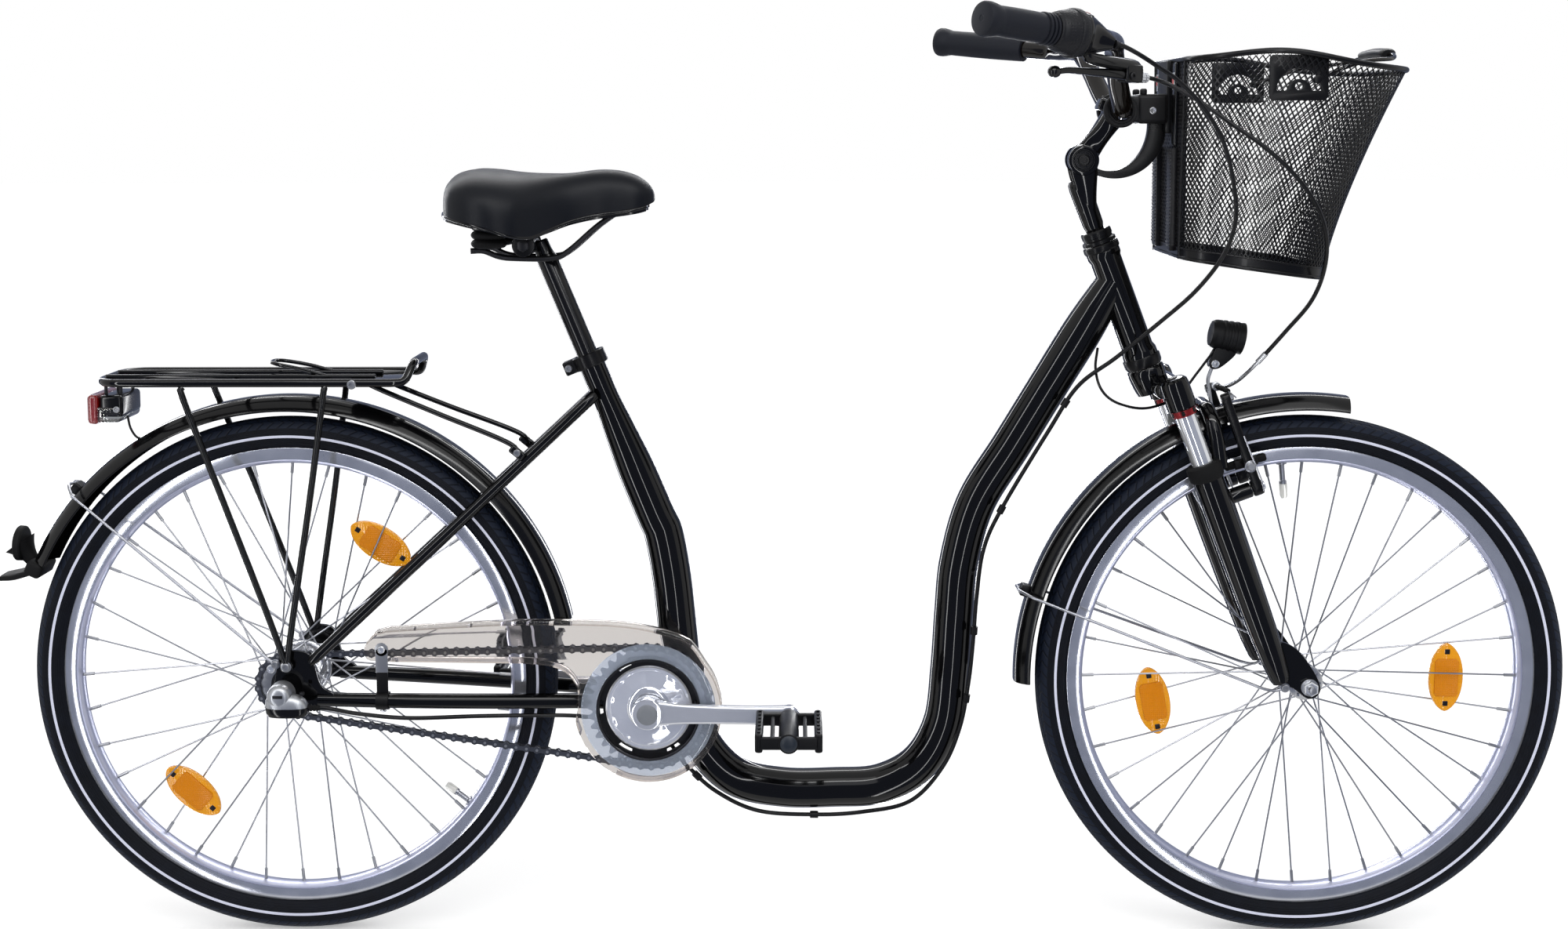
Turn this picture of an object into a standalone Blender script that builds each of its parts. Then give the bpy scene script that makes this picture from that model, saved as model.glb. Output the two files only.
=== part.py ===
"""City bike with a deep step-through frame, hub gears, rear rack and front basket.

The bike stands along X with its front at +X, its left side at +Y and the ground at Z = 0.
Places are measured from the rear axle's foot on the ground, and one empty moves the whole bike
so that the middle of its length lies at X = 0.
"""
import math

import bmesh
import bpy
from mathutils import Matrix, Vector

# Fits and gaps
GAP = 0.0003
RUNNING_GAP = 0.0004
LOOSE_GAP = 0.0006
PART_COLLECTION = "city_bike"
CUTTER_COLLECTION = "city_bike_cutters"

# Wheels, 26 inch
WHEEL_BASE = 1.235
TYRE_RADIUS = 0.323
TYRE_WIDTH = 0.043
TYRE_HEIGHT = 0.0375
RIM_RADIUS = TYRE_RADIUS - TYRE_HEIGHT
RIM_WIDTH = 0.025
RIM_DEPTH = 0.020
RIM_WALL = 0.0017
SPOKE_RADIUS = 0.0012
SPOKES_PER_FLANGE = 18
SPOKE_CROSS_ANGLE = math.radians(60.0)
WHEEL_STEPS = 28

# Facets round a circle, all multiples of four so that a shaft and its bore line up
SIDES_WIDE = 20
SIDES_LARGE = 12
SIDES_MEDIUM = 12
SIDES_SMALL = 8
SIDES_WIRE = 6

# Hubs and axles
AXLE_RADIUS = 0.0048
FRONT_FLANGE_RADIUS = 0.0215
FRONT_FLANGE_OFFSET = 0.033
FRONT_SHELL_RADIUS = 0.0125
FRONT_DROPOUT_HALF = 0.0500
REAR_FLANGE_RADIUS = 0.0360
REAR_FLANGE_OFFSET = 0.0270
REAR_SHELL_RADIUS = 0.0300
REAR_DROPOUT_HALF = 0.0580
FLANGE_HALF_THICKNESS = 0.0031
DROPOUT_THICKNESS = 0.0055
NUT_RADIUS = 0.0095
NUT_LENGTH = 0.0110

# Frame
MAIN_TUBE_RADIUS = 0.0240
SEAT_TUBE_RADIUS = 0.0160
SEAT_TUBE_TOP = (0.3647, 0.721)
SEAT_ANGLE = math.radians(67.7)
BRACKET_X = 0.439
BRACKET_Z = 0.295
BRACKET_SHELL_RADIUS = 0.0205
BRACKET_HALF_WIDTH = 0.034
SPINDLE_RADIUS = 0.0085
SEATSTAY_RADIUS = 0.0072
HEAD_ANGLE = math.radians(69.5)
HEAD_TUBE_RADIUS = 0.0190
HEAD_CUP_RADIUS = 0.0230
HEAD_BOTTOM = 0.4260
HEAD_TOP = 0.5860
STEERER_RADIUS = 0.0143

# Seat
SEATPOST_RADIUS = 0.0127
SEATPOST_TOP = 0.128
SEATPOST_BOTTOM = -0.165
SEAT_BORE_BOTTOM = -0.238
CLAMP_X = 0.2925
CLAMP_Z = 0.8559
CLAMP_DRUM_RADIUS = 0.0125
SADDLE_RAIL_RADIUS = 0.0035

# Fork
FORK_OFFSET = 0.0480
STANCHION_FORWARD = 0.0187
LEG_HALF_SPACING = 0.0540
STANCHION_RADIUS = 0.0127
LEG_RADIUS = 0.0187
LEG_TOP = 0.3020
SOCKET_RADIUS = 0.0175
SOCKET_BOTTOM = 0.3729
SOCKET_TOP = 0.4110
STANCHION_BOTTOM = 0.2000
LEG_BORE_BOTTOM = 0.1500
BRIDGE_RADIUS = 0.0072
BRAKE_FORWARD = 0.0720
BRAKE_PIVOT_UP = 0.2487
BRAKE_HALF_SPACING = 0.0400
BRAKE_ARM_LENGTH = 0.1160
BRAKE_PIN_RADIUS = 0.0040

# Mudguards
GUARD_CLEARANCE = 0.0270
GUARD_RADIUS = TYRE_RADIUS + GUARD_CLEARANCE
GUARD_HALF_WIDTH = 0.0260
GUARD_SHEET = 0.0012
STAY_WIRE_RADIUS = 0.0018
STAY_EYE_HALF = 0.0022

# Drive
CHAIN_PITCH = 0.0127
RING_TEETH = 36
SPROCKET_TEETH = 18
CHAIN_LINE = 0.0440
TOOTH_THICKNESS = 0.0024
TOOTH_HEIGHT = 0.0026
CHAIN_HALF_WIDTH = 0.0042
CHAIN_HALF_HEIGHT = 0.0042
CHAIN_SLOT_HALF = 0.0020
CRANK_LENGTH = 0.170
CRANK_ANGLE = math.radians(-1.2)
CRANK_BOSS_RADIUS = 0.0190
CRANK_INNER = 0.0620
CRANK_THICKNESS = 0.0130
DISC_RADIUS = 0.0525
DISC_WINDOWS = 10
PEDAL_PIN_RADIUS = 0.0050
PEDAL_LENGTH = 0.0780
PEDAL_WIDTH = 0.0950
PEDAL_HEIGHT = 0.0220
GUARD_OUTER_FACE = 0.0575
GUARD_INNER_FACE = 0.0330
CHAIN_GUARD_WALL = 0.0018
CHAIN_GUARD_HOLE_RADIUS = 0.0620

# Cockpit
QUILL_RADIUS = 0.0111
STEM_PIVOT = (0.9621, 0.9554)
BAR_CLAMP = (1.0035, 1.0143)
STEM_TONGUE_HALF = 0.0095
BAR_RADIUS = 0.0127
BAR_END_RADIUS = 0.0111
GRIP_RADIUS = 0.0165
SHORT_GRIP_LENGTH = 0.097
LONG_GRIP_LENGTH = 0.130
TWIST_RADIUS = 0.0270
TWIST_LENGTH = 0.034
BAR_END = (0.8115, 0.3000, 1.1088)
BAR_GRIP_START = (0.8915, 0.2460, 1.0990)

# Rack
RACK_HEIGHT = 0.694
RACK_HALF_WIDTH = 0.057
RACK_REAR = -0.2180
RACK_FRONT = 0.1550
RACK_ROD_RADIUS = 0.0050
RACK_WIRE_RADIUS = 0.0032

# Basket
BASKET_WALL = 0.0020

# Cables
CABLE_RADIUS = 0.0025

BLACK_PAINT = ("black_paint", (0.012, 0.012, 0.014), 0.18, 0.0)
SATIN_BLACK = ("satin_black", (0.020, 0.020, 0.022), 0.45, 0.0)
BLACK_PLASTIC = ("black_plastic", (0.025, 0.025, 0.028), 0.55, 0.0)
BLACK_RUBBER = ("black_rubber", (0.020, 0.020, 0.022), 0.80, 0.0)
COVER_VINYL = ("cover_vinyl", (0.022, 0.023, 0.030), 0.60, 0.0)
ALUMINIUM = ("satin_aluminium", (0.62, 0.62, 0.65), 0.35, 1.0)
CHROME = ("chrome", (0.80, 0.80, 0.82), 0.10, 1.0)
STEEL = ("steel", (0.50, 0.50, 0.52), 0.35, 1.0)
CHAIN_STEEL = ("chain_steel", (0.16, 0.16, 0.17), 0.45, 0.9)
SMOKY_CLEAR = ("smoky_clear", (0.42, 0.39, 0.36), 0.12, 0.0)
RED_PLASTIC = ("lamp_dark_red", (0.10, 0.02, 0.02), 0.30, 0.0)


def clear_scene():
    """Remove every object that the file opened with."""
    for item in list(bpy.data.objects):
        bpy.data.objects.remove(item, do_unlink=True)


def make_collection(name):
    collection = bpy.data.collections.new(name)
    bpy.context.scene.collection.children.link(collection)
    return collection


def make_material(spec, name):
    """One Principled material for one piece, from a colour, roughness and metallic value."""
    label, colour, roughness, metallic = spec
    material = bpy.data.materials.new(name + "_" + label)
    material.use_nodes = True
    shader = material.node_tree.nodes["Principled BSDF"]
    shader.inputs["Base Color"].default_value = (*colour, 1.0)
    shader.inputs["Roughness"].default_value = roughness
    shader.inputs["Metallic"].default_value = metallic
    return material


clear_scene()
PARTS = make_collection(PART_COLLECTION)
CUTTERS = make_collection(CUTTER_COLLECTION)
PIVOTS = {}


def link_part(item, spec=None):
    PARTS.objects.link(item)
    if spec is not None:
        item.data.materials.append(make_material(spec, item.name))
    return item


def as_cutter(item):
    """Hide a helper solid and move it to the cutters' collection."""
    for collection in list(item.users_collection):
        collection.objects.unlink(item)
    CUTTERS.objects.link(item)
    item.hide_render = True
    item.display_type = "WIRE"
    return item


def pivot(name, place, parent=None):
    """An empty on a joint's axis, placed in the bike's own coordinates."""
    item = bpy.data.objects.new("axis_" + name, None)
    item.empty_display_size = 0.02
    PARTS.objects.link(item)
    base = Vector((0.0, 0.0, 0.0))
    if parent is not None:
        item.parent = PIVOTS[parent][0]
        base = PIVOTS[parent][1]
    item.location = Vector(place) - base
    PIVOTS[name] = (item, Vector(place))
    return item


def attach(item, name):
    """Parent a piece, and the helper solids of its Booleans, to a joint's empty where they stand."""
    holder, place = PIVOTS[name]
    item.parent = holder
    item.matrix_parent_inverse = Matrix.Translation(-place)
    for step in item.modifiers:
        if step.type == "BOOLEAN":
            attach(step.object, name)
    return item


def add_boolean(target, other, operation):
    as_cutter(other)
    step = target.modifiers.new(operation.lower() + "_" + other.name, "BOOLEAN")
    step.operation = operation
    step.object = other
    step.solver = "EXACT"
    return target


def cut(target, *others):
    for other in others:
        add_boolean(target, other, "DIFFERENCE")
    return target


def fuse(target, *others):
    for other in others:
        add_boolean(target, other, "UNION")
    return target


def object_from_bmesh(name, bm, spec=None, smooth=True):
    bmesh.ops.recalc_face_normals(bm, faces=bm.faces)
    mesh = bpy.data.meshes.new(name)
    bm.to_mesh(mesh)
    bm.free()
    if smooth:
        mesh.shade_smooth()
        mesh.set_sharp_from_angle(angle=math.radians(35.0))
    return link_part(bpy.data.objects.new(name, mesh), spec)


def turn_from_z(direction):
    """Rotation that takes the local Z axis to a direction, with X kept level where it can be."""
    return Vector(direction).to_track_quat("Z", "Y").to_matrix().to_4x4()


def rod(name, start, end, radius, spec=None, sides=SIDES_LARGE, end_radius=None):
    """A round bar or cone between two points."""
    start = Vector(start)
    end = Vector(end)
    length = (end - start).length
    bm = bmesh.new()
    bmesh.ops.create_cone(
        bm,
        cap_ends=True,
        segments=sides,
        radius1=radius,
        radius2=radius if end_radius is None else end_radius,
        depth=length,
    )
    place = Matrix.Translation((start + end) / 2.0) @ turn_from_z(end - start)
    bmesh.ops.transform(bm, matrix=place, verts=bm.verts)
    return object_from_bmesh(name, bm, spec)


def box(name, centre, size, spec=None, axes=None, bevel=0.0):
    """A block by its centre and its size along three axes, which are the world's if not given."""
    bm = bmesh.new()
    bmesh.ops.create_cube(bm, size=1.0)
    bmesh.ops.scale(bm, vec=Vector(size), verts=bm.verts)
    if bevel > 0.0:
        bmesh.ops.bevel(bm, geom=list(bm.edges), offset=bevel, segments=1, affect="EDGES", profile=0.5)
    turn = Matrix.Identity(4)
    if axes is not None:
        turn = Matrix([Vector(axis).normalized() for axis in axes]).transposed().to_4x4()
    bmesh.ops.transform(bm, matrix=Matrix.Translation(Vector(centre)) @ turn, verts=bm.verts)
    return object_from_bmesh(name, bm, spec, smooth=False)


def lathe(name, profile, place, direction, spec=None, steps=SIDES_LARGE, closed=False):
    """Turn a profile of (radius, height) points round an axis; it runs top to bottom outside."""
    mesh = bpy.data.meshes.new(name)
    following = profile[1:] + profile[:1]
    area = sum(r * next_h - next_r * h for (r, h), (next_r, next_h) in zip(profile, following))
    if area > 0.0:
        profile = profile[::-1]
    points = [(radius, 0.0, height) for radius, height in profile]
    edges = [(i, i + 1) for i in range(len(points) - 1)]
    if closed:
        edges.append((len(points) - 1, 0))
    mesh.from_pydata(points, edges, [])
    item = link_part(bpy.data.objects.new(name, mesh), spec)
    item.matrix_world = Matrix.Translation(Vector(place)) @ turn_from_z(direction)
    screw = item.modifiers.new("turn", "SCREW")
    screw.steps = steps
    screw.render_steps = steps
    screw.use_merge_vertices = True
    screw.merge_threshold = 0.00002
    screw.use_smooth_shade = True
    return item


def smooth_route(points, step):
    """Points at about one step apart on a smooth curve through the given points.

    Each point may carry extra numbers after its place, such as a radius, and they are blended too.
    """
    rows = [tuple(point) for point in points]
    rows = [tuple(2 * a - b for a, b in zip(rows[0], rows[1]))] + rows
    rows.append(tuple(2 * a - b for a, b in zip(rows[-1], rows[-2])))
    route = []
    for i in range(1, len(rows) - 2):
        before, start, end, after = rows[i - 1 : i + 3]
        length = math.dist(start[:3], end[:3])
        count = max(1, round(length / step))
        for k in range(count):
            t = k / count
            value = tuple(
                0.5 * (2 * q + (r - p) * t + (2 * p - 5 * q + 4 * r - s) * t**2
                       + (3 * q - p - 3 * r + s) * t**3)
                for p, q, r, s in zip(before, start, end, after)
            )
            route.append(value)
    route.append(rows[-2])
    return route


def tube(name, points, radius, spec=None, resolution=2, cyclic=False):
    """A round tube along points; a fourth number on a point scales the radius there."""
    curve = bpy.data.curves.new(name, "CURVE")
    curve.dimensions = "3D"
    curve.bevel_depth = radius
    curve.bevel_resolution = resolution
    curve.use_fill_caps = True
    spline = curve.splines.new("POLY")
    spline.points.add(len(points) - 1)
    for target, point in zip(spline.points, points):
        target.co = (point[0], point[1], point[2], 1.0)
        target.radius = point[3] if len(point) > 3 else 1.0
    spline.use_cyclic_u = cyclic
    return link_part(bpy.data.objects.new(name, curve), spec)


def plate(name, outline, thickness, centre, across, up, spec=None, holes=(), offset=0.0):
    """A flat sheet from a 2D outline, with holes, lying in the plane of two axes."""
    curve = bpy.data.curves.new(name, "CURVE")
    curve.dimensions = "2D"
    curve.fill_mode = "BOTH"
    curve.extrude = thickness / 2.0
    curve.offset = offset
    for loop in (outline, *holes):
        spline = curve.splines.new("POLY")
        spline.points.add(len(loop) - 1)
        for target, point in zip(spline.points, loop):
            target.co = (point[0], point[1], 0.0, 1.0)
        spline.use_cyclic_u = True
    item = link_part(bpy.data.objects.new(name, curve), spec)
    across = Vector(across).normalized()
    up = Vector(up).normalized()
    turn = Matrix([across, up, across.cross(up)]).transposed().to_4x4()
    item.matrix_world = Matrix.Translation(Vector(centre)) @ turn
    return item


def to_mesh(item):
    """Swap a curve object for a closed mesh, so that it can be cut or joined."""
    bpy.context.view_layer.update()
    place = item.matrix_world.copy()
    evaluated = item.evaluated_get(bpy.context.evaluated_depsgraph_get())
    mesh = bpy.data.meshes.new_from_object(evaluated)
    bm = bmesh.new()
    bm.from_mesh(mesh)
    bmesh.ops.remove_doubles(bm, verts=bm.verts, dist=0.000005)
    bmesh.ops.recalc_face_normals(bm, faces=bm.faces)
    bm.to_mesh(mesh)
    bm.free()
    mesh.shade_smooth()
    mesh.set_sharp_from_angle(angle=math.radians(35.0))
    name = item.name
    curve = item.data
    bpy.data.objects.remove(item, do_unlink=True)
    bpy.data.curves.remove(curve)
    solid = link_part(bpy.data.objects.new(name, mesh))
    solid.matrix_world = place
    return solid


def solid_tube(name, points, radius, spec=None, resolution=2):
    return to_mesh(tube(name, points, radius, spec, resolution))


def solid_plate(*args, **named):
    return to_mesh(plate(*args, **named))


def loft(name, rings, spec=None, closed_ends=True):
    """Skin a row of rings that have the same count of points, with flat ends."""
    bm = bmesh.new()
    rows = [[bm.verts.new(point) for point in ring] for ring in rings]
    count = len(rows[0])
    for near, far in zip(rows, rows[1:]):
        for i in range(count):
            j = (i + 1) % count
            bm.faces.new((near[i], near[j], far[j], far[i]))
    if closed_ends:
        bm.faces.new(rows[0])
        bm.faces.new(rows[-1])
    return object_from_bmesh(name, bm, spec)


def arc(centre, radius, start, end, count):
    """Points on an arc, in degrees, both ends included."""
    points = []
    for i in range(count):
        angle = math.radians(start + (end - start) * i / (count - 1))
        points.append((centre[0] + radius * math.cos(angle), centre[1] + radius * math.sin(angle)))
    return points


def circle(centre, radius, count):
    return arc(centre, radius, 0.0, 360.0 - 360.0 / count, count)


# Steering frame: forward is square to the steering axis, up runs along it
STEER_UP = Vector((-math.cos(HEAD_ANGLE), 0.0, math.sin(HEAD_ANGLE)))
STEER_FORWARD = Vector((math.sin(HEAD_ANGLE), 0.0, math.cos(HEAD_ANGLE)))
FRONT_AXLE = Vector((WHEEL_BASE, 0.0, TYRE_RADIUS))
REAR_AXLE = Vector((0.0, 0.0, TYRE_RADIUS))
STEER_FOOT = FRONT_AXLE - STEER_FORWARD * FORK_OFFSET

# Seat frame: up runs along the seat tube from its open top
SEAT_UP = Vector((-math.cos(SEAT_ANGLE), 0.0, math.sin(SEAT_ANGLE)))
SEAT_ORIGIN = Vector((SEAT_TUBE_TOP[0], 0.0, SEAT_TUBE_TOP[1]))
BRACKET = Vector((BRACKET_X, 0.0, BRACKET_Z))
Y_AXIS = Vector((0.0, 1.0, 0.0))


def steer(forward, side, up):
    """A point in the steering frame, whose origin is beside the front axle."""
    return STEER_FOOT + STEER_FORWARD * forward + Y_AXIS * side + STEER_UP * up


def seat(up, side=0.0):
    return SEAT_ORIGIN + SEAT_UP * up + Y_AXIS * side


# Overall length: from the mud flap's tip to the front tyre
MUD_FLAP_TIP = -0.3600
BIKE_MIDDLE = (WHEEL_BASE + TYRE_RADIUS + MUD_FLAP_TIP) / 2.0


def place_pivots():
    """The bike's own empty, and one empty on the axis of each joint."""
    root = bpy.data.objects.new("bike", None)
    PARTS.objects.link(root)
    root.location = (-BIKE_MIDDLE, 0.0, 0.0)
    PIVOTS["frame"] = (root, Vector((0.0, 0.0, 0.0)))
    pivot("seatpost", seat(0.0), "frame")
    pivot("saddle", (CLAMP_X, 0.0, CLAMP_Z), "seatpost")
    pivot("rear_wheel", REAR_AXLE, "frame")
    pivot("sprocket", REAR_AXLE, "frame")
    pivot("crank", BRACKET, "frame")
    for side, sign in (("right", -1.0), ("left", 1.0)):
        pivot("pedal_" + side, pedal_place(sign), "crank")
    pivot("fork", STEER_FOOT, "frame")
    pivot("fork_lower", STEER_FOOT, "fork")
    pivot("front_wheel", FRONT_AXLE, "fork_lower")
    for side, sign in (("right", -1.0), ("left", 1.0)):
        place = steer(BRAKE_FORWARD, sign * BRAKE_HALF_SPACING, BRAKE_PIVOT_UP)
        pivot("brake_arm_" + side, place, "fork_lower")
    pivot("headlamp", LAMP_PIVOT, "fork_lower")
    pivot("quill", steer(0.0, 0.0, HEAD_TOP), "fork")
    pivot("stem", (STEM_PIVOT[0], 0.0, STEM_PIVOT[1]), "quill")
    pivot("twist", grip_point(SHORT_GRIP_LENGTH), "stem")
    pivot("lever", LEVER_PIVOT, "stem")
    pivot("basket", BASKET_HOOK, "stem")
    pivot("bail", (BAIL_X, 0.0, BAIL_Z), "basket")


def pedal_place(sign):
    """Centre of a pedal's pin; the right crank points forward and the left one back."""
    reach = CRANK_LENGTH * -sign
    x = BRACKET_X + reach * math.cos(CRANK_ANGLE)
    z = BRACKET_Z + reach * math.sin(CRANK_ANGLE)
    return Vector((x, 0.0, z))


# Right grip axis: it runs from the bar's end back towards the middle
GRIP_END = Vector((BAR_END[0], -BAR_END[1], BAR_END[2]))
GRIP_IN = (Vector((BAR_GRIP_START[0], -BAR_GRIP_START[1], BAR_GRIP_START[2])) - GRIP_END).normalized()


def grip_point(distance, mirrored=False):
    """A point on the bar's straight end, measured inwards from its tip."""
    point = GRIP_END + GRIP_IN * distance
    if mirrored:
        point.y = -point.y
    return point


# The shift cable leaves its housing in front of the bar, through a snout that runs beside it
SNOUT_SIDE = Vector((0.53, -0.79, -0.31)).normalized()
SNOUT_OFFSET = 0.0245
SNOUT_END = 0.1650

BAR_BEND = Vector((0.9590, -0.1880, 1.0905))
LAMP_PIVOT = STEER_FOOT + STEER_FORWARD * 0.0799 + STEER_UP * 0.4006
LEVER_PIVOT = Vector((0.985, -0.170, 1.0515))
LEVER_TIP = Vector((0.8965, -0.2350, 1.0580))
BASKET_HOOK = Vector((1.0600, 0.0, 1.0160))
BAIL_X = 1.2017
BAIL_Z = 1.0476


# Frame


def main_tube_route():
    """Centre line of the frame's one big tube, with the radius as a share of the big one."""
    narrow = SEAT_TUBE_RADIUS / MAIN_TUBE_RADIUS
    down = [(0.0, narrow), (-0.030, narrow), (-0.060, narrow), (-0.115, 0.84), (-0.155, 0.95),
            (-0.215, 0.98)]
    route = [(*seat(up), share) for up, share in down]
    low = [
        (0.4555, 0.500),
        (0.4650, 0.445),
        (0.4725, 0.370),
        (0.4800, 0.300),
        (0.4990, 0.2385),
        (0.5410, 0.1935),
        (0.6000, 0.1795),
        (0.6650, 0.1795),
        (0.7220, 0.1840),
        (0.7700, 0.2110),
        (0.7985, 0.262),
        (0.8070, 0.330),
        (0.8115, 0.400),
        (0.8175, 0.465),
        (0.8380, 0.5387),
        (0.8812, 0.6100),
        (0.9244, 0.6818),
        (0.9670, 0.7520),
        (1.0018, 0.8096),
    ]
    route.extend((x, 0.0, z, 1.0) for x, z in low)
    return route


def build_main_tube():
    """Seat tube, step-through tube and down tube in one, with the bracket shell welded on."""
    route = smooth_route(main_tube_route(), 0.090)
    frame = solid_tube("main_tube", route, MAIN_TUBE_RADIUS, BLACK_PAINT, 4)
    side = Y_AXIS * BRACKET_HALF_WIDTH
    shell = rod("bracket_shell", BRACKET - side, BRACKET + side, BRACKET_SHELL_RADIUS, sides=SIDES_LARGE)
    fuse(frame, shell)
    reach = Y_AXIS * (BRACKET_HALF_WIDTH + 0.01)
    spindle_bore = rod("spindle_bore", BRACKET - reach, BRACKET + reach, SPINDLE_RADIUS + RUNNING_GAP,
                       sides=SIDES_LARGE)
    post_bore = rod("post_bore", seat(0.02), seat(SEAT_BORE_BOTTOM), SEATPOST_RADIUS + GAP,
                    sides=SIDES_LARGE)
    head_clear = rod(
        "head_clear", steer(0, 0, HEAD_BOTTOM - 0.05), steer(0, 0, HEAD_TOP + 0.05),
        HEAD_TUBE_RADIUS + 3 * GAP, sides=SIDES_LARGE
    )
    cut(frame, spindle_bore, post_bore, head_clear)
    attach(frame, "frame")


def build_head_tube():
    """Head tube with its lower and upper bearing cups and the steerer's bore."""
    bore = STEERER_RADIUS + LOOSE_GAP
    profile = [
        (bore, HEAD_TOP),
        (HEAD_CUP_RADIUS - 0.0010, HEAD_TOP),
        (HEAD_CUP_RADIUS - 0.0010, HEAD_TOP - 0.010),
        (HEAD_TUBE_RADIUS, HEAD_TOP - 0.013),
        (HEAD_TUBE_RADIUS, HEAD_BOTTOM + 0.021),
        (HEAD_CUP_RADIUS, HEAD_BOTTOM + 0.018),
        (HEAD_CUP_RADIUS, HEAD_BOTTOM),
        (bore, HEAD_BOTTOM),
    ]
    head = lathe("head_tube", profile, STEER_FOOT, STEER_UP, BLACK_PAINT, steps=SIDES_LARGE, closed=True)
    attach(head, "frame")


def chainstay_route(sign):
    """Centre line from the bracket shell back to the dropout, tapering to the rear."""
    rows = [
        (0.4155, 0.0235, 0.2965, 1.15),
        (0.3850, 0.0265, 0.2970, 1.12),
        (0.3500, 0.0310, 0.2985, 1.08),
        (0.2600, 0.0430, 0.3015, 1.08),
        (0.1500, 0.0530, 0.3050, 1.05),
        (0.0400, 0.0590, 0.3085, 0.95),
    ]
    return [(x, sign * y, z, share) for x, y, z, share in rows]


def build_chainstay(side, sign):
    """A chainstay with its dropout plate, slotted for the axle."""
    name = "chainstay_" + side
    stay = solid_tube(name, smooth_route(chainstay_route(sign), 0.12), 0.0086, BLACK_PAINT, 2)
    middle = REAR_DROPOUT_HALF + DROPOUT_THICKNESS / 2.0
    outline = [(-0.012, 0.006), (-0.010, -0.010), (0.010, -0.018), (0.052, -0.022), (0.060, -0.014)]
    outline += [(0.058, -0.006), (0.044, 0.004), (0.036, 0.030), (0.028, 0.044), (0.006, 0.046),
                (-0.006, 0.034)]
    dropout = solid_plate(name + "_dropout", outline, DROPOUT_THICKNESS, REAR_AXLE + Y_AXIS * sign * middle,
                          (1, 0, 0), (0, 0, 1))
    fuse(stay, dropout)
    reach = Y_AXIS * sign
    hole = rod(name + "_axle_hole", REAR_AXLE + reach * 0.05, REAR_AXLE + reach * 0.08, AXLE_RADIUS + GAP,
               sides=SIDES_MEDIUM)
    cut(stay, hole)
    attach(stay, "frame")


def build_seatstay(side, sign):
    """A seatstay from the seat tube's flank down to the dropout."""
    rows = [
        (0.3800, 0.0150, 0.6755),
        (0.3690, 0.0225, 0.6690),
        (0.3300, 0.0300, 0.6325),
        (0.2400, 0.0400, 0.5485),
        (0.1300, 0.0500, 0.4460),
        (0.0455, 0.0608, 0.3672),
        (0.0320, 0.0610, 0.3548),
    ]
    route = [(x, sign * y, z) for x, y, z in rows]
    stay = solid_tube("seatstay_" + side, smooth_route(route, 0.15), SEATSTAY_RADIUS, BLACK_PAINT, 2)
    middle = REAR_DROPOUT_HALF + DROPOUT_THICKNESS / 2.0
    pocket = box("seatstay_pocket_" + side, REAR_AXLE + Vector((0.02, sign * middle, 0.02)),
                 (0.075, DROPOUT_THICKNESS + 2 * GAP, 0.075))
    seat_clear = rod("seatstay_clear_" + side, seat(0.05), seat(-0.15), SEAT_TUBE_RADIUS + 2 * GAP,
                     sides=SIDES_LARGE)
    cut(stay, pocket, seat_clear)
    attach(stay, "frame")


def build_seat_clamp():
    """Collar at the top of the seat tube, with two lugs and a bolt behind it."""
    inner = SEAT_TUBE_RADIUS + 2 * GAP
    outer = inner + 0.0042
    half = 0.0085
    profile = [(inner, half), (outer, half), (outer, -half), (inner, -half)]
    centre = seat(-0.0065)
    collar = lathe("seat_clamp", profile, centre, SEAT_UP, SATIN_BLACK, steps=SIDES_LARGE, closed=True)
    back = SEAT_UP.cross(Y_AXIS).normalized()
    lug = box("seat_clamp_lug", centre + back * (outer + 0.0065), (0.017, 0.018, 2 * half - 0.001),
              axes=(back, Y_AXIS, SEAT_UP))
    bolt_place = centre + back * (outer + 0.0085)
    bolt = rod("seat_clamp_bolt", bolt_place - Y_AXIS * 0.0125, bolt_place + Y_AXIS * 0.0125, 0.0042,
               sides=SIDES_SMALL)
    slot = box("seat_clamp_slot", centre + back * (outer + 0.006), (0.030, 0.0016, 0.030),
               axes=(back, Y_AXIS, SEAT_UP))
    fuse(collar, lug)
    cut(collar, slot)
    fuse(collar, bolt)
    attach(collar, "frame")


# Seat


def build_seatpost():
    """Post with a necked top and the drum that clamps the saddle's rails."""
    post = lathe(
        "seatpost",
        [
            (0.0, SEATPOST_TOP + 0.022),
            (0.0100, SEATPOST_TOP + 0.022),
            (0.0105, SEATPOST_TOP + 0.006),
            (SEATPOST_RADIUS, SEATPOST_TOP),
            (SEATPOST_RADIUS, SEATPOST_BOTTOM),
            (0.0, SEATPOST_BOTTOM),
        ],
        SEAT_ORIGIN,
        SEAT_UP,
        SATIN_BLACK,
        steps=SIDES_LARGE,
    )
    drum_centre = Vector((CLAMP_X, 0.0, CLAMP_Z))
    drum = rod("clamp_drum", drum_centre - Y_AXIS * 0.033, drum_centre + Y_AXIS * 0.033, CLAMP_DRUM_RADIUS,
               sides=SIDES_LARGE)
    link_place = (drum_centre + seat(SEATPOST_TOP + 0.012)) / 2.0
    link = box("clamp_link", link_place, (0.024, 0.018, 0.014))
    fuse(post, drum, link)
    attach(post, "seatpost")


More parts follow.
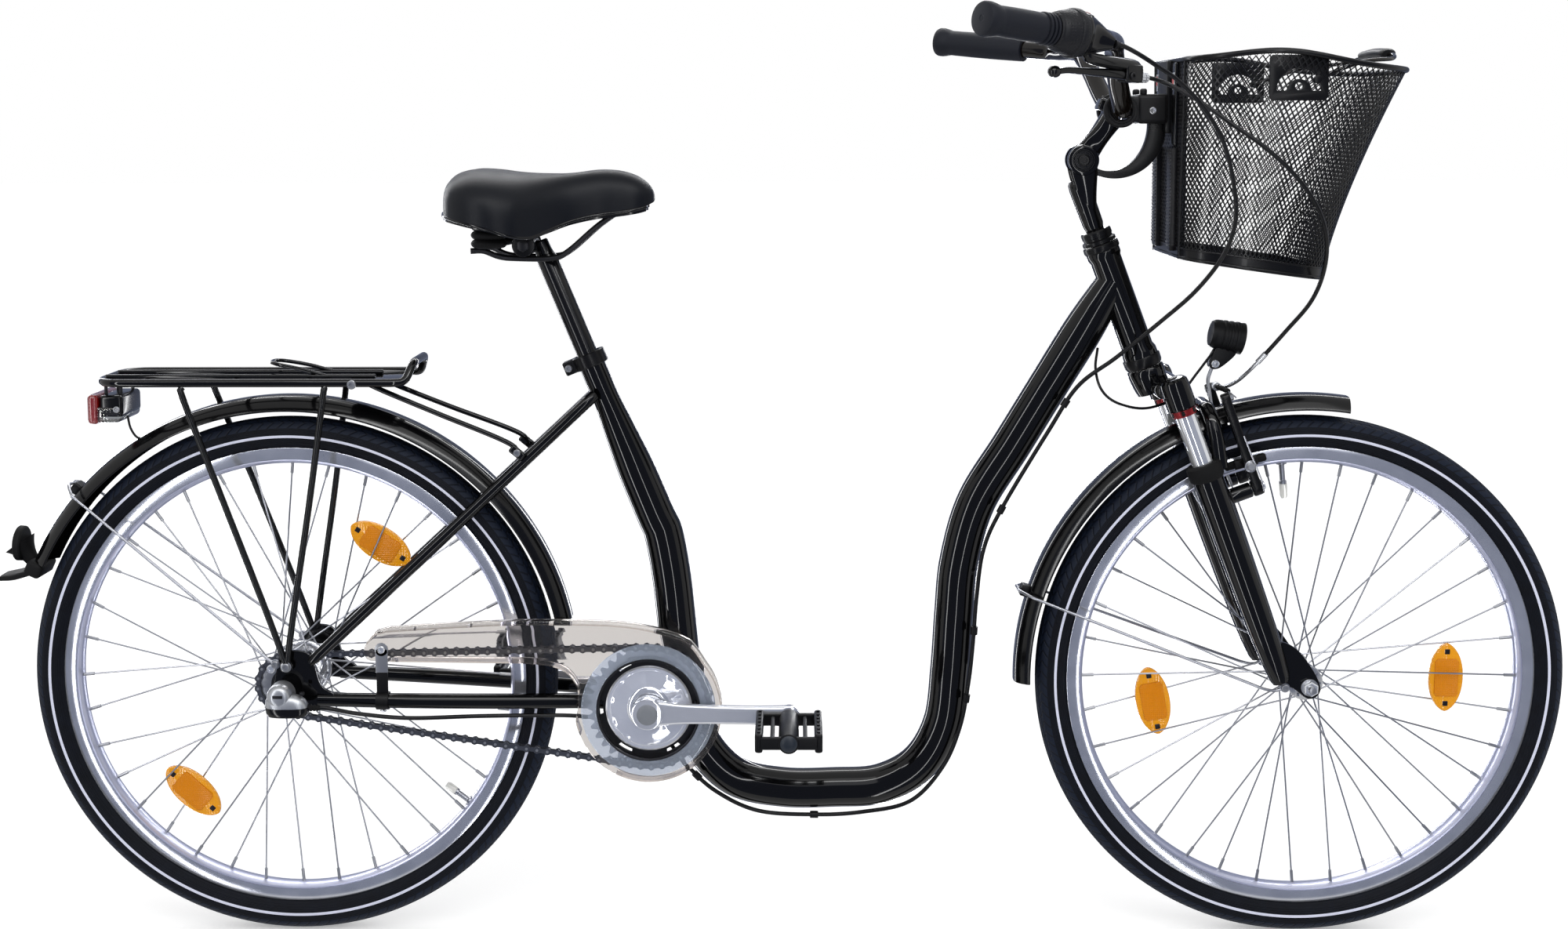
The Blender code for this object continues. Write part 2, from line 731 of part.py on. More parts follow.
# Saddle sections: place along the bike, half width, then heights of top, skirt and belly
SADDLE_SECTIONS = (
    (0.1975, 0.030, 0.9240, 0.8960, 0.9000),
    (0.2030, 0.058, 0.9330, 0.8930, 0.8985),
    (0.2150, 0.078, 0.9430, 0.8905, 0.8985),
    (0.2350, 0.092, 0.9480, 0.8860, 0.8985),
    (0.2600, 0.098, 0.9470, 0.8800, 0.8990),
    (0.2850, 0.092, 0.9440, 0.8720, 0.8990),
    (0.3050, 0.077, 0.9430, 0.8690, 0.8990),
    (0.3250, 0.060, 0.9430, 0.8760, 0.8995),
    (0.3500, 0.043, 0.9440, 0.8860, 0.9000),
    (0.3800, 0.033, 0.9460, 0.8930, 0.9010),
    (0.4050, 0.030, 0.9445, 0.8960, 0.9025),
    (0.4250, 0.027, 0.9390, 0.8990, 0.9040),
    (0.4380, 0.021, 0.9310, 0.9020, 0.9070),
    (0.4460, 0.011, 0.9200, 0.9060, 0.9100),
)


def belly(y, half, skirt, middle):
    """Underside height of the saddle: high in the middle and down to the skirt at the sides."""
    share = min(1.0, abs(y) / half)
    return middle + (skirt - middle) * share**2.2


def build_saddle_cover():
    """Padded cover: a crowned top with a shallow middle channel and drawn-in skirts."""
    rings = []
    for x, half, top, skirt, middle in SADDLE_SECTIONS:
        ring = []
        for i in range(13):
            angle = math.pi * i / 12
            y = half * math.cos(angle)
            rise = math.sin(angle) ** 0.62
            channel = 0.0045 * math.exp(-((y / 0.012) ** 2)) if half > 0.035 else 0.0
            ring.append((x, y, skirt + (top - skirt) * rise - channel * rise))
        for i in range(1, 8):
            y = -half + 2 * half * i / 8
            ring.append((x, y * 0.96, belly(y, half, skirt, middle)))
        rings.append(ring)
    cover = loft("saddle_cover", rings, COVER_VINYL)
    attach(cover, "saddle")


def build_saddle_base():
    """Gloss shell under the cover, with the two steel rails that the clamp holds."""
    thickness = 0.0045
    rings = []
    for x, half, _, skirt, middle in SADDLE_SECTIONS[1:-1]:
        upper = []
        lower = []
        for share in (0.93, 0.60, 0.0, -0.60, -0.93):
            y = half * share
            height = belly(y, half, skirt, middle) - 2 * GAP - 0.0028
            upper.append((x, y, height))
            lower.append((x, y, height - thickness))
        rings.append(upper + lower[::-1])
    base = loft("saddle_base", rings, BLACK_PAINT)
    for sign in (-1.0, 1.0):
        rows = [
            (0.4080, 0.0120, 0.8975),
            (0.3800, 0.0170, 0.8780),
            (0.3450, 0.0210, 0.8480),
            (0.3250, 0.0220, CLAMP_Z - CLAMP_DRUM_RADIUS - SADDLE_RAIL_RADIUS),
            (0.2800, 0.0220, CLAMP_Z - CLAMP_DRUM_RADIUS - SADDLE_RAIL_RADIUS),
            (0.2620, 0.0260, 0.8425),
            (0.2450, 0.0320, 0.8495),
            (0.2300, 0.0340, 0.8495),
        ]
        route = smooth_route([(x, sign * y, z) for x, y, z in rows], 0.022)
        fuse(base, solid_tube("saddle_rail_%d" % (sign > 0), route, SADDLE_RAIL_RADIUS, None, 1))
    attach(base, "saddle")


def bumper(name, sign, spec=None):
    """A rubber bumper with three ribs between the saddle's base and its rails."""
    bottom = 0.8495 + SADDLE_RAIL_RADIUS + GAP
    top = 0.8840
    pitch = (top - bottom) / 3.0
    profile = [(0.0, top)]
    for i in range(3):
        ring_top = top - i * pitch
        profile += [(0.0175, ring_top), (0.0215, ring_top - 0.5 * pitch)]
    profile += [(0.0175, bottom), (0.0, bottom)]
    return lathe(name, profile, (0.2520, sign * 0.0330, 0.0), (0, 0, 1), spec, steps=SIDES_MEDIUM)


def build_bumpers():
    """Both bumpers, moulded in one with the strip that ties them together."""
    pair = bumper("saddle_bumpers", -1.0, BLACK_RUBBER)
    strip = box("bumper_strip", (0.2520, 0.0, 0.8815), (0.0160, 0.0500, 0.0040))
    fuse(pair, bumper("bumper_left", 1.0), strip)
    attach(pair, "saddle")


# Wheels


def wheel_pivot(end):
    return "front_wheel" if end == "front" else "rear_wheel"


def build_tyre(end, axle):
    """Tyre as a turned ring, seated in the rim with a small gap."""
    half = TYRE_WIDTH / 2.0
    seat_half = RIM_WIDTH / 2.0 - RIM_WALL - GAP
    bead = RIM_RADIUS - 0.0080 + GAP
    side_rows = [
        (bead, seat_half),
        (RIM_RADIUS + GAP, seat_half),
        (TYRE_RADIUS - 0.0180, half),
        (TYRE_RADIUS - 0.0060, half * 0.74),
    ]
    profile = side_rows + [(TYRE_RADIUS, 0.0)] + [(r, -h) for r, h in side_rows[::-1]]
    tyre = lathe(end + "_tyre", profile, axle, -Y_AXIS, BLACK_RUBBER, steps=WHEEL_STEPS, closed=True)
    attach(tyre, wheel_pivot(end))


def build_rim(end, axle):
    """Box-section rim with a tyre well between its two brake walls."""
    half = RIM_WIDTH / 2.0
    well = half - RIM_WALL
    profile = [
        (RIM_RADIUS - 0.0080, well),
        (RIM_RADIUS, half),
        (RIM_RADIUS - 0.0140, half),
        (RIM_RADIUS - RIM_DEPTH, half * 0.55),
        (RIM_RADIUS - RIM_DEPTH, -half * 0.55),
        (RIM_RADIUS - 0.0140, -half),
        (RIM_RADIUS, -half),
        (RIM_RADIUS - 0.0080, -well),
    ]
    rim = lathe(end + "_rim", profile, axle, -Y_AXIS, ALUMINIUM, steps=WHEEL_STEPS, closed=True)
    attach(rim, wheel_pivot(end))


def spoke_cage(name, axle, flange_offset, hole_radius):
    """All the spokes of a wheel as slim bars; crossing ones pass each other with a small gap."""
    bm = bmesh.new()
    rim_radius = (RIM_RADIUS - RIM_DEPTH) * math.cos(math.pi / WHEEL_STEPS) - 2 * GAP
    for sign in (-1.0, 1.0):
        for i in range(SPOKES_PER_FLANGE):
            lead = 1.0 if i % 2 == 0 else -1.0
            start = math.tau * (i + (0.5 if sign > 0 else 0.0)) / SPOKES_PER_FLANGE
            end = start + lead * SPOKE_CROSS_ANGLE
            inner_y = sign * (flange_offset + lead * 0.0016)
            outer_y = sign * 0.0030
            head = Vector((hole_radius * math.cos(start), inner_y, hole_radius * math.sin(start)))
            tip = Vector((rim_radius * math.cos(end), outer_y, rim_radius * math.sin(end)))
            body = bmesh.ops.create_cone(
                bm, cap_ends=True, segments=3, radius1=SPOKE_RADIUS, radius2=SPOKE_RADIUS,
                depth=(tip - head).length
            )
            place = Matrix.Translation((head + tip) / 2.0) @ turn_from_z(tip - head)
            bmesh.ops.transform(bm, matrix=place, verts=body["verts"])
    bmesh.ops.translate(bm, vec=axle, verts=bm.verts)
    return object_from_bmesh(name, bm)


def build_hub(end, axle, flange_radius, flange_offset, shell_radius, driver):
    """Hub shell with its two flanges, a bore for the axle, and the laced spokes."""
    bore = AXLE_RADIUS + GAP
    thick = FLANGE_HALF_THICKNESS
    profile = [(bore, driver[0]), (driver[1], driver[0]), (driver[1], flange_offset + thick)]
    profile += [(flange_radius, flange_offset + thick), (flange_radius, flange_offset - thick)]
    profile += [(shell_radius, flange_offset - thick - 0.001),
                (shell_radius, -flange_offset + thick + 0.001)]
    profile += [(flange_radius, -flange_offset + thick), (flange_radius, -flange_offset - thick)]
    profile += [(0.0125, -flange_offset - thick), (0.0125, -driver[2]), (bore, -driver[2])]
    hub = lathe(end + "_hub", profile, axle, -Y_AXIS, ALUMINIUM, steps=SIDES_MEDIUM, closed=True)
    fuse(hub, spoke_cage(end + "_spokes", axle, flange_offset, flange_radius - 0.0045))
    attach(hub, wheel_pivot(end))


def build_axle(name, axle, dropout_half, right_end, left_end, owner):
    """Threaded axle with a lock nut inside each dropout and a nut outside it."""
    outer = dropout_half + DROPOUT_THICKNESS + GAP
    profile = [(0.0, right_end)]
    if right_end > outer + NUT_LENGTH:
        profile.append((AXLE_RADIUS, right_end))
        profile.append((AXLE_RADIUS, outer + NUT_LENGTH))
        profile.append((NUT_RADIUS, outer + NUT_LENGTH))
    else:
        profile.append((NUT_RADIUS, right_end))
    profile += [(NUT_RADIUS, outer), (AXLE_RADIUS, outer), (AXLE_RADIUS, -outer)]
    profile += [(NUT_RADIUS, -outer), (NUT_RADIUS, -outer - NUT_LENGTH), (AXLE_RADIUS, -outer - NUT_LENGTH)]
    profile += [(AXLE_RADIUS, -left_end), (0.0, -left_end)]
    item = lathe(name, profile, axle, -Y_AXIS, STEEL, steps=SIDES_SMALL)
    attach(item, owner)


# Drive


def toothed_outline(teeth, pitch_radius):
    """Outline of a chain wheel with pointed teeth."""
    points = []
    root = pitch_radius - TOOTH_HEIGHT
    tip = pitch_radius + TOOTH_HEIGHT
    for i in range(2 * teeth):
        angle = math.tau * i / (2 * teeth)
        radius = tip if i % 2 == 0 else root
        points.append((radius * math.cos(angle), radius * math.sin(angle)))
    return points


def pitch_radius_of(teeth):
    return CHAIN_PITCH / (2.0 * math.sin(math.pi / teeth))


RING_PITCH_RADIUS = pitch_radius_of(RING_TEETH)
SPROCKET_PITCH_RADIUS = pitch_radius_of(SPROCKET_TEETH)


def disc_window(index):
    """A wedge window in the chrome disc."""
    step = 360.0 / DISC_WINDOWS
    middle = index * step
    outer = arc((0.0, 0.0), 0.0420, middle - step * 0.33, middle + step * 0.33, 2)
    inner = arc((0.0, 0.0), 0.0290, middle + step * 0.16, middle - step * 0.16, 2)
    return outer + inner


def build_chainring():
    """Toothed ring carried by a chrome disc with a ring of wedge windows."""
    hole = circle((0.0, 0.0), CRANK_BOSS_RADIUS + 2 * GAP, SIDES_LARGE)
    ring_hole = circle((0.0, 0.0), DISC_RADIUS - 0.0050, SIDES_WIDE)
    ring = solid_plate("chainring", toothed_outline(RING_TEETH, RING_PITCH_RADIUS), TOOTH_THICKNESS,
                       BRACKET - Y_AXIS * CHAIN_LINE, (1, 0, 0), (0, 0, 1), CHROME, holes=(ring_hole,))
    thickness = 0.0050
    middle = CHAIN_LINE + TOOTH_THICKNESS / 2.0 + thickness / 2.0 - 0.0006
    holes = [hole] + [disc_window(i) for i in range(DISC_WINDOWS)]
    disc = solid_plate("chrome_disc", circle((0.0, 0.0), DISC_RADIUS, SIDES_WIDE), thickness,
                       BRACKET - Y_AXIS * middle,
                       (1, 0, 0), (0, 0, 1), holes=holes)
    fuse(ring, disc)
    attach(ring, "crank")


def build_sprocket():
    """Rear sprocket on the hub's driver."""
    hole = circle((0.0, 0.0), DRIVER_RADIUS + 2 * GAP, SIDES_LARGE)
    sprocket = plate("sprocket", toothed_outline(SPROCKET_TEETH, SPROCKET_PITCH_RADIUS), TOOTH_THICKNESS,
                     REAR_AXLE - Y_AXIS * CHAIN_LINE, (1, 0, 0), (0, 0, 1), STEEL, holes=(hole,))
    attach(sprocket, "sprocket")


DRIVER_RADIUS = 0.0165


def chain_loop(shift):
    """The chain's path round ring and sprocket, moved outwards by a distance."""
    ring = Vector((BRACKET_X, BRACKET_Z))
    rear = Vector((0.0, TYRE_RADIUS))
    span = ring - rear
    lean = math.asin((RING_PITCH_RADIUS - SPROCKET_PITCH_RADIUS) / span.length)
    slope = math.atan2(span.y, span.x)
    top = math.degrees(slope + math.pi / 2.0 + lean)
    low = math.degrees(slope - math.pi / 2.0 - lean)
    front = arc(ring, RING_PITCH_RADIUS + shift, low, top, 15)
    back = arc(rear, SPROCKET_PITCH_RADIUS + shift, top, low + 360.0, 9)
    return front + back


def build_chain():
    """The chain as one band with a slot that the teeth run in, open on its inner side."""
    rings = []
    profile = [
        (CHAIN_HALF_HEIGHT, -CHAIN_HALF_WIDTH),
        (CHAIN_HALF_HEIGHT, CHAIN_HALF_WIDTH),
        (-CHAIN_HALF_HEIGHT, CHAIN_HALF_WIDTH),
        (-CHAIN_HALF_HEIGHT, CHAIN_SLOT_HALF),
        (CHAIN_HALF_HEIGHT - 0.0004, CHAIN_SLOT_HALF),
        (CHAIN_HALF_HEIGHT - 0.0004, -CHAIN_SLOT_HALF),
        (-CHAIN_HALF_HEIGHT, -CHAIN_SLOT_HALF),
        (-CHAIN_HALF_HEIGHT, -CHAIN_HALF_WIDTH),
    ]
    loops = [chain_loop(out) for out, _ in profile]
    for i in range(len(loops[0])):
        rings.append([(loop[i][0], -CHAIN_LINE + side, loop[i][1]) for loop,
                      (_, side) in zip(loops, profile)])
    rings.append(rings[0])
    chain = loft("chain", rings, CHAIN_STEEL, closed_ends=False)
    bm = bmesh.new()
    bm.from_mesh(chain.data)
    bmesh.ops.remove_doubles(bm, verts=bm.verts, dist=0.000005)
    bmesh.ops.recalc_face_normals(bm, faces=bm.faces)
    bm.to_mesh(chain.data)
    bm.free()
    attach(chain, "frame")


def crank_outline(toward):
    """Side outline of a crank arm from its boss to the pedal's eye."""
    length = CRANK_LENGTH
    boss = arc((0.0, 0.0), 0.0165, 55.0, 305.0, 7)
    eye = arc((length, 0.0), 0.0125, -75.0, 75.0, 5)
    outline = boss + [(0.030, -0.0120)] + eye + [(0.030, 0.0120)]
    return [(toward * x, z) for x, z in outline]


def build_crank(side, sign):
    """A crank arm with its pedal pin; the left one also carries the bracket spindle."""
    toward = -sign
    turn = (math.cos(CRANK_ANGLE), 0.0, math.sin(CRANK_ANGLE))
    up = (-math.sin(CRANK_ANGLE), 0.0, math.cos(CRANK_ANGLE))
    middle = CRANK_INNER + CRANK_THICKNESS / 2.0
    arm = solid_plate("crank_" + side, crank_outline(toward), CRANK_THICKNESS,
                      BRACKET + Y_AXIS * sign * middle,
                      turn, up, CHROME)
    boss_inner = BRACKET_HALF_WIDTH + 0.0015
    boss = rod("crank_boss_" + side, BRACKET + Y_AXIS * sign * boss_inner,
               BRACKET + Y_AXIS * sign * (CRANK_INNER + CRANK_THICKNESS + 0.003), CRANK_BOSS_RADIUS,
               sides=SIDES_LARGE)
    pin_start = CRANK_INNER + CRANK_THICKNESS - 0.002
    place = pedal_place(sign)
    pin = rod("pedal_pin_" + side, place + Y_AXIS * sign * pin_start,
              place + Y_AXIS * sign * (pin_start + PEDAL_WIDTH - 0.004), PEDAL_PIN_RADIUS,
              sides=SIDES_SMALL)
    fuse(arm, boss, pin)
    if sign > 0:
        spindle = rod("spindle", BRACKET + Y_AXIS * (boss_inner + 0.004),
                      BRACKET - Y_AXIS * (boss_inner + 0.010), SPINDLE_RADIUS, sides=SIDES_LARGE)
        fuse(arm, spindle)
    else:
        socket = rod("spindle_socket", BRACKET + Y_AXIS * (-boss_inner + 0.002),
                     BRACKET - Y_AXIS * (boss_inner + 0.0103), SPINDLE_RADIUS + GAP, sides=SIDES_LARGE)
        cut(arm, socket)
    attach(arm, "crank")


def build_pedal(side, sign):
    """Platform pedal: a rounded block with two through windows and the pin's blind bore."""
    inner = CRANK_INNER + CRANK_THICKNESS + 0.004
    place = pedal_place(sign)
    centre = place + Y_AXIS * sign * (inner + PEDAL_WIDTH / 2.0)
    name = "pedal_" + side
    body = box(name, centre, (PEDAL_LENGTH, PEDAL_WIDTH, PEDAL_HEIGHT), BLACK_PLASTIC)
    for i, shift in enumerate((-0.023, 0.023)):
        window = box(name + "_window_%d" % i, centre + Vector((shift, 0, 0)), (0.024, 0.066, 0.05))
        cut(body, window)
    barrel = rod(name + "_barrel", centre - Y_AXIS * sign * (PEDAL_WIDTH / 2.0 - 0.001),
                 centre + Y_AXIS * sign * (PEDAL_WIDTH / 2.0 + 0.004), 0.0125, sides=SIDES_LARGE)
    fuse(body, barrel)
    bore_end = CRANK_INNER + CRANK_THICKNESS - 0.002 + PEDAL_WIDTH - 0.004 + 0.001
    bore = rod(name + "_bore", place + Y_AXIS * sign * (inner - 0.01), place + Y_AXIS * sign * bore_end,
               PEDAL_PIN_RADIUS + RUNNING_GAP, sides=SIDES_MEDIUM)
    cut(body, bore)
    attach(body, "pedal_" + side)


def chain_guard_outline():
    """Side outline of the chain guard, in bike coordinates X and Z."""
    nose = arc((BRACKET_X, BRACKET_Z - 0.001), 0.0885, -150.0, 35.0, 9)
    outline = nose + [(0.4900, 0.3750), (0.4600, 0.3880), (0.4250, 0.3960), (0.3800, 0.4000),
                      (0.2807, 0.4009)]
    outline += [(0.1804, 0.3960), (0.1113, 0.3912), (0.0960, 0.3700), (0.1047, 0.3545), (0.2913, 0.3520)]
    outline += [(0.3234, 0.3480), (0.3420, 0.3390), (0.3530, 0.3220), (0.3540, 0.3000), (0.3510, 0.2800)]
    return outline


def build_chain_guard():
    """Clear guard: an outer face with a round hole, and a rim wall that covers the upper run."""
    depth = GUARD_OUTER_FACE - GUARD_INNER_FACE
    middle = (GUARD_OUTER_FACE + GUARD_INNER_FACE) / 2.0
    outline = chain_guard_outline()
    guard = solid_plate("chain_guard", outline, depth, (0, -middle, 0), (1, 0, 0), (0, 0, 1), SMOKY_CLEAR)
    hollow = solid_plate("chain_guard_hollow", outline, depth, (0, -middle + CHAIN_GUARD_WALL, 0),
                         (1, 0, 0), (0, 0, 1), offset=-CHAIN_GUARD_WALL)
    hole = rod("chain_guard_hole", BRACKET - Y_AXIS * 0.100, BRACKET - Y_AXIS * 0.045,
               CHAIN_GUARD_HOLE_RADIUS, sides=SIDES_WIDE)
    exit_slot = box("chain_guard_exit", (0.3740, -0.040, 0.2380), (0.0500, 0.026, 0.0500))
    tail_slot = box("chain_guard_tail", (0.095, -0.0400, 0.362), (0.060, 0.026, 0.026))
    stay_slot = box("chain_guard_stay_slot", (0.3600, -0.0360, 0.2980), (0.0500, 0.0180, 0.0300))
    cut(guard, hollow, hole, exit_slot, tail_slot, stay_slot)
    attach(guard, "frame")


def build_guard_strap():
    """Flat steel strap that clips round the chainstay and holds the chain guard."""
    x = 0.1175
    stay_y = -0.0548
    stay_z = 0.3060
    inner = 0.0097
    profile = [(inner, 0.008), (inner + 0.0014, 0.008), (inner + 0.0014, -0.008), (inner, -0.008)]
    ring = lathe("chain_guard_strap", profile, (x, stay_y, stay_z), (1, 0, 0), STEEL, steps=SIDES_LARGE,
                 closed=True)
    face = -GUARD_OUTER_FACE - GAP
    bottom = stay_z + inner - 0.0004
    top = 0.3730
    strap = box("strap_plate", (x, face - 0.0007, (bottom + top) / 2.0), (0.015, 0.0014, top - bottom))
    fuse(ring, strap)
    attach(ring, "frame")


def build_shift_box():
    """Shift box over the right end of the rear axle, with its cable mouth facing forward."""
    inner_face = 0.0800
    depth = 0.0260
    y = -(inner_face + depth / 2.0)
    body = box("shift_box", (0.0115, y, 0.3130), (0.0520, depth, 0.0300), ALUMINIUM, bevel=0.005)
    dome = rod("shift_box_dome", (0.0030, -inner_face, 0.3230), (0.0030, -inner_face - depth, 0.3230),
               0.0155, sides=SIDES_LARGE)
    mouth = rod("shift_box_mouth", (0.030, y, 0.3085), (0.0430, y, 0.3085), 0.0042, sides=SIDES_MEDIUM)
    fuse(body, dome, mouth)
    attach(body, "frame")


# Rear guard, rack and light


def guard_ring(name, axle, start, end, spec):
    """A U-section mudguard as an arc of sheet round a wheel, angles in degrees."""
    inner = GUARD_RADIUS - GUARD_SHEET
    half = GUARD_HALF_WIDTH
    section = [(-half, -0.0170), (-half * 0.86, -0.0045), (0.0, 0.0)]
    section += [(-y, r) for y, r in section[-2::-1]]
    skin = [(y, inner + r) for y, r in section]
    outer = [(y * (1 + GUARD_SHEET / half), inner + r + (GUARD_SHEET if abs(y) < half * 0.95 else 0.0002))
             for y, r in section]
    ring = skin + outer[::-1]
    count = max(2, round((end - start) / 10.0))
    rings = []
    for i in range(count + 1):
        angle = math.radians(start + (end - start) * i / count)
        rings.append([(axle.x + r * math.cos(angle), y, axle.z + r * math.sin(angle)) for y, r in ring])
    return loft(name, rings, spec)


def around(axle, angle, radius, side=0.0):
    """A point at an angle in degrees and a radius round a wheel."""
    turn = math.radians(angle)
    return Vector((axle.x + radius * math.cos(turn), side, axle.z + radius * math.sin(turn)))


REAR_GUARD_START = 12.0
REAR_GUARD_END = 155.0
FRONT_GUARD_START = 81.5
FRONT_GUARD_END = 181.0
REAR_CLIP_ANGLE = 138.5
FRONT_CLIP_ANGLE = 162.5
CLIP_HEIGHT = 0.0090


def guard_clip(name, axle, angle):
    """Block on a mudguard's back that its wire stay is clamped to."""
    radial = (around(axle, angle, 1.0) - axle).normalized()
    along = Y_AXIS.cross(radial).normalized()
    root = 0.0022
    centre = around(axle, angle, GUARD_RADIUS + (CLIP_HEIGHT - root) / 2.0)
    return box(name, centre, (CLIP_HEIGHT + root, 0.020, 0.014), axes=(radial, Y_AXIS, along))


def build_rear_mudguard():
    guard = guard_ring("rear_mudguard", REAR_AXLE, REAR_GUARD_START, REAR_GUARD_END, BLACK_PAINT)
    fuse(guard, guard_clip("rear_guard_clip", REAR_AXLE, REAR_CLIP_ANGLE))
    attach(guard, "frame")


def build_front_mudguard():
    guard = guard_ring("front_mudguard", FRONT_AXLE, FRONT_GUARD_START, FRONT_GUARD_END, BLACK_PAINT)
    fuse(guard, guard_clip("front_guard_clip", FRONT_AXLE, FRONT_CLIP_ANGLE))
    attach(guard, "fork_lower")


def build_guard_stay(name, axle, angle, foot, owner):
    """Silver wire stay: from an eye beside each dropout to one loop over the mudguard's clip.

    The foot is a row of points on the left side, from the eye's centre up to the straight run.
    """
    loop_radius = GUARD_RADIUS + CLIP_HEIGHT + GAP + STAY_WIRE_RADIUS
    side = GUARD_HALF_WIDTH + GUARD_SHEET + 0.0060
    flank = around(axle, angle, loop_radius - 0.016, side)
    shoulder = around(axle, angle, loop_radius + 0.0002, 0.0135)
    top = around(axle, angle, loop_radius + 0.0002)
    last = Vector(foot[-1])
    straight = [last.lerp(flank, 0.10), last.lerp(flank, 0.92)]
    left = [Vector(point) for point in foot] + straight + [flank, shoulder]
    half = [tuple(point) for point in left]
    route = half + [tuple(top)] + [(x, -y, z) for x, y, z in half[::-1]]
    wire = solid_tube(name, smooth_route(route, 0.20), STAY_WIRE_RADIUS, STEEL, 1)
    for sign in (-1.0, 1.0):
        place = Vector((foot[0][0], sign * foot[0][1], foot[0][2]))
        eye = rod(name + "_eye_%d" % (sign > 0), place - Y_AXIS * STAY_EYE_HALF,
                  place + Y_AXIS * STAY_EYE_HALF,
                  0.0055, sides=SIDES_SMALL)
        fuse(wire, eye)
    attach(wire, owner)


def build_rear_reflector():
    """Rubber end piece of the rear mudguard: a cone with a round reflector, and the mud flap."""
    end = around(REAR_AXLE, REAR_GUARD_END, GUARD_RADIUS)
    along = (around(REAR_AXLE, REAR_GUARD_END + 90.0, 1.0) - REAR_AXLE).normalized()
    radial = (around(REAR_AXLE, REAR_GUARD_END, 1.0) - REAR_AXLE).normalized()
    block_centre = end + along * (0.0095 + GAP) - radial * 0.0065
    block = box("rear_reflector", block_centre, (0.019, 0.050, 0.020), BLACK_RUBBER,
                axes=(along, Y_AXIS, radial),
                bevel=0.002)
    face = Vector((-0.3390, 0.0, 0.4880))
    root = block_centre + radial * 0.0090 + along * 0.0015
    cone = rod("reflector_cone", root, face + Vector((0.004, 0.0, -0.0005)), 0.0082, sides=SIDES_LARGE,
               end_radius=0.0150)
    tilt = Vector((-1.0, 0.0, 0.06)).normalized()
    disc = rod("reflector_disc", face - tilt * 0.0065, face + tilt * 0.002, 0.0215, sides=SIDES_LARGE)
    low = block_centre + along * 0.004
    flap_rows = [low, Vector((-0.3180, 0.0, 0.4560)), Vector((-0.3400, 0.0, 0.4495)),
                 Vector((MUD_FLAP_TIP, 0.0, 0.4465))]
    rings = []
    for point, half, thick in zip(flap_rows, (0.020, 0.024, 0.024, 0.018),
                                  (0.0050, 0.0045, 0.0045, 0.0040)):
        rings.append([(point.x, -half, point.z - thick), (point.x, half, point.z - thick),
                      (point.x, half, point.z + thick), (point.x, -half, point.z + thick)])
    flap = loft("mud_flap", rings)
    fuse(block, cone, disc, flap)
    attach(block, "frame")


def rack_loop(half_width, rear, front, corner, height):
    """A round-cornered rod loop, open at its front end."""
    points = [(front, -half_width, height), (rear + corner, -half_width, height)]
    for angle in (30.0, 60.0):
        turn = math.radians(angle)
        points.append((rear + corner - corner * math.sin(turn),
                       -half_width + corner - corner * math.cos(turn), height))
    points.append((rear, -half_width + corner, height))
    mirrored = [(x, -y, z) for x, y, z in points[::-1]]
    return points + mirrored


def cyclic_tube(name, points, radius, spec=None, resolution=2):
    return to_mesh(tube(name, points, radius, spec, resolution, cyclic=True))


def build_rack():
    """The whole rack deck as one welded rod work."""
    height = RACK_HEIGHT
    outer = rack_loop(RACK_HALF_WIDTH, RACK_REAR, RACK_FRONT - 0.020, 0.030, height)
    hoop = [(RACK_FRONT - 0.008, 0.048, height), (RACK_FRONT, 0.040, height + 0.008),
            (RACK_FRONT + 0.004, 0.034, height + 0.022)]
    loop = outer + hoop + [(x, -y, z) for x, y, z in hoop[::-1]]
    deck = cyclic_tube("rack_deck", loop, RACK_ROD_RADIUS, BLACK_PAINT, 1)
    for i, x in enumerate((RACK_REAR + 0.050, -0.060, 0.030)):
        start = (x, -RACK_HALF_WIDTH + 0.0008, height - 0.0012)
        end = (x, RACK_HALF_WIDTH - 0.0008, height - 0.0012)
        fuse(deck, rod("rack_cross_%d" % i, start, end, RACK_WIRE_RADIUS, sides=SIDES_WIRE))
    for i, side in enumerate((-0.021, 0.021)):
        start = (RACK_REAR + 0.0007, side, height + 0.003)
        end = (0.110, side, height + 0.003)
        fuse(deck, rod("rack_inner_%d" % i, start, end, RACK_WIRE_RADIUS, sides=SIDES_WIRE))
    tongue = box("rack_front_plate", (0.112, 0.0, height - 0.0015),
                 (0.062, 2 * RACK_HALF_WIDTH - 0.0030, 0.004))
    fuse(deck, tongue)
    for sign in (-1.0, 1.0):
        rows = [(0.098, 0.030, height - 0.0025), (0.125, 0.0305, height - 0.0150), (0.1880, 0.0335, 0.6530),
                (0.2700, 0.0400, 0.6200), (0.2870, 0.0418, 0.6042)]
        route = smooth_route([(x, sign * y, z) for x, y, z in rows], 0.05)
        fuse(deck, solid_tube("rack_stay_%d" % (sign > 0), route, RACK_WIRE_RADIUS, None, 1))
    clip = [(0.052, -0.021, height + 0.003), (0.020, -0.021, height + 0.012),
            (-0.012, -0.017, height + 0.018),
            (-0.020, 0.0, height + 0.019)]
    clip = clip + [(x, -y, z) for x, y, z in clip[-2::-1]]
    fuse(deck, solid_tube("rack_clip", smooth_route(clip, 0.040), 0.0024, None, 1))
    attach(deck, "frame")


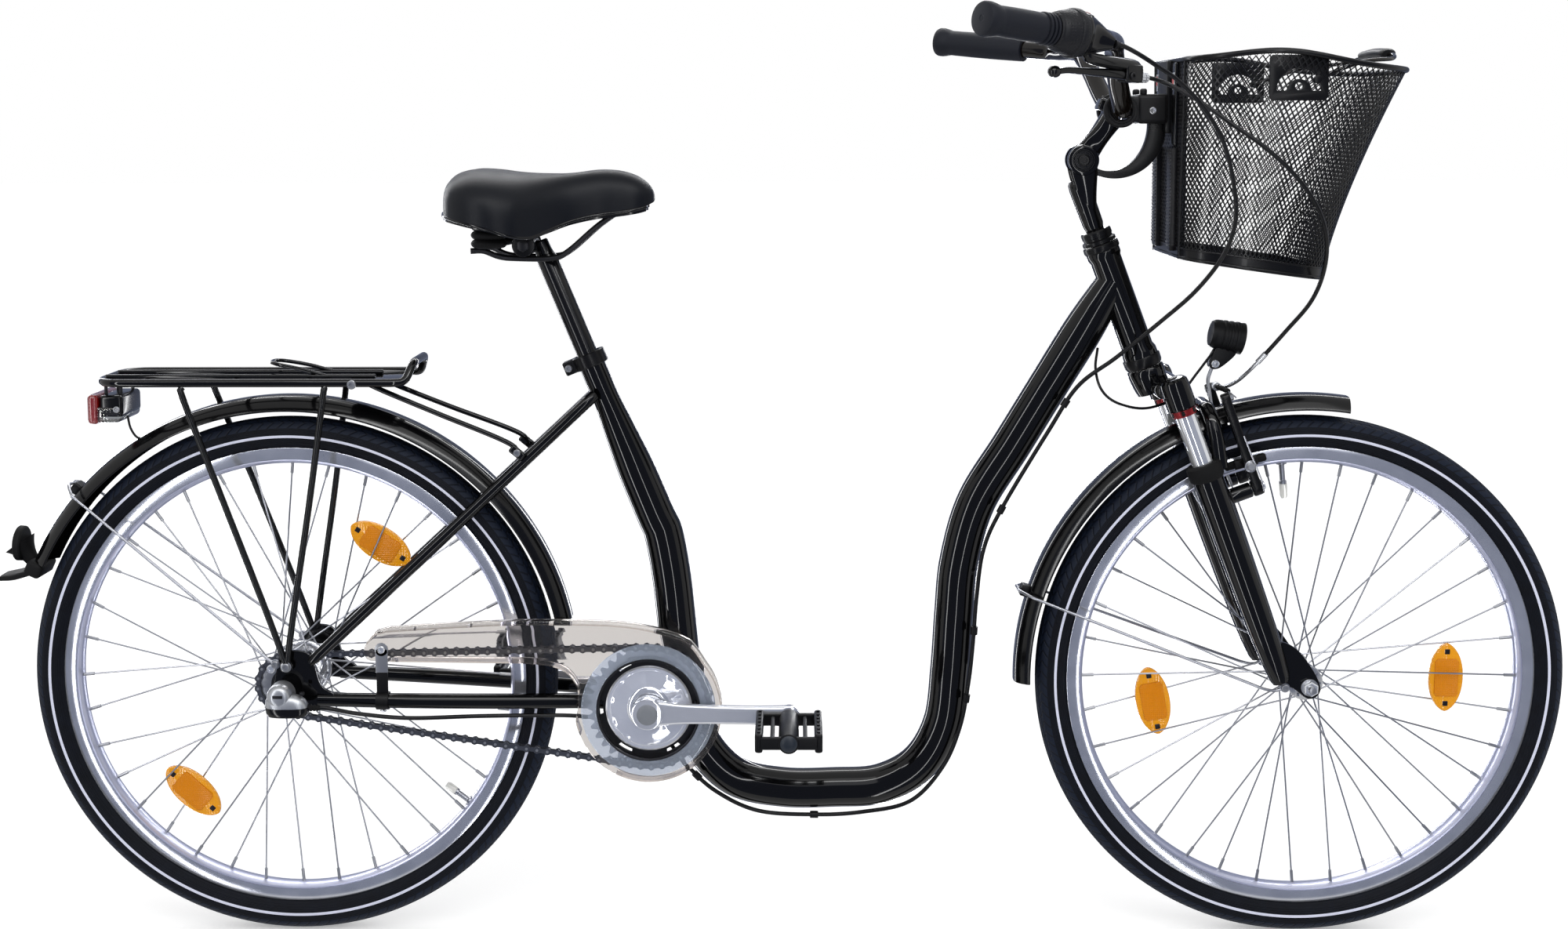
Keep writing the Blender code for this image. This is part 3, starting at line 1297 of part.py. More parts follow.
def build_rack_legs(side, sign):
    """Two rods that meet at one eye beside the dropout, and carry one side of the rack."""
    foot = (0.0055, 0.0705, 0.3525)
    top_y = RACK_HALF_WIDTH
    top_z = RACK_HEIGHT - RACK_ROD_RADIUS - GAP - 0.0002
    legs = []
    for i, (top_x, mid_x) in enumerate(((-0.1140, -0.066), (0.0565, 0.0372))):
        rows = [(foot[0], foot[1], foot[2]), (foot[0] + 0.35 * (mid_x - foot[0]), 0.0690, 0.4250),
                (mid_x, 0.0660, 0.5520), (top_x + 0.002 * (1 - 2 * i), 0.0600, top_z - 0.014),
                (top_x, top_y, top_z)]
        route = smooth_route([(x, sign * y, z) for x, y, z in rows], 0.07)
        legs.append(solid_tube("rack_legs_" + side if i == 0 else "rack_leg_rod_" + side, route, 0.0040,
                               BLACK_PAINT if i == 0 else None, 1))
    eye = rod("rack_eye_" + side, (foot[0], sign * (foot[1] - 0.0025), foot[2]),
              (foot[0], sign * (foot[1] + 0.0025), foot[2]), 0.0075, sides=SIDES_SMALL)
    bolt = rod("rack_bolt_" + side, (foot[0], sign * (REAR_DROPOUT_HALF + DROPOUT_THICKNESS + GAP),
                                     foot[2]),
               (foot[0], sign * (foot[1] + 0.0060), foot[2]), 0.0040, sides=SIDES_SMALL)
    fuse(legs[0], legs[1], eye, bolt)
    attach(legs[0], "frame")


def build_tail_light():
    """Tail light housing hung under the rack by two wire brackets."""
    height = RACK_HEIGHT
    body = box("tail_light", (-0.2150, 0.0, 0.6590), (0.0440, 0.0760, 0.0370), RED_PLASTIC, bevel=0.006)
    rail_bottom = height - RACK_ROD_RADIUS - GAP
    rod_bottom = height + 0.003 - RACK_WIRE_RADIUS - GAP
    for i, (x, top) in enumerate(((RACK_REAR, rail_bottom), (RACK_REAR + 0.018, rod_bottom))):
        for sign in (-1.0, 1.0):
            side = sign * 0.021
            wire = rod("tail_wire_%d_%d" % (i, sign > 0), (x, side, 0.6600), (x, side, top), 0.0022,
                       sides=SIDES_SMALL)
            fuse(body, wire)
    attach(body, "frame")


# Fork


def build_fork_crown():
    """Steerer with its top nut, the crown and the two sockets for the stanchions."""
    profile = [
        (QUILL_RADIUS + GAP, 0.6030),
        (0.0165, 0.6030),
        (0.0178, 0.6010),
        (0.0178, HEAD_TOP + 0.0030),
        (0.0196, HEAD_TOP + 0.0030),
        (0.0196, HEAD_TOP + RUNNING_GAP),
        (STEERER_RADIUS, HEAD_TOP + RUNNING_GAP),
        (STEERER_RADIUS, HEAD_BOTTOM - RUNNING_GAP),
        (0.0210, HEAD_BOTTOM - RUNNING_GAP),
        (0.0225, SOCKET_TOP - 0.0020),
        (0.0200, SOCKET_TOP - 0.0180),
        (QUILL_RADIUS + GAP, SOCKET_TOP - 0.0180),
    ]
    crown = lathe("fork_crown", profile, STEER_FOOT, STEER_UP, BLACK_PAINT, steps=SIDES_MEDIUM, closed=True)
    bridge = box("crown_bridge", steer(STANCHION_FORWARD * 0.72, 0.0, 0.4005),
                 (0.0300, 2 * LEG_HALF_SPACING, 0.0185), axes=(STEER_FORWARD, Y_AXIS, STEER_UP))
    fuse(crown, bridge)
    for sign in (-1.0, 1.0):
        side = sign * LEG_HALF_SPACING
        socket = rod("crown_socket_%d" % (sign > 0), steer(STANCHION_FORWARD, side, SOCKET_BOTTOM),
                     steer(STANCHION_FORWARD, side, SOCKET_TOP), SOCKET_RADIUS, sides=SIDES_MEDIUM)
        fuse(crown, socket)
    hollow = rod("steerer_bore", steer(0, 0, SOCKET_TOP - 0.03), steer(0, 0, SOCKET_TOP + 0.01),
                 QUILL_RADIUS + GAP, sides=SIDES_MEDIUM)
    cut(crown, hollow)
    attach(crown, "fork")


def build_stanchion(side, sign):
    """Chrome stanchion from the crown's socket down into the lower leg."""
    y = sign * LEG_HALF_SPACING
    item = rod("stanchion_" + side, steer(STANCHION_FORWARD, y, STANCHION_BOTTOM),
               steer(STANCHION_FORWARD, y, SOCKET_BOTTOM - GAP), STANCHION_RADIUS, CHROME,
               sides=SIDES_MEDIUM)
    attach(item, "fork")


def leg_profile():
    """Turned outline of a lower leg, heights along the steering axis."""
    return [
        (0.0, LEG_TOP),
        (0.0210, LEG_TOP),
        (0.0208, LEG_TOP - 0.016),
        (LEG_RADIUS, LEG_TOP - 0.020),
        (LEG_RADIUS - 0.0010, 0.0900),
        (0.0145, 0.0450),
        (0.0115, 0.0180),
        (0.0, 0.0180),
    ]


def build_fork_lower():
    """Both lower legs, the bridge over the tyre, the brake bosses and the dropouts."""
    legs = []
    for side, sign in (("right", -1.0), ("left", 1.0)):
        y = sign * LEG_HALF_SPACING
        name = "fork_lower" if sign < 0 else "fork_leg_left"
        leg = lathe(name, leg_profile(), steer(STANCHION_FORWARD, y, 0.0), STEER_UP,
                    BLACK_PAINT if sign < 0 else None, steps=SIDES_MEDIUM)
        legs.append(leg)
    lower = legs[0]
    fuse(lower, legs[1])
    crest = GUARD_RADIUS + GAP + BRIDGE_RADIUS
    bridge = [(0.0380, LEG_HALF_SPACING - 0.004, 0.2880), (0.0450, 0.0460, 0.3200),
              (0.0490, 0.0380, 0.3440),
              (0.0500, 0.0240, crest - 0.0008), (0.0500, 0.0120, crest), (0.0500, 0.0, crest)]
    bridge = bridge + [(n, -y, t) for n, y, t in bridge[-2::-1]]
    route = [tuple(steer(n, y, t)) for n, y, t in bridge]
    fuse(lower, solid_tube("fork_bridge", smooth_route(route, 0.050), BRIDGE_RADIUS, None, 1))
    for side, sign in (("right", -1.0), ("left", 1.0)):
        y = sign * LEG_HALF_SPACING
        boss_y = sign * BRAKE_HALF_SPACING
        boss = rod("brake_boss_" + side, steer(0.026, boss_y, BRAKE_PIVOT_UP),
                   steer(BRAKE_FORWARD - 0.0075, boss_y, BRAKE_PIVOT_UP), 0.0090, sides=SIDES_SMALL)
        pin = rod("brake_pin_" + side, steer(BRAKE_FORWARD - 0.010, boss_y, BRAKE_PIVOT_UP),
                  steer(BRAKE_FORWARD + 0.0085, boss_y, BRAKE_PIVOT_UP), BRAKE_PIN_RADIUS,
                  sides=SIDES_SMALL)
        plate_y = sign * (FRONT_DROPOUT_HALF + DROPOUT_THICKNESS / 2.0)
        outline = [(-0.010, 0.060), (0.012, 0.066), (0.030, 0.050), (0.040, 0.020), (0.042, -0.004)]
        outline += [(0.034, -0.014), (0.022, -0.012), (0.010, 0.006), (-0.008, 0.022)]
        dropout = solid_plate("fork_dropout_" + side, outline, DROPOUT_THICKNESS,
                              steer(STANCHION_FORWARD, plate_y, 0.0), STEER_FORWARD, STEER_UP)
        fuse(lower, boss, pin, dropout)
        bore = rod("stanchion_bore_" + side, steer(STANCHION_FORWARD, y, LEG_BORE_BOTTOM),
                   steer(STANCHION_FORWARD, y, LEG_TOP + 0.02), STANCHION_RADIUS + GAP, sides=SIDES_MEDIUM)
        hole = rod("front_axle_hole_" + side, FRONT_AXLE + Y_AXIS * sign * 0.040,
                   FRONT_AXLE + Y_AXIS * sign * 0.080, AXLE_RADIUS + GAP, sides=SIDES_MEDIUM)
        cut(lower, bore, hole)
    attach(lower, "fork_lower")


def build_brake_arm(side, sign):
    """Brake arm on its boss, with a pad beside the rim and the pad's bolt."""
    thickness = 0.0110
    pivot_y = BRAKE_HALF_SPACING
    base = (pivot_y, BRAKE_PIVOT_UP)
    low = arc(base, 0.0105, 160.0, 380.0, 7)
    top = (pivot_y + 0.0040, BRAKE_PIVOT_UP + BRAKE_ARM_LENGTH)
    head = arc(top, 0.0060, 0.0, 180.0, 4)
    outline = [(sign * y, t) for y, t in low + [(pivot_y + 0.0085, BRAKE_PIVOT_UP + 0.045)] + head
               + [(pivot_y - 0.0045, BRAKE_PIVOT_UP + 0.045)]]
    hole = [(sign * y, t) for y, t in circle(base, BRAKE_PIN_RADIUS + GAP, SIDES_MEDIUM)]
    arm = solid_plate("brake_arm_" + side, outline, thickness, steer(BRAKE_FORWARD, 0.0, 0.0), Y_AXIS,
                      STEER_UP,
                      BLACK_PAINT, holes=(hole,))
    pad_radius = RIM_RADIUS - 0.0070
    forward = BRAKE_FORWARD - FORK_OFFSET
    pad_up = math.sqrt(pad_radius**2 - forward**2)
    slope = math.atan2(-forward, pad_up)
    along = STEER_FORWARD * math.cos(slope) + STEER_UP * math.sin(slope)
    radial = along.cross(Y_AXIS).normalized()
    pad_inner = RIM_WIDTH / 2.0 + 0.0020
    pad_depth = 0.0100
    pad_centre = steer(BRAKE_FORWARD, sign * (pad_inner + pad_depth / 2.0), pad_up)
    pad = box("brake_pad_" + side, pad_centre, (0.052, pad_depth, 0.0095), axes=(along, Y_AXIS, radial))
    bolt = rod("brake_pad_bolt_" + side, pad_centre, steer(BRAKE_FORWARD, sign * (pivot_y + 0.016), pad_up),
               0.0055, sides=SIDES_SMALL)
    fuse(arm, bolt, pad)
    attach(arm, "brake_arm_" + side)


def build_headlamp_bracket():
    """Bent bracket from the fork bridge up to the lamp's pivot pin."""
    rows = [(0.0605, 0.3546), (0.0636, 0.3700), (0.0660, 0.3840), (0.0799, 0.4006)]
    route = [tuple(steer(n, 0.0, t)) for n, t in rows]
    bracket = solid_tube("headlamp_bracket", smooth_route(route, 0.012), 0.0036, STEEL, 1)
    pin = rod("lamp_pin", LAMP_PIVOT - Y_AXIS * 0.0115, LAMP_PIVOT + Y_AXIS * 0.0115, 0.0030,
              sides=SIDES_SMALL)
    eye = rod("lamp_eye", LAMP_PIVOT - Y_AXIS * 0.0040, LAMP_PIVOT + Y_AXIS * 0.0040, 0.0065,
              sides=SIDES_MEDIUM)
    fuse(bracket, pin, eye)
    attach(bracket, "fork_lower")


LAMP_CENTRE = Vector((1.1390, 0.0, 0.7425))
LAMP_TILT = math.radians(-11.0)


def build_headlamp():
    """Drum headlamp with a recessed lens face and two ears on the pivot pin."""
    aim = Vector((math.cos(LAMP_TILT), 0.0, math.sin(LAMP_TILT)))
    profile = [
        (0.0, 0.0175),
        (0.0150, 0.0175),
        (0.0160, 0.0205),
        (0.0192, 0.0205),
        (0.0195, 0.0120),
        (0.0178, -0.0130),
        (0.0150, -0.0190),
        (0.0, -0.0205),
    ]
    lamp = lathe("headlamp", profile, LAMP_CENTRE, aim, BLACK_PLASTIC, steps=SIDES_MEDIUM)
    outline = [(-0.0070, 0.0030), (-0.0050, -0.0055), (0.0050, -0.0055), (0.0250, 0.0110), (0.0270, 0.0240),
               (0.0080, 0.0260), (-0.0010, 0.0140)]
    hole = circle((0.0, 0.0), 0.0033, SIDES_MEDIUM)
    for i, sign in enumerate((-1.0, 1.0)):
        ear = solid_plate("lamp_ear_%d" % i, outline, 0.0040, LAMP_PIVOT + Y_AXIS * sign * 0.0065,
                          (1, 0, 0), (0, 0, 1), holes=(hole,))
        fuse(lamp, ear)
    attach(lamp, "headlamp")


# Cockpit


def build_stem_quill():
    """Quill in the steerer, rising to two ears that hold the stem's pivot bolt."""
    pivot_place = Vector((STEM_PIVOT[0], 0.0, STEM_PIVOT[1]))
    quill = lathe("stem_quill", [(0.0, 0.672), (0.0135, 0.672), (0.0132, 0.6120), (QUILL_RADIUS, 0.6060),
                                 (QUILL_RADIUS, 0.5150), (0.0, 0.5150)],
                  STEER_FOOT, STEER_UP, BLACK_PAINT, steps=SIDES_MEDIUM)
    inner = STEM_TONGUE_HALF + GAP
    outer = inner + 0.0075
    barrel = rod("quill_barrel", pivot_place - Y_AXIS * outer, pivot_place + Y_AXIS * outer, 0.0185,
                 sides=SIDES_LARGE)
    cheek = box("quill_cheek", steer(0.0045, 0.0, 0.6650), (0.0260, 2 * outer - 0.001, 0.0360),
                axes=(STEER_FORWARD, Y_AXIS, STEER_UP))
    slot = rod("tongue_clear", pivot_place - Y_AXIS * inner, pivot_place + Y_AXIS * inner, 0.0200,
               sides=SIDES_LARGE)
    fuse(quill, cheek, barrel)
    cut(quill, slot)
    bolt = rod("quill_bolt", pivot_place - Y_AXIS * 0.0200, pivot_place + Y_AXIS * 0.0200, 0.0045,
               sides=SIDES_MEDIUM)
    fuse(quill, bolt)
    attach(quill, "quill")


def build_stem_arm():
    """Adjustable stem arm from the pivot to the handlebar clamp."""
    pivot_place = Vector((STEM_PIVOT[0], 0.0, STEM_PIVOT[1]))
    clamp = Vector((BAR_CLAMP[0], 0.0, BAR_CLAMP[1]))
    along = (clamp - pivot_place).normalized()
    across = Y_AXIS.cross(along).normalized()
    length = (clamp - pivot_place).length
    outline = arc((0.0, 0.0), 0.0178, 65.0, 295.0, 10) + [(length, -0.0125), (length, 0.0125)]
    hole = circle((0.0, 0.0), 0.0045 + GAP, SIDES_MEDIUM)
    arm = solid_plate("stem_arm", outline, 2 * STEM_TONGUE_HALF, pivot_place, along, -across, BLACK_PAINT,
                      holes=(hole,))
    clamp_ring = rod("bar_clamp", clamp - Y_AXIS * 0.0195, clamp + Y_AXIS * 0.0195, 0.0190,
                     sides=SIDES_LARGE)
    bore = rod("bar_clamp_bore", clamp - Y_AXIS * 0.03, clamp + Y_AXIS * 0.03, BAR_RADIUS + LOOSE_GAP,
               sides=SIDES_LARGE)
    fuse(arm, clamp_ring)
    cut(arm, bore)
    attach(arm, "stem")


def bar_half():
    """Left half of the handlebar's centre line, with the radius as a share of the middle one."""
    slim = BAR_END_RADIUS / BAR_RADIUS
    straight = [(BAR_CLAMP[0], 0.0, BAR_CLAMP[1], 1.0), (BAR_CLAMP[0], 0.0200, BAR_CLAMP[1], 1.0),
                (BAR_CLAMP[0], 0.0345, BAR_CLAMP[1], 1.0)]
    bend = [
        (1.0015, 0.0480, 1.0180, 0.98),
        (0.9945, 0.0680, 1.0360, 0.94),
        (0.9865, 0.0900, 1.0600, 0.90),
        (0.9800, 0.1150, 1.0790, slim),
        (0.9740, 0.1500, 1.0885, slim),
        (0.9590, 0.1880, 1.0905, slim),
    ]
    ends = [(*grip_point(distance, True), slim) for distance in (0.168, 0.150, 0.080, 0.0025)]
    return straight, bend + ends


def build_handlebar():
    """One tube: straight in the clamp, rising to each side and sweeping back to the grips."""
    straight, rest = bar_half()
    left = straight[:-1] + smooth_route(straight[-1:] + rest, 0.060)
    right = [(x, -y, z, share) for x, y, z, share in left[:0:-1]]
    bar = tube("handlebar", right + left, BAR_RADIUS, SATIN_BLACK, 2)
    attach(bar, "stem")


def build_grip(side, length):
    """Rubber grip: a sleeve over the bar with a closed, flared end."""
    mirrored = side == "left"
    bore = BAR_END_RADIUS + LOOSE_GAP
    profile = [
        (0.0, 0.0),
        (0.0185, 0.0),
        (0.0190, -0.0120),
        (GRIP_RADIUS, -0.0200),
        (GRIP_RADIUS, -length),
        (bore, -length),
        (bore, -0.0022),
        (0.0, -0.0022),
    ]
    place = grip_point(0.0, mirrored)
    outward = -GRIP_IN.copy()
    if mirrored:
        outward.y = -outward.y
    grip = lathe("grip_" + side, profile, place, outward, BLACK_RUBBER, steps=SIDES_LARGE)
    attach(grip, "stem")


def sleeve(name, start, length, radius, spec, steps=SIDES_LARGE, waist=None):
    """A ring on the bar's right end, from one distance inwards."""
    bore = BAR_END_RADIUS + LOOSE_GAP
    waist = radius if waist is None else waist
    profile = [
        (bore, -start),
        (waist, -start),
        (radius, -start - length * 0.45),
        (radius, -start - length),
        (bore, -start - length),
    ]
    return lathe(name, profile, GRIP_END, -GRIP_IN, spec, steps=steps, closed=True)


def build_twist_grip():
    item = sleeve("twist_grip", SHORT_GRIP_LENGTH + GAP, TWIST_LENGTH, TWIST_RADIUS, BLACK_RUBBER,
                  waist=0.0205)
    attach(item, "twist")


def build_shifter_housing():
    """Fixed shifter body beside the twist grip, with the cable's snout."""
    start = SHORT_GRIP_LENGTH + TWIST_LENGTH + 2 * GAP
    length = 0.016
    item = sleeve("shifter_housing", start, length, 0.0235, BLACK_PLASTIC)
    offset = SNOUT_SIDE * SNOUT_OFFSET
    snout = rod("shifter_snout", grip_point(start + 0.003) + offset, grip_point(SNOUT_END) + offset, 0.0055,
                sides=SIDES_SMALL)
    web = rod("shifter_web", grip_point(start + 0.008) + SNOUT_SIDE * 0.0150,
              grip_point(start + 0.008) + offset, 0.0050,
              sides=SIDES_SMALL)
    fuse(item, web)
    fuse(item, snout)
    attach(item, "stem")


def build_brake_bracket():
    """Clamp ring on the bar and the body that carries the brake lever's pivot."""
    start = SHORT_GRIP_LENGTH + TWIST_LENGTH + 3 * GAP + 0.016
    length = 0.012
    item = sleeve("brake_bracket", start, length, 0.0170, SATIN_BLACK)
    centre = grip_point(start + length * 0.5)
    along = (LEVER_TIP - LEVER_PIVOT).normalized()
    axis = lever_axis()
    up = axis.cross(along).normalized()
    neck_end = LEVER_PIVOT + up * 0.010 - along * 0.014
    below = (Vector((0, 0, -1)) - GRIP_IN * Vector((0, 0, -1)).dot(GRIP_IN)).normalized()
    neck = rod("bracket_neck", centre + below * 0.0150, neck_end, 0.0065, sides=SIDES_SMALL)
    body_centre = LEVER_PIVOT - along * 0.0115
    body = box("bracket_body", body_centre + up * 0.0040, (0.0310, 0.0180, 0.0220), axes=(along, axis, up))
    fuse(item, neck, body)
    adjuster_start = body_centre - along * 0.012
    adjuster_end = LEVER_PIVOT - along * ADJUSTER_END
    adjuster = rod("barrel_adjuster", adjuster_start, adjuster_end, 0.0058, sides=SIDES_SMALL)
    bar_clear = rod("bracket_bar_clear", grip_point(0.135), grip_point(0.172), BAR_END_RADIUS + LOOSE_GAP,
                    sides=SIDES_LARGE)
    bend_clear = rod("bracket_bend_clear", grip_point(0.164), BAR_BEND, BAR_END_RADIUS + 2 * LOOSE_GAP,
                     sides=SIDES_LARGE)
    fuse(item, adjuster)
    cut(item, bar_clear, bend_clear)
    fork = box("lever_slot", LEVER_PIVOT + along * 0.004, (0.0200, 0.0096, 0.0240), axes=(along, axis, up))
    cut(item, fork)
    pin = rod("lever_pin", LEVER_PIVOT - axis * 0.0085, LEVER_PIVOT + axis * 0.0085, 0.0024,
              sides=SIDES_SMALL)
    fuse(item, pin)
    attach(item, "stem")


def lever_axis():
    """Pivot axis of the brake lever, square to the blade and nearly level."""
    along = (LEVER_TIP - LEVER_PIVOT).normalized()
    towards_bar = Vector((0.0, 0.0, 1.0))
    return along.cross(towards_bar).normalized()


def build_brake_lever():
    """Lever blade with a hole for its pin and a ball at its tip."""
    along = (LEVER_TIP - LEVER_PIVOT).normalized()
    axis = lever_axis()
    up = axis.cross(along).normalized()
    length = (LEVER_TIP - LEVER_PIVOT).length
    outline = [(-0.0040, 0.0045), (-0.0050, 0.0), (-0.0030, -0.0045), (0.010, -0.0055), (0.045, -0.0060)]
    outline += [(0.080, -0.0040), (length - 0.004, -0.0035), (length - 0.004, 0.0035), (0.080, 0.0035)]
    outline += [(0.045, 0.0020), (0.010, 0.0045)]
    hole = circle((0.0, 0.0), 0.0027, SIDES_MEDIUM)
    blade = solid_plate("brake_lever", outline, 0.0088, LEVER_PIVOT, along, up, SATIN_BLACK, holes=(hole,))
    ball = rod("lever_ball", LEVER_TIP - along * 0.007 - up * 0.003, LEVER_TIP + along * 0.004 - up * 0.003,
               0.0065, sides=SIDES_MEDIUM)
    fuse(blade, ball)
    attach(blade, "lever")


def build_basket_holder():
    """Holder on the bar: two clamp rings, a block, the front plate and the hooked support arm."""
    clamp = Vector((BAR_CLAMP[0], 0.0, BAR_CLAMP[1]))
    block = box("basket_holder", (1.0400, 0.0, 1.0160), (0.0380, 0.0624, 0.0340), BLACK_PLASTIC)
    for i, sign in enumerate((-1.0, 1.0)):
        ring = rod("holder_ring_%d" % i, clamp + Y_AXIS * sign * 0.0202, clamp + Y_AXIS * sign * 0.0306,
                   0.0205,
                   sides=SIDES_LARGE)
        web = box("holder_web_%d" % i, (1.0250, sign * 0.0253, 1.0155), (0.0190, 0.0094, 0.0280))
        fuse(block, web, ring)
    arm_outer = arc((1.0010, 0.9930), 0.0600, 14.0, -106.0, 8)
    arm_inner = arc((0.9980, 0.9990), 0.0510, -98.0, 12.0, 8)
    arm = solid_plate("holder_arm", arm_outer + arm_inner, 0.0120, (0, 0, 0), (1, 0, 0), (0, 0, 1))
    bar_bore = rod("holder_bore", clamp - Y_AXIS * 0.05, clamp + Y_AXIS * 0.05, BAR_RADIUS + LOOSE_GAP,
                   sides=SIDES_LARGE)
    stem_gap = box("holder_stem_gap", clamp, (0.0600, 0.0398, 0.0500))
    front_plate = box("holder_plate", (1.06095, 0.0, 1.0300), (0.0073, 0.0560, 0.0860))
    cut(block, bar_bore, stem_gap)
    fuse(block, arm, front_plate)
    attach(block, "stem")


BASKET_TOP = [(1.0655, 0.0000), (1.0655, 0.0500), (1.0680, 0.1000), (1.0860, 0.1270), (1.1300, 0.1480),
              (1.2000, 0.1550), (1.2700, 0.1480), (1.3140, 0.1240), (1.3330, 0.0850), (1.3380, 0.0000)]
BASKET_LOW = [(1.0640, 0.0000), (1.0640, 0.0450), (1.0665, 0.0850), (1.0800, 0.1060), (1.1120, 0.1180),
              (1.1600, 0.1220), (1.2050, 0.1160), (1.2320, 0.0960), (1.2440, 0.0600), (1.2480, 0.0000)]


def basket_ring(share, shrink=0.0):
    """One level of the basket, from its floor at 0 to its rim at 1, as a closed ring of points."""
    half = []
    for (low_x, low_y), (top_x, top_y) in zip(BASKET_LOW, BASKET_TOP):
        x = low_x + (top_x - low_x) * share
        y = low_y + (top_y - low_y) * share
        floor = 0.8420 - 0.145 * (low_x - 1.064)
        rim = 1.0700 + 0.0140 * math.exp(-(((top_x - 1.165) / 0.075) ** 2)) - 0.045 * (top_x - 1.066)
        half.append((x, y, floor + (rim - floor) * share))
    full = half + [(x, -y, z) for x, y, z in half[-2:0:-1]]
    if shrink == 0.0:
        return full
    middle = Vector((1.17, 0.0))
    ring = []
    for x, y, z in full:
        flat = Vector((x, y)) - middle
        flat = flat * (1.0 - shrink / flat.length)
        ring.append((middle.x + flat.x, flat.y, z))
    return ring


def build_basket():
    """Open basket: a walled shell with a floor, an open top and the two bail plates inside."""
    outer = [basket_ring(share) for share in (0.0, 1.0)]
    inner = [basket_ring(1.0, BASKET_WALL)]
    floor = [(x, y, z + BASKET_WALL) for x, y, z in basket_ring(0.0, BASKET_WALL)]
    basket = loft("basket", outer + inner + [floor], BLACK_PAINT)
    for i, sign in enumerate((-1.0, 1.0)):
        panel = box("basket_plate_%d" % i, (1.1810, sign * 0.1500, 1.0500), (0.0660, 0.0050, 0.0520))
        fuse(basket, panel)
    attach(basket, "basket")


def build_basket_bail():
    """Folded bail: a wire across the basket with a plastic hand grip in its middle."""
    rows = [(BAIL_X, 0.1470 - 0.0003, BAIL_Z), (BAIL_X + 0.0005, 0.1400, BAIL_Z + 0.0002),
            (BAIL_X + 0.0150, 0.1340, BAIL_Z + 0.0060), (1.2600, 0.1230, 1.0680), (1.2960, 0.0900, 1.0775),
            (1.3060, 0.0560, 1.0800), (1.3070, 0.0, 1.0800)]
    half = [(x, y, z) for x, y, z in rows]
    route = smooth_route(half + [(x, -y, z) for x, y, z in half[-2::-1]], 0.050)
    bail = solid_tube("basket_bail", route, 0.0024, STEEL, 1)
    grip = rod("bail_grip", (1.3070, -0.0480, 1.0800), (1.3070, 0.0480, 1.0800), 0.0085, sides=SIDES_MEDIUM)
    fuse(bail, grip)
    attach(bail, "bail")


# Cables

LEVER_ALONG = (LEVER_TIP - LEVER_PIVOT).normalized()
ADJUSTER_END = 0.0290
BRAKE_CABLE = [
    tuple(LEVER_PIVOT - LEVER_ALONG * (ADJUSTER_END + 2 * GAP)),
    tuple(LEVER_PIVOT - LEVER_ALONG * (ADJUSTER_END + 0.0120)),
    (1.0380, -0.1440, 1.0420),
    (1.0680, -0.1570, 1.0240),
    (1.1000, -0.1690, 1.0000),
    (1.1360, -0.1760, 0.9740),
    (1.1710, -0.1750, 0.9430),
    (1.2000, -0.1650, 0.9070),
    (1.2160, -0.1500, 0.8700),
    (1.2220, -0.1200, 0.8300),
    (1.2160, -0.0900, 0.7920),
    (1.1960, -0.0600, 0.7550),
    (1.1750, -0.0380, 0.7220),
    (1.1600, -0.0200, 0.7000),
    (1.1540, 0.0000, 0.6870),
    (1.1530, 0.0200, 0.6800),
]
SHIFT_CABLE = [
    tuple(grip_point(SNOUT_END + 2 * GAP) + SNOUT_SIDE * SNOUT_OFFSET),
    tuple(grip_point(SNOUT_END + 0.0120) + SNOUT_SIDE * SNOUT_OFFSET),
    (0.9900, -0.2080, 1.0750),
    (1.0120, -0.2010, 1.0620),
    (1.0380, -0.1950, 1.0450),
    (1.0670, -0.1890, 1.0160),
    (1.0910, -0.1800, 0.9790),
    (1.1040, -0.1750, 0.9360),
    (1.1100, -0.1650, 0.8920),
    (1.1020, -0.1450, 0.8510),
    (1.0780, -0.1150, 0.8080),
    (1.0440, -0.0800, 0.7680),
    (0.9990, -0.0500, 0.7230),
    (0.9560, -0.0330, 0.6860),
    (0.9220, -0.0305, 0.6320),
    (0.8670, -0.0305, 0.5380),
    (0.8450, -0.0300, 0.4870),
    (0.8370, -0.0285, 0.4280),
    (0.8330, -0.0275, 0.3700),
    (0.8280, -0.0275, 0.3210),
    (0.8180, -0.0270, 0.2650),
    (0.7970, -0.0240, 0.2130),
    (0.7580, -0.0180, 0.1680),
    (0.7000, -0.0120, 0.1520),
    (0.6400, -0.0120, 0.1485),
    (0.5700, -0.0150, 0.1545),
    (0.5180, -0.0220, 0.1820),
    (0.4820, -0.0275, 0.2180),
    (0.4560, -0.0290, 0.2520),
    (0.4250, -0.0285, 0.2665),
    (0.3850, -0.0280, 0.2745),
    (0.3450, -0.0290, 0.2790),
    (0.3000, -0.0370, 0.2820),
    (0.2300, -0.0500, 0.2850),
    (0.1500, -0.0640, 0.2870),
    (0.0950, -0.0800, 0.2970),
    (0.0600, -0.0920, 0.3075),
    (0.0445, -0.0930, 0.3085),
]


def build_cables():
    for name, points, step in (("brake_cable", BRAKE_CABLE, 0.0350), ("shift_cable", SHIFT_CABLE, 0.0560)):
        item = tube(name, smooth_route(points, step), CABLE_RADIUS, BLACK_PLASTIC, 2)
        attach(item, "frame")


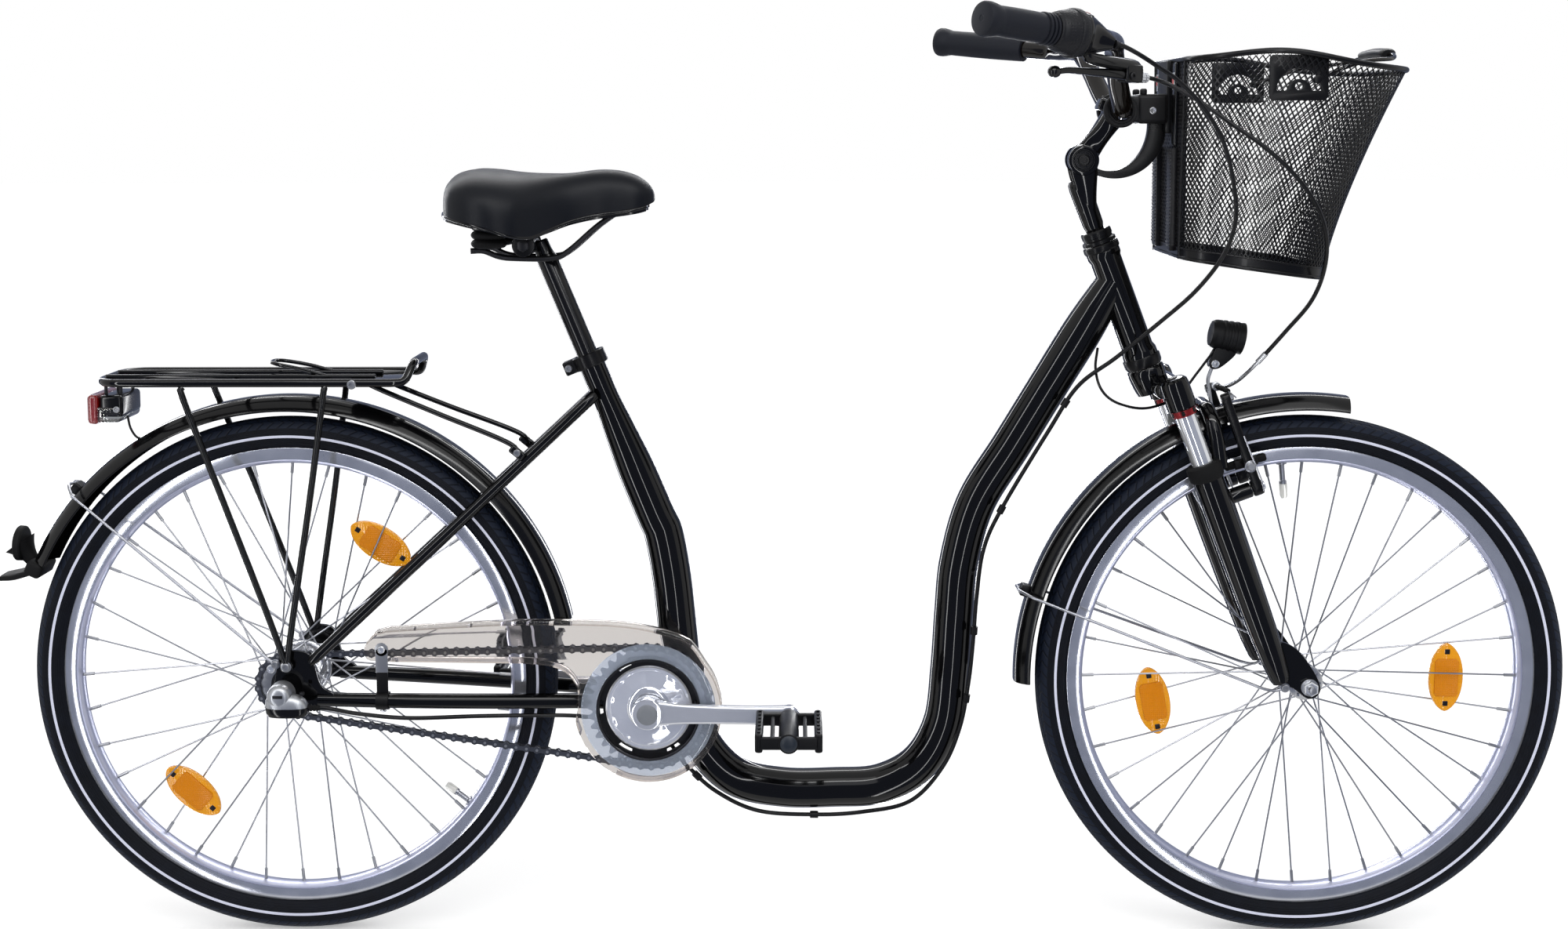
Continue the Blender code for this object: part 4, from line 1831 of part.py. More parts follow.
def main():
    place_pivots()
    build_main_tube()
    build_head_tube()
    for side, sign in (("right", -1.0), ("left", 1.0)):
        build_chainstay(side, sign)
        build_seatstay(side, sign)
        build_crank(side, sign)
        build_pedal(side, sign)
        build_stanchion(side, sign)
        build_brake_arm(side, sign)
        build_rack_legs(side, sign)
    build_seat_clamp()
    build_seatpost()
    build_saddle_cover()
    build_saddle_base()
    build_bumpers()
    for end, axle in (("rear", REAR_AXLE), ("front", FRONT_AXLE)):
        build_tyre(end, axle)
        build_rim(end, axle)
    build_hub("rear", REAR_AXLE, REAR_FLANGE_RADIUS, REAR_FLANGE_OFFSET, REAR_SHELL_RADIUS,
              (0.0480, DRIVER_RADIUS, 0.0500))
    build_hub("front", FRONT_AXLE, FRONT_FLANGE_RADIUS, FRONT_FLANGE_OFFSET, FRONT_SHELL_RADIUS,
              (0.0440, 0.0110, 0.0440))
    build_axle("rear_axle", REAR_AXLE, REAR_DROPOUT_HALF, 0.0797, 0.0820, "frame")
    build_axle("front_axle", FRONT_AXLE, FRONT_DROPOUT_HALF, 0.0720, 0.0720, "fork_lower")
    build_chainring()
    build_sprocket()
    build_chain()
    build_chain_guard()
    build_guard_strap()
    build_shift_box()
    build_rear_mudguard()
    rear_eye = REAR_DROPOUT_HALF + DROPOUT_THICKNESS + GAP + STAY_EYE_HALF
    rear_foot = [(-0.0090, rear_eye, 0.3540), (-0.0180, rear_eye, 0.3600)]
    build_guard_stay("rear_mudguard_stay", REAR_AXLE, REAR_CLIP_ANGLE, rear_foot, "frame")
    build_rear_reflector()
    build_rack()
    build_tail_light()
    build_fork_crown()
    build_fork_lower()
    build_front_mudguard()
    front_eye = FRONT_DROPOUT_HALF + DROPOUT_THICKNESS + GAP + STAY_EYE_HALF
    front_foot = [steer(0.0200, front_eye, 0.0110), steer(0.0080, front_eye, 0.0115),
                  steer(-0.0060, front_eye + 0.001, 0.0200)]
    build_guard_stay("front_mudguard_stay", FRONT_AXLE, FRONT_CLIP_ANGLE, front_foot, "fork_lower")
    build_headlamp_bracket()
    build_headlamp()
    build_stem_quill()
    build_stem_arm()
    build_handlebar()
    build_grip("right", SHORT_GRIP_LENGTH)
    build_grip("left", LONG_GRIP_LENGTH)
    build_twist_grip()
    build_shifter_housing()
    build_brake_bracket()
    build_brake_lever()
    build_basket_holder()
    build_basket()
    build_basket_bail()
    build_cables()
    bpy.context.view_layer.update()


main()
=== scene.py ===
"""City bike, dressed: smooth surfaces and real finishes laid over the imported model.

Every shape is written in millimetres in the bike's own coordinates, from the rear axle's foot on the
ground, with X forward, Y to the left and Z up. Shape.build turns them to metres in the shared frame.
Materials, lamps and camera are in that frame's metres.
"""
import logging
import math
from dataclasses import dataclass, field
from enum import Enum
from typing import Any, Iterable

import bmesh
import bpy
import numpy as np
from mathutils import Matrix, Vector

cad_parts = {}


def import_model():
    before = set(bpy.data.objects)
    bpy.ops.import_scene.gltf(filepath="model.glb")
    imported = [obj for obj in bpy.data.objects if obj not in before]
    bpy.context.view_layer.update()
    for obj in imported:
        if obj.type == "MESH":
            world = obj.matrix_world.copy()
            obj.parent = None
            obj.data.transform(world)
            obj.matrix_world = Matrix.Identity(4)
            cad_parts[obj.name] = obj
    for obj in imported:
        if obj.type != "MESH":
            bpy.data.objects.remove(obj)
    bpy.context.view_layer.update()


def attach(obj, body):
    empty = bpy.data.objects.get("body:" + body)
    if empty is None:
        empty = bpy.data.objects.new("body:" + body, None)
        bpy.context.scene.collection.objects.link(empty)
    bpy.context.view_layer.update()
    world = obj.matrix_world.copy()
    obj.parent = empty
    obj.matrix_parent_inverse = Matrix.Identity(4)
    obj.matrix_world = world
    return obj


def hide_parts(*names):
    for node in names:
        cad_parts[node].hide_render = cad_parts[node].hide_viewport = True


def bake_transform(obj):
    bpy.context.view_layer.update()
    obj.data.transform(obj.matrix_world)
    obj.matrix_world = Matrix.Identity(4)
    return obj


Array = np.ndarray
Surface = tuple[Array, list[Array]]

LOG = logging.getLogger("city_bike")
TAU = math.tau
METRES = 0.001


def spot(*numbers: float) -> Array:
    """A place or direction as an array."""
    return np.array(numbers, dtype=float)


def unit(rows: Array) -> Array:
    """Rows scaled to length one."""
    return rows / np.linalg.norm(rows, axis=-1, keepdims=True)


BIKE_SHIFT = spot(-0.599, 0, 0)
ACROSS, SIDE, UP = np.eye(3)
RIGHT_AND_LEFT = (("right", -1), ("left", 1))
REAR_AXLE = spot(0, 0, 323)
FRONT_AXLE = spot(1235, 0, 323)
HEAD_ANGLE = math.radians(69.5)
STEER_UP = spot(-math.cos(HEAD_ANGLE), 0, math.sin(HEAD_ANGLE))
STEER_FORWARD = spot(math.sin(HEAD_ANGLE), 0, math.cos(HEAD_ANGLE))
STEER_FOOT = FRONT_AXLE - STEER_FORWARD * 48
SEAT_ANGLE = math.radians(67.7)
SEAT_UP = spot(-math.cos(SEAT_ANGLE), 0, math.sin(SEAT_ANGLE))
SEAT_ORIGIN = spot(364.7, 0, 721)
BRACKET = spot(439, 0, 295)
GRIP_END = spot(811.5, -300, 1108.8)
GRIP_IN = unit(spot(80, 54, -9.8))
HOOD_OUT = unit(spot(0.53, -0.79, -0.31))
STEM_PIVOT = spot(962.1, 0, 955.4)
BAR_CLAMP = spot(1003.5, 0, 1014.3)
LEVER_PIVOT = spot(985, -170, 1051.5)
LEVER_TIP = spot(896.5, -235, 1058)
LEVER_ALONG = unit(LEVER_TIP - LEVER_PIVOT)
LEVER_AXIS = unit(np.cross(LEVER_ALONG, UP))
LEVER_UP = np.cross(LEVER_AXIS, LEVER_ALONG)


def steer(forward: float, side: float, up: float) -> Array:
    """A place in the steering frame, beside the front axle."""
    return STEER_FOOT + STEER_FORWARD * forward + SIDE * side + STEER_UP * up


LAMP_PIVOT = steer(79.9, 0, 400.6)
LAMP_CENTRE = spot(1139, 0, 742.5)


def seat(up: float) -> Array:
    """A place on the seat tube's axis."""
    return SEAT_ORIGIN + SEAT_UP * up


def grip_point(distance: float) -> Array:
    """A place on the bar's right end, measured inwards from its tip."""
    return GRIP_END + GRIP_IN * distance


def lever(along: float, rise: float) -> Array:
    """A place in the brake lever's frame, from its pivot."""
    return LEVER_PIVOT + LEVER_ALONG * along + LEVER_UP * rise


def places(x: Any, y: Any, z: Any) -> Array:
    """Places from three numbers or arrays whose shapes fit each other."""
    return np.stack(np.broadcast_arrays(x, y, z), axis=-1)


def around(axle: Array, angle: Any, radius: Any, side: Any = 0.0) -> Array:
    """Places at angles in degrees and radii round a wheel, so many millimetres to the side."""
    turn = np.radians(angle)
    return axle + places(radius * np.cos(turn), side, radius * np.sin(turn))


# Finishes


class Pattern(Enum):
    """Surface detail that a finish can carry."""

    PEEL = "the faint waviness of sprayed and lacquered paint"
    GRAIN = "fine moulded grain"
    HIDE = "pebbled vinyl"
    BRUSHED = "fine lines from a brush or a lathe"
    SPECKLE = "cloudy tarnish and dust"
    PRISM = "small corner prisms inside a reflector"
    TREAD = "ribbed tyre wall with a white band"
    DIMPLE = "rows of round dimples in soft rubber"


# Patterns of cells: the Voronoi node's settings, and where and how softly the height levels off
CELLS = {
    Pattern.HIDE: ({"feature": "DISTANCE_TO_EDGE"}, (0.22, 0.2)),
    Pattern.DIMPLE: ({"feature": "F1", "Randomness": 0.0}, (0.45, 0.1)),
    Pattern.PRISM: ({"feature": "F1", "distance": "MANHATTAN", "Randomness": 0.0}, None),
}

# The tyre's pattern in metres, one Math node a row: its result, its operation and what it works on,
# which are numbers or the results of earlier rows. The wall starts 14.5 mm from the middle, and its
# white band runs 1.6 mm either way of a radius of 300.5 mm. The crown starts at 310.5 mm, and its cuts
# are the two halves of 78 waves round the wheel, slanted one way and back every 5 mm across it. The ribs
# are 2 mm apart, which is as coarse as they need to be to show.
TREAD_STEPS = (
    ("away", "ABSOLUTE", "y"), ("wall", "GREATER_THAN", "away", 0.0145),
    ("band", "COMPARE", "radius", 0.3005, 0.0016), ("white", "MULTIPLY", "band", "wall"),
    ("angle", "ARCTAN2", "z", "x"), ("turns", "MULTIPLY", "angle", 78.0),
    ("zigzag", "PINGPONG", "away", 0.005), ("shift", "MULTIPLY", "zigzag", 420.0),
    ("slant", "ADD", "turns", "shift"), ("wave", "SINE", "slant"), ("cut", "ABSOLUTE", "wave"),
    ("cuts", "SMOOTH_MIN", "cut", 0.5, 0.1), ("crown", "GREATER_THAN", "radius", 0.3105),
    # Painted shade: the crown's colour is darker in its cuts than on the blocks between them, and random dust is
    # added on top.
    ("edges", "MULTIPLY", "crown", "cuts"), ("dusty", "MULTIPLY", "dust", 0.3),
    ("dust_and_groove_shade", "ADD", "edges", "dusty"), ("rings", "MULTIPLY", "radius", TAU / 0.002),
    ("ripple", "SINE", "rings"), ("ribs", "MULTIPLY", "ripple", 0.15),
)


def linear(code: str) -> tuple[float, float, float, float]:
    """Turn an sRGB hex colour into linear light.

    Args:
        code: six hex digits after a hash sign.

    Returns:
        Red, green, blue and an alpha of one.
    """
    values = [int(code[i : i + 2], 16) / 255 for i in (1, 3, 5)]
    return (*[v / 12.92 if v <= 0.04045 else ((v + 0.055) / 1.055) ** 2.4 for v in values], 1.0)


def settle(node: Any, settings: dict) -> None:
    """Give a node values by socket name or number, or by its own property."""
    for key, value in settings.items():
        if isinstance(key, int) or key in node.inputs:
            node.inputs[key].default_value = value
        else:
            setattr(node, key, value)


def add_node(tree: Any, kind: str, settings: dict | None = None, links: dict | None = None) -> Any:
    """Add one node with its settings and links.

    Args:
        tree: the node tree.
        kind: the node's type name after ShaderNode.
        settings: values as settle takes them.
        links: output sockets by the name or number of the input they feed.

    Returns:
        The new node.
    """
    node = tree.nodes.new("ShaderNode" + kind)
    settle(node, settings or {})
    for key, output in (links or {}).items():
        tree.links.new(output, node.inputs[key])
    return node


def new_material(name: str, settings: dict) -> tuple[bpy.types.Material, Any, Any]:
    """Start a material.

    Args:
        name: its name.
        settings: values for its shader.

    Returns:
        The material, its node tree and its shader.
    """
    made = bpy.data.materials.new(name)
    made.use_nodes = True
    shader = made.node_tree.nodes["Principled BSDF"]
    settle(shader, settings)
    return made, made.node_tree, shader


@dataclass(frozen=True)
class Finish:
    """One real finish: its colour, gloss and the small detail on its surface.

    The pattern's size is the real one in millimetres, and where that is too fine to show, the value
    here is the coarser one that still reads in a render.
    """

    name: str
    colour: str
    tint: str
    roughness: float
    spread: float = 0.08
    pattern: Pattern = Pattern.SPECKLE
    size_mm: float = 2.0
    depth_mm: float = 0.02
    metallic: float = 0.0
    coat: float = 0.0
    clear: float = 0.0
    shine: float = 0.5
    ior: float = 1.5
    mottle: float = 0.25
    centre: tuple = (0.0, 0.0, 0.0)
    turn: tuple = (0.0, 0.0, 0.0)

    def height(self, tree: Any, place: Any) -> Any:
        """The pattern's height field.

        Args:
            tree: the material's node tree.
            place: the socket with the place in metres.

        Returns:
            A socket that runs from zero to one.
        """
        scale = 1000 / self.size_mm
        if self.pattern in CELLS:
            settings, level = CELLS[self.pattern]
            cells = add_node(tree, "TexVoronoi", {**settings, "Scale": scale}, {"Vector": place}).outputs["Distance"]
            if level is None:
                return cells
            return add_node(tree, "Math", {"operation": "SMOOTH_MIN", 1: level[0], 2: level[1]},
                            {0: cells}).outputs[0]
        if self.pattern is Pattern.BRUSHED:
            place = add_node(tree, "Mapping", {"Scale": (0.04, 0.04, 1.0)}, {"Vector": place}).outputs[0]
        return add_node(tree, "TexNoise", {"Scale": scale, "Detail": 3.0, "Roughness": 0.55},
                        {"Vector": place}).outputs["Fac"]

    def material(self) -> bpy.types.Material:
        """The material, built once and then handed out by name.

        Returns:
            The finish's material.
        """
        known = bpy.data.materials.get(self.name)
        if known is not None:
            return known
        settings = {"Base Color": linear(self.colour), "Roughness": self.roughness, "Metallic": self.metallic,
                    "Specular IOR Level": self.shine, "Coat Weight": self.coat, "Coat Roughness": 0.04,
                    "Transmission Weight": self.clear}
        if not self.metallic:
            settings["IOR"] = self.ior
        made, tree, shader = new_material(self.name, settings)
        at = add_node(tree, "TexCoord").outputs["Object"]
        place = add_node(tree, "Mapping", {"Location": tuple(-v for v in self.centre), "Rotation": self.turn},
                         {"Vector": at}).outputs[0]
        colours = {6: linear(self.colour), 7: linear(self.tint)}
        if self.pattern is Pattern.TREAD:
            self.tread(tree, shader, place, colours)
            return made
        relief = self.height(tree, place)
        cloud = add_node(tree, "TexNoise", {"Scale": 28.0, "Detail": 4.0, "Roughness": 0.6},
                         {"Vector": at}).outputs["Fac"]
        mix = add_node(tree, "Mix", {"data_type": "RGBA", **colours})
        share = add_node(tree, "Math", {"operation": "MULTIPLY", 1: self.mottle * 2}, {0: cloud})
        tree.links.new(share.outputs[0], mix.inputs[0])
        tree.links.new(mix.outputs[2], shader.inputs["Base Color"])
        limits = {3: max(0.02, self.roughness - self.spread), 4: min(1.0, self.roughness + self.spread)}
        rough = add_node(tree, "MapRange", limits, {0: cloud})
        tree.links.new(rough.outputs[0], shader.inputs["Roughness"])
        bump = add_node(tree, "Bump", {"Strength": 0.6, "Distance": self.depth_mm / 1000}, {"Height": relief})
        tree.links.new(bump.outputs[0], shader.inputs["Normal"])
        return made

    def tread(self, tree: Any, shader: Any, place: Any, colours: dict) -> None:
        """Tyre: ribs round the wall, slanted cuts on the crown darkened with painted shade, and a white band at one
        radius.

        Args:
            tree: the material's node tree.
            shader: its Principled node.
            place: the socket with the place from the axle in metres.
            colours: a Mix node's two colours.
        """
        axes = add_node(tree, "SeparateXYZ", {}, {0: place}).outputs
        flat = add_node(tree, "CombineXYZ", {}, {0: axes[0], 2: axes[2]})
        found = dict(zip("xyz", axes))
        found["radius"] = add_node(tree, "VectorMath", {"operation": "LENGTH"}, {0: flat.outputs[0]}).outputs["Value"]
        found["dust"] = add_node(tree, "TexNoise", {"Scale": 60.0, "Detail": 4.0}, {"Vector": place}).outputs["Fac"]
        for name, operation, *inputs in TREAD_STEPS:
            settings = {k: value for k, value in enumerate(inputs) if not isinstance(value, str)}
            links = {k: found[value] for k, value in enumerate(inputs) if isinstance(value, str)}
            found[name] = add_node(tree, "Math", {"operation": operation, **settings}, links).outputs[0]
        # The rubber's colour: painted shade in the crown's cuts, plus random dust.
        black = add_node(tree, "Mix", {"data_type": "RGBA", **colours}, {0: found["dust_and_groove_shade"]})
        both = add_node(tree, "Mix", {"data_type": "RGBA", 7: linear("#dcdff2")},
                        {0: found["white"], 6: black.outputs[2]})
        tree.links.new(both.outputs[2], shader.inputs["Base Color"])
        depth = add_node(tree, "Mix", {"data_type": "FLOAT"}, {0: found["crown"], 2: found["ribs"], 3: found["cuts"]})
        bump = add_node(tree, "Bump", {"Strength": 0.8, "Distance": 0.0014}, {"Height": depth.outputs[0]})
        tree.links.new(bump.outputs[0], shader.inputs["Normal"])


# Sprayed enamel under clear lacquer: deep black with sharp reflections
ENAMEL = Finish("gloss_black_enamel", "#060607", "#09090b", 0.08, 0.02, Pattern.PEEL, 6, 0.003, coat=0.1, shine=0.2)
# Moulded polycarbonate guards: glossy black, a little softer than the enamel
GUARD_BLACK = Finish("gloss_black_polycarbonate", "#070708", "#0a0a0c", 0.14, 0.04, Pattern.PEEL, 9, 0.006, coat=0.08,
                     shine=0.2)
# Powder coated and anodised parts: black with a soft sheen
SATIN_BLACK = Finish("satin_black_anodised_aluminium", "#0a0a0c", "#101012", 0.3, 0.08, Pattern.GRAIN, 1.2, 0.01,
                     shine=0.16)
# Black plated steel: the bar's deep gloss carries a faint warm cast
BAR_BLACK = Finish("gloss_black_plated_steel", "#0b0806", "#120c08", 0.1, 0.03, Pattern.PEEL, 12, 0.004, coat=0.1,
                   shine=0.28)
# Die-cast and lacquered lever: smooth gloss with soft edges
LEVER_BLACK = Finish("lacquered_black_casting", "#070709", "#0c0c0e", 0.18, 0.05, Pattern.PEEL, 4, 0.006, coat=0.08,
                     shine=0.2)
# Moulded ABS: dark grey black with a fine spark-eroded grain
ABS_BLACK = Finish("moulded_black_abs", "#0b0b0d", "#121214", 0.42, 0.1, Pattern.GRAIN, 0.9, 0.03, shine=0.16)
# ABS from a polished mould: even gloss with faint sink marks
GLOSS_ABS = Finish("polished_black_abs", "#08080a", "#0d0d10", 0.16, 0.05, Pattern.PEEL, 8, 0.006, coat=0.08,
                   shine=0.2)
# Ribbed moulding of the basket's back runners: level ribs that catch the light
RIBBED = Finish("ribbed_black_moulding", "#101012", "#1a1a1d", 0.4, 0.1, Pattern.BRUSHED, 4, 1.2, shine=0.25)
# Moulded rubber: matt and slightly dusty
RUBBER = Finish("moulded_black_rubber", "#0b0b0c", "#131314", 0.7, 0.1, Pattern.GRAIN, 0.8, 0.05, shine=0.15)
# Soft rubber of the grips: blue black and matt, with a coarse grain
GRIP_RUBBER = Finish("soft_grip_rubber", "#0d1019", "#151a28", 0.6, 0.08, Pattern.GRAIN, 1.4, 0.25, shine=0.2)
# Soft rubber of the twist grip: rows of dimples, each with a small light on its edge
DIMPLED = Finish("dimpled_soft_rubber", "#0d0e13", "#15161d", 0.5, 0.08, Pattern.DIMPLE, 3.4, 1.4, shine=0.22)
# Vinyl over foam: pebbled, dark blue black, with a soft shine on the crown
VINYL = Finish("pebbled_black_vinyl", "#080b12", "#0e121b", 0.42, 0.08, Pattern.HIDE, 1.6, 0.2, shine=0.14)
# Anodised rim: pale grey with broad soft highlights
RIM_ALLOY = Finish("satin_anodised_rim_alloy", "#c2c4d6", "#b0b3c8", 0.3, 0.05, size_mm=60, depth_mm=0.01,
                   metallic=0.7,
                   mottle=0.6)
# Machined brake track: a brighter, sharper ring beside the rim's satin
BRAKE_TRACK = Finish("machined_brake_track", "#a4a7b0", "#c2c4cc", 0.16, 0.05, size_mm=40, depth_mm=0.01,
                     metallic=0.75,
                     mottle=0.7)
# Turned hub: fine rings round the axle spread its highlights
HUB_ALLOY = Finish("polished_hub_alloy", "#b4b5b8", "#96979b", 0.24, 0.08, Pattern.BRUSHED, 1, 0.02, metallic=0.85,
                   turn=(math.pi / 2, 0.0, 0.0))
# Die casting under silver paint: soft grey with a fine grain
CAST_SILVER = Finish("silver_painted_casting", "#a6a8ab", "#8f9195", 0.36, 0.08, Pattern.GRAIN, 0.9, 0.02,
                     metallic=0.85)
# Drawn stainless wire: grey with one long highlight
STAINLESS = Finish("drawn_stainless_steel", "#97989d", "#8d8e92", 0.3, size_mm=4, depth_mm=0.01, metallic=1.0)
# Zinc plate: dull bluish grey, slightly cloudy
ZINC = Finish("zinc_plated_steel", "#97989b", "#77797d", 0.34, size_mm=1.6, depth_mm=0.03, metallic=0.8)
# Polished aluminium: bright, with softer reflections than chrome
POLISHED_ALLOY = Finish("polished_aluminium", "#c3c5ca", "#abadb2", 0.16, 0.05, size_mm=3, depth_mm=0.01,
                        metallic=0.8)
# Chrome plate: near mirror, cool and very bright
CHROME = Finish("bright_chrome_plate", "#dcdee2", "#c6c8cc", 0.05, 0.02, size_mm=9, depth_mm=0.01, metallic=0.7)
# Chrome on pressed sheet: paler, its reflections a little spread by the pressing
PRESSED_CHROME = Finish("pressed_chrome_plate", "#eceef4", "#d0d2dc", 0.09, 0.02, size_mm=9, depth_mm=0.01,
                        metallic=0.6)
# Forged and polished cranks: pale silver with soft, slightly wavy reflections
CRANK_ALLOY = Finish("polished_forged_aluminium", "#d2d4da", "#b4b6bc", 0.1, 0.03, size_mm=5, metallic=0.6)
# Oiled chain: mid grey, darker in patches where oil holds dirt
CHAIN_STEEL = Finish("oiled_chain_steel", "#5e6067", "#3a3c42", 0.34, metallic=0.75, mottle=0.5)
# Blackened steel: dark grey with a dull metal sheen
DARK_STEEL = Finish("blackened_steel", "#2b2b2d", "#1d1d1f", 0.4, metallic=0.8)
# Thin black paint on steel strands: the mesh reads as charcoal
MESH_BLACK = Finish("powder_coated_steel_mesh", "#08080a", "#0f0f12", 0.3, 0.1, Pattern.GRAIN, 1, 0.02, coat=0.05,
                    shine=0.16)
# Smoke tinted polycarbonate: the chain shows through it
SMOKE = Finish("smoke_tinted_polycarbonate", "#ded9d6", "#e0dbd6", 0.04, 0.02, Pattern.PEEL, 30, 0.02, clear=1.0,
               ior=1.35)
# Frosted ring in the guard: bluish and a little milky
SMOKE_RING = Finish("frosted_polycarbonate_ring", "#dfe8f6", "#d8e2f2", 0.05, 0.08, Pattern.PEEL, 12, 0.02,
                    clear=0.86,
                    ior=1.3)
# Amber acrylic over prisms: glowing orange broken into small lights
AMBER_PRISM = Finish("ribbed_amber_acrylic", "#de8200", "#f09a10", 0.24, 0.08, Pattern.PRISM, 2.4, 1.2, clear=0.08,
                     shine=0.15)
# Smooth amber front of the reflector: brighter, with a clear gloss on top
AMBER = Finish("amber_reflector_acrylic", "#f7a800", "#ee9300", 0.14, 0.08, Pattern.PRISM, 3.2, 0.9, coat=0.15,
               clear=0.08, shine=0.4)
# Red acrylic: deep red, lit where its prisms turn the light back
RED_LENS = Finish("red_reflector_acrylic", "#8f0a0c", "#6a0508", 0.12, 0.08, Pattern.PRISM, 3, 0.6, coat=0.8,
                  clear=0.15)
# Valve cap of cloudy plastic: milky white, half see-through
CLOUDY = Finish("cloudy_valve_cap", "#e9e9e6", "#dcdcd8", 0.3, 0.08, Pattern.GRAIN, 1, 0.02, clear=0.6, ior=1.45)
# Clear acrylic lens: colourless, with faint prisms
CLEAR_LENS = Finish("clear_acrylic", "#f2f4f5", "#eef0f1", 0.04, 0.02, Pattern.PRISM, 4, 0.5, clear=1.0, ior=1.49)
# Red anodised ring: dark metallic red
RED_ANODISED = Finish("red_anodised_aluminium", "#820c15", "#6d0a12", 0.3, 0.08, Pattern.BRUSHED, 0.8, 0.01,
                      metallic=0.5)
# Moulded release tab: plain orange red
ORANGE_RED = Finish("red_release_tab", "#d2412a", "#bd3824", 0.35, 0.08, Pattern.PEEL, 5, 0.01, coat=0.3)
# Indicator window: dull orange under a clear face
ORANGE_MARK = Finish("orange_indicator_plastic", "#8a3f18", "#743211", 0.35, 0.08, Pattern.PEEL, 5, 0.01, coat=0.5)
# Resin of the pedal's end boss: blue grey
SLATE_CAP = Finish("slate_moulded_resin", "#1c232d", "#252d38", 0.4, 0.08, Pattern.GRAIN, 0.8, 0.03, shine=0.25)
# Dust cap: plain mid grey with a fine grain
GREY_CAP = Finish("grey_moulded_dust_cap", "#7b7f86", "#6c7077", 0.42, 0.08, Pattern.GRAIN, 0.8, 0.03, shine=0.3)
# Extruded polymer sleeve over the cable's steel housing: black with a thin long highlight
CABLE = Finish("black_cable_sleeve", "#08080a", "#0f0f11", 0.3, 0.08, Pattern.GRAIN, 1, 0.01, shine=0.2)
# Tyre rubber: matt blue black with random dust, painted shade in the crown's cuts, and a white band
TYRE_RUBBER = {end: Finish(end + "_tyre_rubber", "#030409", "#1b2436", 0.6, pattern=Pattern.TREAD, shine=0.12,
                           centre=tuple(axle * METRES + BIKE_SHIFT))
               for end, axle in (("rear", REAR_AXLE), ("front", FRONT_AXLE))}


# Surfaces


def travelled(rows: Array) -> Array:
    """Distance along a path up to each of its rows."""
    return np.concatenate(([0.0], np.cumsum(np.linalg.norm(np.diff(rows, axis=0), axis=1))))


def cubic(p: Array, q: Array, r: Array, s: Array, t: Array) -> Array:
    """The Catmull-Rom cubic from q, at t = 0, to r, at t = 1, with p before them and s after them."""
    return 0.5 * (2 * q + (r - p) * t + (2 * p - 5 * q + 4 * r - s) * t**2 + (3 * q - p - 3 * r + s) * t**3)


def smooth(points: Iterable, step: float) -> Array:
    """Points at even steps on the cubic that passes through the given ones.

    Each stretch is the cubic of its four nearest points, and every column, such as a radius after
    the place, is blended in the same way.

    Args:
        points: rows of X, Y, Z and any further numbers, or of two numbers.
        step: distance between the new points.

    Returns:
        The new rows.
    """
    rows = np.asarray(points, dtype=float)
    rows = np.vstack([2 * rows[0] - rows[1], rows, 2 * rows[-1] - rows[-2]])
    t = np.linspace(0, 1, 16, endpoint=False)[None, :, None]
    dense = cubic(*(rows[k : len(rows) - 3 + k][:, None, :] for k in range(4)), t)
    dense = np.vstack([dense.reshape(-1, rows.shape[1]), rows[-2]])
    gone = travelled(dense[:, :3])
    want = np.linspace(0, gone[-1], max(2, round(gone[-1] / step) + 1))
    return np.stack([np.interp(want, gone, column) for column in dense.T], axis=-1)


def rounded(rows: list, step: float) -> Array:
    """A closed outline of two numbers a row, smoothed through its corners."""
    return smooth([*rows, rows[0]], step)[:-1]


def bent(points: Iterable, bend: float) -> Array:
    """A chain of straight runs whose corners are parabolas that start a bend length before each.

    Args:
        points: corners, as rows of X, Y and Z.
        bend: distance from a corner at which its curve starts.

    Returns:
        Rows of points.
    """
    rows = np.asarray(points, dtype=float)
    runs = np.linalg.norm(np.diff(rows, axis=0), axis=1)
    reach = np.minimum(bend, np.minimum(runs[:-1], runs[1:]) * 0.49)[:, None]
    corner = rows[1:-1]
    before = corner - unit(corner - rows[:-2]) * reach
    after = corner + unit(rows[2:] - corner) * reach
    t = np.linspace(0, 1, 9)[None, :, None]
    curve = before[:, None] * (1 - t) ** 2 + corner[:, None] * 2 * t * (1 - t) + after[:, None] * t**2
    return np.vstack([rows[:1], curve.reshape(-1, 3), rows[-1:]])


def on_side(rows: Iterable, sign: int) -> Array:
    """Rows with their second number times a sign, for the bike's right or left.

    Args:
        rows: rows of two or more numbers.
        sign: minus one mirrors them, one keeps them.

    Returns:
        The rows on that side.
    """
    rows = np.array(rows, dtype=float)
    rows[:, 1] *= sign
    return rows


def doubled(rows: Iterable, shared: bool = True) -> Array:
    """Rows and then their mirror image walked back, with a shared last row only once."""
    rows = np.array(rows, dtype=float)
    return np.vstack([rows, on_side(rows[::-1][int(shared):], -1)])


def upright(flat: Array, side: float) -> Array:
    """Rows of X and Z as places at one distance to the side."""
    return np.insert(np.asarray(flat, dtype=float), 1, side, axis=-1)


def arc(centre: Iterable, radius: float, start: float, end: float, count: int) -> Array:
    """Points on a flat arc, angles in degrees, both ends included."""
    turn = np.radians(np.linspace(start, end, count))
    return np.asarray(centre, dtype=float) + radius * np.stack([np.cos(turn), np.sin(turn)], axis=-1)


def oval(steps: int, wide: float = 1.0, tall: float = 1.0, power: float = 1.0) -> Array:
    """Points round an oval: cosine and sine to a power, which squares it off below one."""
    flat = arc((0, 0), 1, 0, 360, steps + 1)[:-1]
    return np.sign(flat) * np.abs(flat) ** power * (wide, tall)


def ease(t: Array) -> Array:
    """A soft step from zero to one: t squared times three less two t."""
    return t * t * (3 - 2 * t)


